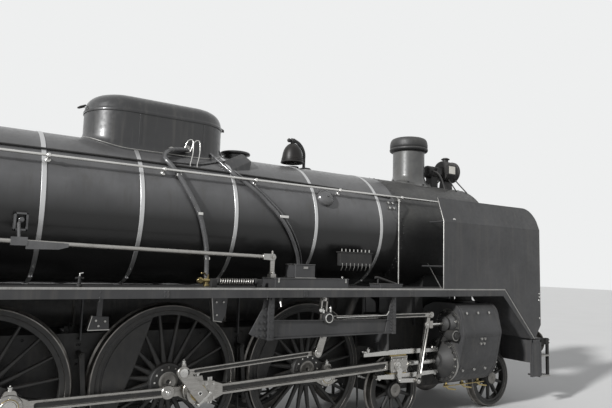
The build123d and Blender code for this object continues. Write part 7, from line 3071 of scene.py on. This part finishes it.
@dataclass
class Cab:
    """Cab: riveted sheets, windows, roof, doors, floor, lining and seats.

    Attributes:
        ends: rear and front.
        side: half width over the sheets.
        window: corners of the side window, x and z.
        doorway: corners of the doorway.
        roof: radius of the roof and its crown's height.
    """

    ends: Point2 = (-6.05, -3.95)
    side: float = 1.5
    window: tuple[Point2, Point2] = ((-5.05, 2.95), (-4.25, 3.56))
    doorway: tuple[Point2, Point2] = ((-5.96, 2.15), (-5.35, 3.78))
    roof: Point2 = (2.915, 4.38)

    def build(self, shop: Shop) -> None:
        """Make the cab.

        Args:
            shop: the geometry node trees.
        """
        dress(PLATE_PAINT, "cab_walls", "cab_roof", "cab_door_right", "cab_door_left")
        dress(WINDOW_GLASS, "cab_glass")
        self.trim()
        self.rivets(shop)
        self.roof_fittings(shop)
        self.inside()
        for side, name in NAMED_SIDES:
            self.door(side, "cab_door_" + name)

    def trim(self) -> None:
        """Window frames, beading round sheets and doorways, drip strips and grab rails."""
        frames, bead, rails = (Work("cab_" + tail, *SIDES) for tail in ("window_frames", "beading", "grab_rails"))
        (wx0, wz0), (wx1, wz1) = self.window
        (dx0, dz0), (dx1, dz1) = self.doorway
        out = self.side
        surround(frames, (wx0, wz0), (wx1, wz1), 0.034, Along.Y, out + 0.0003, out + 0.012)
        low, high = (wx0 + 0.004, wz0 + 0.004), (wx1 - 0.004, wz1 - 0.004)
        surround(frames, low, high, 0.03, Along.Y, out - 0.052, out - 0.0403)
        frames.block((wx0 + wx1) / 2 - 0.014, (wx0 + wx1) / 2 + 0.014, out - 0.017, out + 0.008, wz0, wz1)
        frames.block(wx0 - 0.03, wx1 + 0.03, out + 0.0003, out + 0.035, wz0 - 0.05, wz0 - 0.034)
        surround(frames, (1.08, 3.05), (1.4, 3.65), 0.028, Along.X, self.ends[1] + 0.0003, self.ends[1] + 0.012)
        strip = bow((wx0 - 0.08, wz1 + 0.07), ((wx0 + wx1) / 2, wz1 + 0.13), (wx1 + 0.08, wz1 + 0.07))
        bead.tube([(x, out + 0.006, z) for x, z in strip], 0.009, 8)
        edge = [(self.ends[1] - 0.006, 1.755), (self.ends[0] + 0.006, 1.755), (self.ends[0] + 0.006, 3.92)]
        bead.tube([(x, out + 0.003, z) for x, z in edge], 0.008, 8)
        bead.tube([(self.ends[1] - 0.006, out + 0.003, z) for z in (1.755, 3.92)], 0.008, 8)
        surround(bead, (dx0, dz0), (dx1, dz1), 0.018, Along.Y, out + 0.0003, out + 0.008)
        for x in (dx1 + 0.07, self.ends[0] + 0.03):
            rails.tube([(x, 1.546, 2.3), (x, 1.546, 3.42)], 0.013, 14)
            for z in (2.34, 3.38):
                rails.disc((x, z), 0.026, out, out + 0.01)
                rails.disc((x, z), 0.013, out, 1.546)
        frames.done(BLACK_IRON, bevel=0.002)
        bead.done(EDGE_STEEL)
        rails.done(RAIL_STEEL)

    def rivets(self, shop: Shop) -> None:
        """Rivets along every edge of the sheets.

        Args:
            shop: the geometry node trees.
        """
        x0, x1 = self.ends
        (wx0, wz0), (wx1, _) = self.window
        spots = [(x0 + 0.05 + k * (x1 - x0 - 0.1) / 35, z) for k in range(36) for z in (1.8, 3.885)]
        for k in range(24):
            z = 1.86 + k * 2.0 / 23
            spots += [(x1 - 0.04, z), (-5.19, z)]
            if not 2.1 < z < 3.8:
                spots.append((x0 + 0.04, z))
        spots += [(wx0 + k * (wx1 - wx0) / 11, wz0 - 0.075) for k in range(12)]
        points = [(x, s * self.side, z) for s in SIDES for x, z in spots]
        aims = [(0, math.copysign(1, p[1]), 0) for p in points]
        for k in range(15):
            angle = math.radians(-30 + 60 * k / 14)
            points.append((x1, 1.42 * math.sin(angle) / 0.5, 3.72 + 0.5 * (math.cos(angle) - 0.86)))
            aims.append((1, 0, 0))
        shop.heads("cab_rivets", points, aims, 0.02, 0.007, PLATE_PAINT)

    def crown(self, y: float, lift: float = 0.0) -> float:
        """Height of the roof's outside at a y, lifted off it."""
        radius, top = self.roof
        return top - radius + math.sqrt((radius + lift) ** 2 - y * y)

    def roof_fittings(self, shop: Shop) -> None:
        """Seam strips, rain gutters and the ventilator with its lid.

        Args:
            shop: the geometry node trees.
        """
        strips = Work("cab_roof_strips")
        for x in (-6.13, -5.45, -4.72, -3.99):
            across = [-1.52 + 3.04 * k / 24 for k in range(25)]
            outer = [(y, self.crown(y, 0.006)) for y in across]
            inner = [(y, self.crown(y, -0.003)) for y in reversed(across)]
            strips.prism(outer + inner, Along.X, x - 0.022 if x > -6.1 else -6.14, x + 0.022)
        strips.sides = SIDES
        z = self.crown(1.44)
        strips.tube([(-6.1, 1.44, z + 0.008), (-3.96, 1.44, z + 0.008)], 0.012, 10)
        strips.done(PLATE_PAINT, bevel=0.001)
        vent = Work("cab_ventilator")
        for x0, x1, half, low, high in ((-5.42, -4.62, 0.42, 4.3, 4.425), (-5.46, -4.58, 0.46, 4.425, 4.45)):
            vent.prism([(-half, low), (half, low), (half, high), (0, high + 0.02), (-half, high)], Along.X, x0, x1)
        vent.done(PLATE_PAINT, bevel=0.006)
        points, aims = [], []
        for x in (-6.12, -5.45, -4.72, -3.99):
            for k in range(17):
                y = -1.44 + 2.88 * k / 16
                points.append((x, y, self.crown(y, 0.005)))
                aims.append((0, y, 2.6))
        shop.heads("cab_roof_rivets", points, aims, 0.018, 0.006, PLATE_PAINT)

    def inside(self) -> None:
        """Floor boards, painted lining and the crew's seats."""
        floor = Work("cab_floor_planks")
        for k in range(18):
            low = -1.44 + 0.16 * k
            floor.block(-6.035, -4.42, low + 0.001, min(low + 0.159, 1.44), 2.1255, 2.14)
        floor.done(FLOOR_BOARDS, bevel=0.002)
        lining = Work("cab_lining_panels", *SIDES)
        y = self.side - 0.0403
        for x0, x1, z0, z1 in (
            (-5.3, -4.0, 2.15, 2.9), (-5.3, -4.0, 3.62, 3.85), (-5.3, -5.1, 2.9, 3.62), (-4.2, -4.0, 2.9, 3.62),
        ):
            lining.block(x0, x1, y - 0.003, y, z0, z1)
        lining.block(-3.9935, -3.9905, 1.02, 1.45, 2.15, 3.0)
        lining.block(-3.9935, -3.9905, 1.02, 1.45, 3.68, 3.8)
        lining.done(CAB_LINING, bevel=0.001)
        seats, cushions = Work("crew_seats", *SIDES), Work("crew_seat_cushions", *SIDES)
        seats.disc((-5.03, 1.18), 0.03, 2.141, 2.6, Along.Z)
        seats.disc((-5.03, 1.18), 0.11, 2.141, 2.155, Along.Z)
        seats.block(-5.19, -4.87, 1.02, 1.34, 2.6, 2.615)
        cushions.plate(rounded([(-5.19, 2.615), (-4.87, 2.615), (-4.875, 2.655), (-5.185, 2.655)], 0.018), 1.02, 1.34)
        seats.done(BLACK_IRON, bevel=0.003)
        cushions.done(RUBBER, bevel=0.012, segments=3)

    def door(self, side: int, name: str) -> None:
        """Beading, latch and hinge straps of one half door, on its own body.

        Args:
            side: RIGHT or LEFT.
            name: the side's name.
        """
        work = Work(name + "_fittings", side)
        for near, far in ((1.4963, 1.501), (1.457, 1.4617)):
            surround(work, (-5.925, 2.19), (-5.44, 3.09), 0.016, Along.Y, near, far)
        work.flat((-5.92, 2.64), (-5.45, 2.64), 0.03, 1.4963, 1.501)
        for y0, y1 in ((1.4963, 1.51), (1.448, 1.4617)):
            work.disc((-5.9, 2.83), 0.022, y0, y1)
        work.tube([(-5.9, 1.512, 2.83), (-5.83, 1.515, 2.835)], 0.009)
        work.tube([(-5.9, 1.446, 2.83), (-5.83, 1.44, 2.835)], 0.009)
        work.done(EDGE_STEEL, name, bevel=0.001)


@dataclass
class Backhead:
    """Boiler fittings in the cab: fire door, regulator, gauges, water glasses and reversing stand.

    Attributes:
        plate: rear face of the firebox.
        gauges: y and z of the pressure gauges.
        wheel: y and z of the reversing wheel.
    """

    plate: float = -4.4
    gauges: tuple[Point2, ...] = ((-0.42, 3.7), (-0.14, 3.7), (0.14, 3.7), (0.42, 3.7))
    wheel: Point2 = (-1.2, 2.95)

    def build(self, shop: Shop) -> None:
        """Make the fittings.

        Args:
            shop: the geometry node trees.
        """
        iron, bright = Work("backhead_castings"), Work("backhead_bright_work")
        self.fire_door(iron)
        self.regulator(iron, bright)
        self.pressure_gauges(iron, bright)
        self.water_gauges(bright)
        self.valves(iron, bright)
        self.reverser(iron, bright)
        iron.done(BLACK_IRON, bevel=0.004, stands_for="backhead", slot="cast_black")
        bright.done(BRASS, bevel=0.001)
        self.stays(shop)
        self.pipes(shop)

    def fire_door(self, iron: Work) -> None:
        """Fire door on its frame, with its handle.

        Args:
            iron: the castings that it joins.
        """
        x = self.plate
        iron.prism(rounded([(-0.27, 2.33), (0.27, 2.33), (0.27, 2.8), (-0.27, 2.8)], 0.12, 6), Along.X, x - 0.02, x)
        iron.disc((0, 2.56), 0.215, x - 0.04, x - 0.02, Along.X, 48)
        iron.disc((0, 2.56), 0.05, x - 0.055, x - 0.04, Along.X)
        iron.tube([(x - 0.05, 0.17, 2.6), (x - 0.1, 0.17, 2.6), (x - 0.1, 0.17, 2.52), (x - 0.05, 0.17, 2.52)], 0.01)

    def regulator(self, iron: Work, bright: Work) -> None:
        """Regulator's stuffing box and handle.

        Args:
            iron: the castings that it joins.
            bright: the bright work that it joins.
        """
        x = self.plate
        iron.disc((0, 3.35), 0.075, x - 0.06, x, Along.X)
        iron.disc((0, 3.35), 0.045, x - 0.155, x - 0.06, Along.X)
        bright.prism(hull((0.0, 3.35), (0.0, 3.0), 0.035, 0.016), Along.X, x - 0.148, x - 0.132)
        bright.tube([(x - 0.14, 0, 3.02), (x - 0.2, 0, 3.0)], 0.016)

    def pressure_gauges(self, iron: Work, bright: Work) -> None:
        """Round gauges with rings, white faces, scale marks and needles.

        Args:
            iron: the castings that it joins.
            bright: the bright work that it joins.
        """
        x = self.plate
        faces, marks = Work("gauge_faces"), Work("gauge_needles")
        case = [
            (0, x), (0.03, x), (0.03, x - 0.02), (0.078, x - 0.025), (0.085, x - 0.035), (0.085, x - 0.055),
            (0.076, x - 0.058), (0, x - 0.05),
        ]
        for y, z in self.gauges:
            iron.lathe(case, Along.X, (y, z), 36)
            bright.ring((y, z), 0.087, 0.073, x - 0.052, x - 0.061, Along.X, 36, 0.002)
            faces.disc((y, z), 0.074, x - 0.05, x - 0.0585, Along.X, 36, 0.001)
            marks.disc((y, z), 0.012, x - 0.0584, x - 0.062, Along.X, 12)
            marks.tube([(x - 0.0605, y - 0.018, z - 0.012), (x - 0.0605, y + 0.05, z + 0.034)], 0.0022, 6)
            for k in range(11):
                a = math.radians(225 - 27 * k)
                near, far = 0.052, 0.066
                tick = [(x - 0.0588, y + r * math.cos(a), z + r * math.sin(a)) for r in (near, far)]
                marks.tube(tick, 0.0014, 4)
        faces.done(WHITE_ENAMEL)
        marks.done(BLACK_IRON)

    def water_gauges(self, bright: Work) -> None:
        """Two water glasses between their cocks, with drain pipes.

        Args:
            bright: the bright work that it joins.
        """
        x = self.plate
        glass = Work("water_gauge_glasses")
        for y in (-0.3, 0.3):
            for z in (3.08, 3.42):
                bright.block(x - 0.07, x, y - 0.022, y + 0.022, z - 0.022, z + 0.022)
                bright.tube([(x - 0.05, y, z), (x - 0.05, y + 0.09, z)], 0.009)
            glass.disc((x - 0.05, y), 0.009, 3.09, 3.41, Along.Z, 16)
            bright.tube([(x - 0.05, y, 3.08), (x - 0.05, y, 2.9)], 0.006)
        glass.done(LENS_GLASS)

    def valves(self, iron: Work, bright: Work) -> None:
        """Four valves with crossed handles.

        Args:
            iron: the castings that it joins.
            bright: the bright work that it joins.
        """
        x = self.plate
        for y, z in ((-0.62, 3.15), (0.62, 3.15), (-0.52, 3.45), (0.52, 3.45)):
            iron.disc((y, z), 0.03, x - 0.09, x, Along.X)
            bright.tube([(x - 0.1, y - 0.05, z), (x - 0.1, y + 0.05, z)], 0.01)
            bright.tube([(x - 0.1, y, z - 0.05), (x - 0.1, y, z + 0.05)], 0.01)

    def reverser(self, iron: Work, bright: Work) -> None:
        """Reversing stand with its wheel, and the shaft towards the reach rod.

        Args:
            iron: the castings that it joins.
            bright: the bright work that it joins.
        """
        wy, wz = self.wheel
        iron.block(-4.82, -4.7, wy - 0.05, wy + 0.05, 2.141, 2.9)
        iron.block(-4.84, -4.68, wy - 0.09, wy + 0.09, 2.141, 2.165)
        iron.disc((wy, wz), 0.05, -4.8, -4.66, Along.X)
        ways = turned(36)
        bright.tube([(-4.715, wy + 0.225 * c, wz + 0.225 * s) for c, s in (*ways, ways[0])], 0.0145, 10)
        for c, s in turned(6):
            bright.tube([(-4.715, wy + r * c, wz + r * s) for r in (0.03, 0.22)], 0.009, 8)
        bright.tube([(-4.715, wy, wz + 0.225), (-4.8, wy, wz + 0.225)], 0.012)
        bright.tube([(-4.66, wy, wz), (-3.99, wy, wz - 0.25)], 0.016)

    def stays(self, shop: Shop) -> None:
        """Stay heads over the plate, clear of the fittings.

        Args:
            shop: the geometry node trees.
        """
        x = self.plate
        points = []
        for row in range(9):
            for column in range(9):
                y, z = -0.76 + 0.19 * column, 2.25 + 0.19 * row
                far = math.hypot(y, z - Boiler.height) < 0.9 or z < 3.1
                busy = abs(y) < 0.32 and z < 2.85 or z > 3.56 or abs(y) < 0.12 and z > 2.9
                if far and not busy:
                    points.append((x - 0.0005, y, z))
        shop.heads("firebox_stay_heads", points, [(-1, 0, 0)], 0.026, 0.009, BLACK_IRON)

    def pipes(self, shop: Shop) -> None:
        """Four small pipes from the fittings to the floor.

        Args:
            shop: the geometry node trees.
        """
        x = self.plate
        for y0, y1, z0, name in (
            (-0.14, -0.1, 3.6, "a"), (0.14, 0.2, 3.6, "b"), (-0.62, -0.75, 3.15, "c"), (0.62, 0.75, 3.15, "d"),
        ):
            path = [
                (x - 0.03, y0, z0), (x - 0.05, y0, z0 - 0.12), (x - 0.05, y1, z0 - 0.3), (x - 0.04, y1, 2.7),
                (x - 0.04, y1, 2.15),
            ]
            shop.bend_pipe("backhead_pipe_" + name, path, 0.009, COPPER, facets=10)


# Frames, springs, brakes, bogie, truck and injectors


@dataclass
class Underframe:
    """What carries the engine: plate frames, leaf springs, brake gear, bogie and trailing truck.

    Attributes:
        drivers: places of the driving axles.
        leaves: number of leaves in a spring.
        leaf: thickness of one leaf.
        brake: pin of a brake hanger, back from its axle, and its height.
        tank: ends of the air tank.
        tank_height: height of its middle.
    """

    drivers: tuple[float, ...] = (-2.085, 0.0, 2.085)
    leaves: int = 8
    leaf: float = 0.0098
    brake: Point2 = (-1.042, 1.33)
    tank: Point2 = (-2.3, 3.15)
    tank_height: float = 1.82

    def build(self, shop: Shop) -> None:
        """Make everything below the boards that isn't wheels or motion.

        Args:
            shop: the geometry node trees.
        """
        dress(FRAME_PAINT, "main_frames", "bogie_frame", "truck_frame")
        self.frames(shop)
        self.springs()
        self.brakes()
        self.air_tank()
        self.bogie(shop)
        self.truck(shop)
        self.injectors(shop)

    def frames(self, shop: Shop) -> None:
        """Rivets and horn bolts on the frame plates, and the horn stays.

        Args:
            shop: the geometry node trees.
        """
        points: list[Point3] = []
        stays = Work("horn_stays")
        stays.block(3.33, 3.36, -0.59, 0.59, 1.5, 2.0)
        stays.block(3.27, 3.42, -0.59, 0.59, 1.99, 2.005)
        stays.sides = SIDES
        for x in self.drivers:
            stays.block(x - 0.21, x + 0.21, 0.6325, 0.672, 0.735, 0.777)
            for dx in (-0.21, 0.21):
                for k in range(5):
                    points.append((x + dx, 0.632, 0.83 + 0.08 * k))
        for x in (-1.06, -1.03, 1.03, 1.06, 3.225, 3.265, 6.2, 6.24):
            for k in range(5):
                points.append((x, 0.632, 1.2 + 0.075 * k))
        for k in range(40):
            x = -6.0 + 0.31 * k
            if min(abs(x - d) for d in self.drivers) > 0.3 and x < 6.4:
                points.append((x, 0.632, 1.5))
        stays.done(FRAME_PAINT, bevel=0.004)
        shop.heads("frame_rivets", points, OUTWARD, 0.032, 0.012, FRAME_PAINT, sides=SIDES)
        plate = Work("drag_plate")
        plate.prism(rounded([(-0.2, 1.15), (0.2, 1.15), (0.2, 1.42), (-0.2, 1.42)], 0.03), Along.X, -6.158, -6.1505)
        plate.done(FRAME_PAINT, bevel=0.002)
        rear = [(-6.1505, y, z) for y in (0.3, 0.55, 0.8, 1.05, 1.3) for z in (1.14, 1.46)]
        shop.heads("drag_beam_rivets", rear, [(-1, 0, 0)], 0.03, 0.011, FRAME_PAINT, sides=SIDES)

    def springs(self) -> None:
        """Laminated springs with cambered leaves, buckles and hanger links."""
        work, links = Work("driver_leaf_springs", *SIDES), Work("spring_buckles", *SIDES)
        for x in self.drivers:
            for step in range(self.leaves):
                half = 0.46 - 0.048 * step
                low = 1.236 + 0.0105 * step
                spots = [half * (k / 6 - 1) for k in range(13)]
                curve = [(x + u, low + 0.03 * (u / 0.46) ** 2) for u in spots]
                upper = [(px, pz + self.leaf) for px, pz in reversed(curve)]
                work.plate(curve + upper, 0.472, 0.553)
            links.plate(
                rounded([(x - 0.034, 1.228), (x + 0.034, 1.228), (x + 0.034, 1.328), (x - 0.034, 1.328)], 0.008),
                0.462, 0.563,
            )
            links.block(x - 0.045, x + 0.045, 0.462, 0.598, 1.1305, 1.229)
            for end in (-0.45, 0.45):
                links.disc((x + end, 1.268), 0.021, 0.462, 0.563)
                links.flat((x + end, 1.268), (x + end, 1.14), 0.026, 0.555, 0.598)
                links.disc((x + end, 1.15), 0.02, 0.545, 0.602)
        work.done(FRAME_PAINT, bevel=0.001, stands_for="driver_springs", slot="frame_black")
        links.done(FRAME_PAINT, bevel=0.003)

    def brakes(self) -> None:
        """Hangers, cast blocks, cross beams and pull rods."""
        back, high = self.brake
        work, blocks = Work("brake_hangers", *SIDES), Work("brake_blocks", *SIDES)
        for axle in self.drivers:
            x = axle + back
            work.plate(hull((axle - 0.975, 0.62), (x, high), 0.024, 0.03), 0.787, 0.823)
            work.disc((x, high), 0.03, 0.6325, 0.845)
            work.nut((x, high), 0.06, 0.823, 0.85)
            outer = arc((axle, 0.95), 1.006, 194, 210, 8)
            inner = arc((axle, 0.95), 0.9615, 210, 194, 8)
            blocks.plate(outer + inner, 0.766, 0.844)
            lug = [
                (axle - 1.0, 0.69), (axle - 0.955, 0.66), (axle - 0.93, 0.58), (axle - 0.96, 0.56),
                (axle - 1.01, 0.6),
            ]
            blocks.plate(lug, 0.783, 0.827)
            work.nut((axle - 0.975, 0.62), 0.055, 0.823, 0.842)
            work.block(axle - 1.0, axle - 0.95, 0.28, 0.32, 0.545, 0.64)
        work.tube([(-3.0, 0.3, 0.56), (2.0, 0.3, 0.56)], 0.016, 12)
        work.sides = MIDDLE
        for axle in self.drivers:
            work.disc((axle - 0.975, 0.62), 0.0245, -0.84, 0.84)
        work.done(FRAME_PAINT, bevel=0.003, stands_for="brake_gear", slot="frame_black")
        blocks.done(BLACK_IRON, bevel=0.004)

    def air_tank(self) -> None:
        """Long air tank between the frames: domed ends, rolled seams, straps on their saddles, and its pipes."""
        (x0, x1), z = self.tank, self.tank_height
        tank = Work("air_tank")
        dome = [(0.0, 0.0), (0.09, 0.005), (0.16, 0.02), (0.21, 0.05), (0.233, 0.085), (0.24, 0.13)]
        shell = [(radius, x0 + dx) for radius, dx in dome] + [(radius, x1 - dx) for radius, dx in reversed(dome)]
        tank.lathe(shell, Along.X, (0, z), 48)
        for x in (x0 + 0.15, -0.55, 1.45, x1 - 0.15):
            tank.disc((0, z), 0.243, x - 0.02, x + 0.02, Along.X, 48)
        for x in (-1.045, 1.045):
            tank.block(x - 0.03, x + 0.03, -0.16, 0.16, 1.5003, 1.7)
            tank.disc((0, z), 0.247, x - 0.025, x + 0.025, Along.X, 48)
        tank.sides = SIDES
        for x in (-1.045, 1.045):
            tank.disc((x, 0.262), 0.012, 1.6, 1.84, Along.Z)
            tank.block(x - 0.022, x + 0.022, 0.14, 0.285, 1.6, 1.615)
        tank.done(FRAME_PAINT, bevel=0.003)

    def bogie(self, shop: Shop) -> None:
        """Axlebox keeps, springs, guard irons and bolts of the leading bogie, on its body.

        Args:
            shop: the geometry node trees.
        """
        work = Work("bogie_fittings", *SIDES)
        points: list[Point3] = []
        for x in (3.8, 6.16):
            work.block(x - 0.15, x + 0.15, 0.5485, 0.56, 0.355, 0.372)
            for dx in (-0.1, 0.1):
                work.disc((x + dx, 0.6), 0.012, 0.64, 0.72, Along.Z)
                work.disc((x + dx, 0.6), 0.035, 0.64, 0.652, Along.Z)
            for dz in (0.43, 0.6):
                for dx in (-0.16, 0.16):
                    points.append((x + dx, 0.548, dz))
        work.flat((6.42, 0.5), (6.62, 0.16), 0.07, 0.5485, 0.566)
        for k in range(9):
            points.append((4.35 + k * 0.16, 0.548, 0.76))
            points.append((4.35 + k * 0.16, 0.548, 0.46))
        work.done(FRAME_PAINT, "bogie", bevel=0.003)
        shop.heads("bogie_rivets", points, OUTWARD, 0.026, 0.01, FRAME_PAINT, "bogie", sides=SIDES)

    def truck(self, shop: Shop) -> None:
        """Leaf springs over the trailing axleboxes and bolts of the truck, on its body.

        Args:
            shop: the geometry node trees.
        """
        work = Work("truck_springs", *SIDES)
        points: list[Point3] = []
        for step in range(7):
            half = 0.42 - 0.05 * step
            spots = [half * (k / 6 - 1) for k in range(13)]
            curve = [(-4.75 + u, 0.742 + 0.0105 * step + 0.03 * (u / 0.42) ** 2) for u in spots]
            upper = [(px, pz + self.leaf) for px, pz in reversed(curve)]
            work.plate(curve + upper, 0.56, 0.64)
        work.block(-4.79, -4.71, 0.552, 0.648, 0.7205, 0.828)
        for end in (-0.41, 0.41):
            work.tube([(-4.75 + end, 0.6, 0.775), (-4.75 + end, 0.575, 0.6)], 0.016)
            work.disc((-4.75 + end, 0.775), 0.02, 0.55, 0.65)
        for x in (-5.18, -5.05, -4.5, -4.36):
            for z in (0.49, 0.57):
                points.append((x, 0.56, z))
        work.done(FRAME_PAINT, "truck", bevel=0.0015)
        shop.heads("truck_bolts", points, OUTWARD, 0.03, 0.014, FRAME_PAINT, "truck", round_head=False, sides=SIDES)

    def injectors(self, shop: Shop) -> None:
        """Injectors under the cab with their water, steam and delivery pipes, and sand pipes to the drivers.

        Args:
            shop: the geometry node trees.
        """
        profile = [
            (0, -3.86), (0.035, -3.86), (0.05, -3.84), (0.05, -3.78), (0.065, -3.76), (0.065, -3.6), (0.045, -3.56),
            (0.045, -3.46), (0.06, -3.45), (0.06, -3.42), (0, -3.42),
        ]
        pipes = (
            ("delivery_pipe_", 0.024, BLACK_IRON, [
                (-3.42, 1.18, 1.72), (-3.2, 1.18, 1.72), (-2.9, 1.16, 1.86), (-2.6, 1.12, 2.03), (-2.2, 1.1, 2.07),
                (0.2, 1.1, 2.07), (0.43, 0.95, 2.09), (0.43, 0.93, 2.17),
            ]),
            ("injector_steam_pipe_", 0.022, COPPER, [
                (-3.86, 1.18, 1.72), (-4.0, 1.18, 1.72), (-4.1, 1.12, 1.85), (-4.12, 1.08, 2.08),
            ]),
            ("suction_pipe_", 0.028, BLACK_IRON, [
                (-3.7, 1.18, 1.7), (-3.7, 1.18, 1.5), (-3.9, 1.1, 1.38), (-4.9, 0.98, 1.35), (-6.05, 0.95, 1.32),
            ]),
        )
        sand = ((1.06, 0.655, 1.45), (1.06, 0.66, 1.1), (1.08, 0.7, 0.6), (1.02, 0.79, 0.16), (0.96, 0.79, 0.09))
        for side, name in NAMED_SIDES:
            body = Work("injector_" + name, side)
            body.lathe(profile, Along.X, (1.18, 1.72), 28)
            body.disc((-3.7, 1.18), 0.04, 1.72, 1.83, Along.Z)
            body.nut((-3.7, 1.18), 0.07, 1.83, 1.86, Along.Z)
            body.disc((-3.6, 1.72), 0.03, 1.18, 1.28)
            body.done(BRASS, bevel=0.003)
            for title, radius, finish, path in pipes:
                shop.bend_pipe(title + name, path, radius, finish, side=side)
            for axle, mark in ((0.0, "main"), (2.085, "front")):
                path = [(axle + dx, y, z) for dx, y, z in sand]
                shop.bend_pipe(f"sanding_pipe_{mark}_{name}", path, 0.016, BLACK_IRON, facets=10, side=side)


DRIVER_PITCH = 2.085
PARTS = (
    Boiler(), Dome(), Chimney(), TopFeed(), Bell(), Lamps(), Handrails(), BoilerPipes(),
    WheelSet("main_drivers", "main_drivers", "main_wheels", 0.0, chord=0.48),
    WheelSet("front_drivers", "front_drivers", "front_wheels", DRIVER_PITCH, chord=0.6),
    WheelSet("rear_drivers", "rear_drivers", "rear_wheels", -DRIVER_PITCH, chord=0.6),
    WheelSet("bogie_rear", "bogie_rear_axle", "bogie_wheels_rear", 3.8, 0.5, 10, 0.135, 0.085, 0.045, (0.074, 0.05)),
    WheelSet(
        "bogie_front", "bogie_front_axle", "bogie_wheels_front", 6.16, 0.5, 10, 0.135, 0.085, 0.045, (0.074, 0.05),
    ),
    WheelSet("trailing", "truck_axle", "trailing_wheels", -4.75, 0.56, 11, 0.135, 0.085, 0.045, (0.074, 0.05)),
    CouplingRod(RIGHT, "coupling_rod_right", "coupling_right"),
    CouplingRod(LEFT, "coupling_rod_left", "coupling_left"),
    MainMotion(), ValveGear(), MotionGirders(), Cylinders(),
    RunningBoards(), Deflectors(), BoardFittings(), FrontEnd(), SmokeboxDoor(),
    Cab(), Backhead(), Underframe(),
)


# Studio and camera


@dataclass
class Studio:
    """Pale floor, soft daylight-like studio light and a pale surround."""

    floor: float = 90.0
    lamp: float = 4.0
    spread: float = 4.0
    sky: float = 0.42
    surround: str = "eeefef"

    def build(self) -> None:
        """Make floor, lamp and world."""
        data = bpy.data.meshes.new("studio_floor")
        s = self.floor
        data.from_pydata([(-s, -s, 0), (s, -s, 0), (s, s, 0), (-s, s, 0)], [], [(0, 1, 2, 3)])
        data.materials.append(self.paper())
        show("studio_floor", data)
        light = bpy.data.lights.new("studio_sun", "SUN")
        light.energy = self.lamp
        light.angle = math.radians(self.spread)
        lamp = show("studio_sun", light)
        lamp.rotation_euler = Vector((-0.88, -0.27, 0.39)).to_track_quat("Z", "Y").to_euler()
        self.world()

    def paper(self) -> bpy.types.Material:
        """Pale matt floor paper, faintly mottled.

        Returns:
            The material.
        """
        material = bpy.data.materials.new("floor_paper")
        material.use_nodes = True
        nodes = Nodes(material.node_tree)
        place = nodes.add("ShaderNodeTexCoord", {}, "Object")
        mottle = nodes.add("ShaderNodeTexNoise", {"Scale": 0.6, "Detail": 3.0, "Vector": place})
        tone = nodes.mix(mottle, "d9d9d8", "d2d2d1")
        shader = nodes.add("ShaderNodeBsdfPrincipled", {"Roughness": 0.9, "Base Color": tone})
        nodes.add("ShaderNodeOutputMaterial", {"Surface": shader})
        return material

    def world(self) -> None:
        """Soft overcast light, seen by camera, gloss and glass as a pale surround."""
        world = bpy.data.worlds.new("studio_surround")
        bpy.context.scene.world = world
        world.use_nodes = True
        nodes = Nodes(world.node_tree)
        rays = nodes.add("ShaderNodeLightPath").node.outputs
        seen = rays["Is Camera Ray"]
        for name in ("Is Glossy Ray", "Is Transmission Ray"):
            seen = nodes.calc("MAXIMUM", seen, rays[name])
        soft = nodes.add("ShaderNodeBackground", {"Color": linear("f4f5f7"), "Strength": self.sky})
        pale = nodes.add("ShaderNodeBackground", {"Color": linear(self.surround), "Strength": 1.0})
        both = nodes.add("ShaderNodeMixShader", {0: seen, 1: soft, 2: pale})
        nodes.add("ShaderNodeOutputWorld", {0: both})


@dataclass
class Viewpoint:
    """The photograph's camera: low, beside the engine and a little behind the dome.

    Attributes:
        place: its position in the frame's metres.
        yaw: way it looks, in degrees from the engine's length towards its left.
        pitch: how far it looks up.
        roll: how far it leans.
        lens: focal length in millimetres on a 36 mm sensor.
    """

    place: Point3 = (-3.234, -7.897, 2.465)
    yaw: float = 56.831
    pitch: float = 6.262
    roll: float = 1.659
    lens: float = 33.31

    def build(self) -> None:
        """Make the camera and use it."""
        yaw, pitch, roll = (math.radians(a) for a in (self.yaw, self.pitch, self.roll))
        ahead = Vector((math.cos(yaw) * math.cos(pitch), math.sin(yaw) * math.cos(pitch), math.sin(pitch)))
        level = Vector((math.sin(yaw), -math.cos(yaw), 0.0))
        up = level.cross(ahead)
        right = level * math.cos(roll) + up * math.sin(roll)
        top = up * math.cos(roll) - level * math.sin(roll)
        data = bpy.data.cameras.new("photograph_camera")
        data.sensor_width = 36.0
        data.lens = self.lens
        data.clip_end = 400.0
        camera = show("photograph_camera", data)
        turn = Matrix((right, top, -ahead)).transposed().to_4x4()
        camera.matrix_world = Matrix.Translation(self.place) @ turn
        bpy.context.scene.camera = camera


def main() -> None:
    """Build every sub-assembly, light it and write the sizes."""
    logging.basicConfig(level=logging.INFO, format="%(name)s: %(message)s")
    bpy.context.scene.view_settings.view_transform = "Standard"
    shop = Shop()
    for part in PARTS:
        log.info("building %s", type(part).__name__)
        part.build(shop)
    Studio().build()
    Viewpoint().build()


if __name__ == "__main__":
    main()
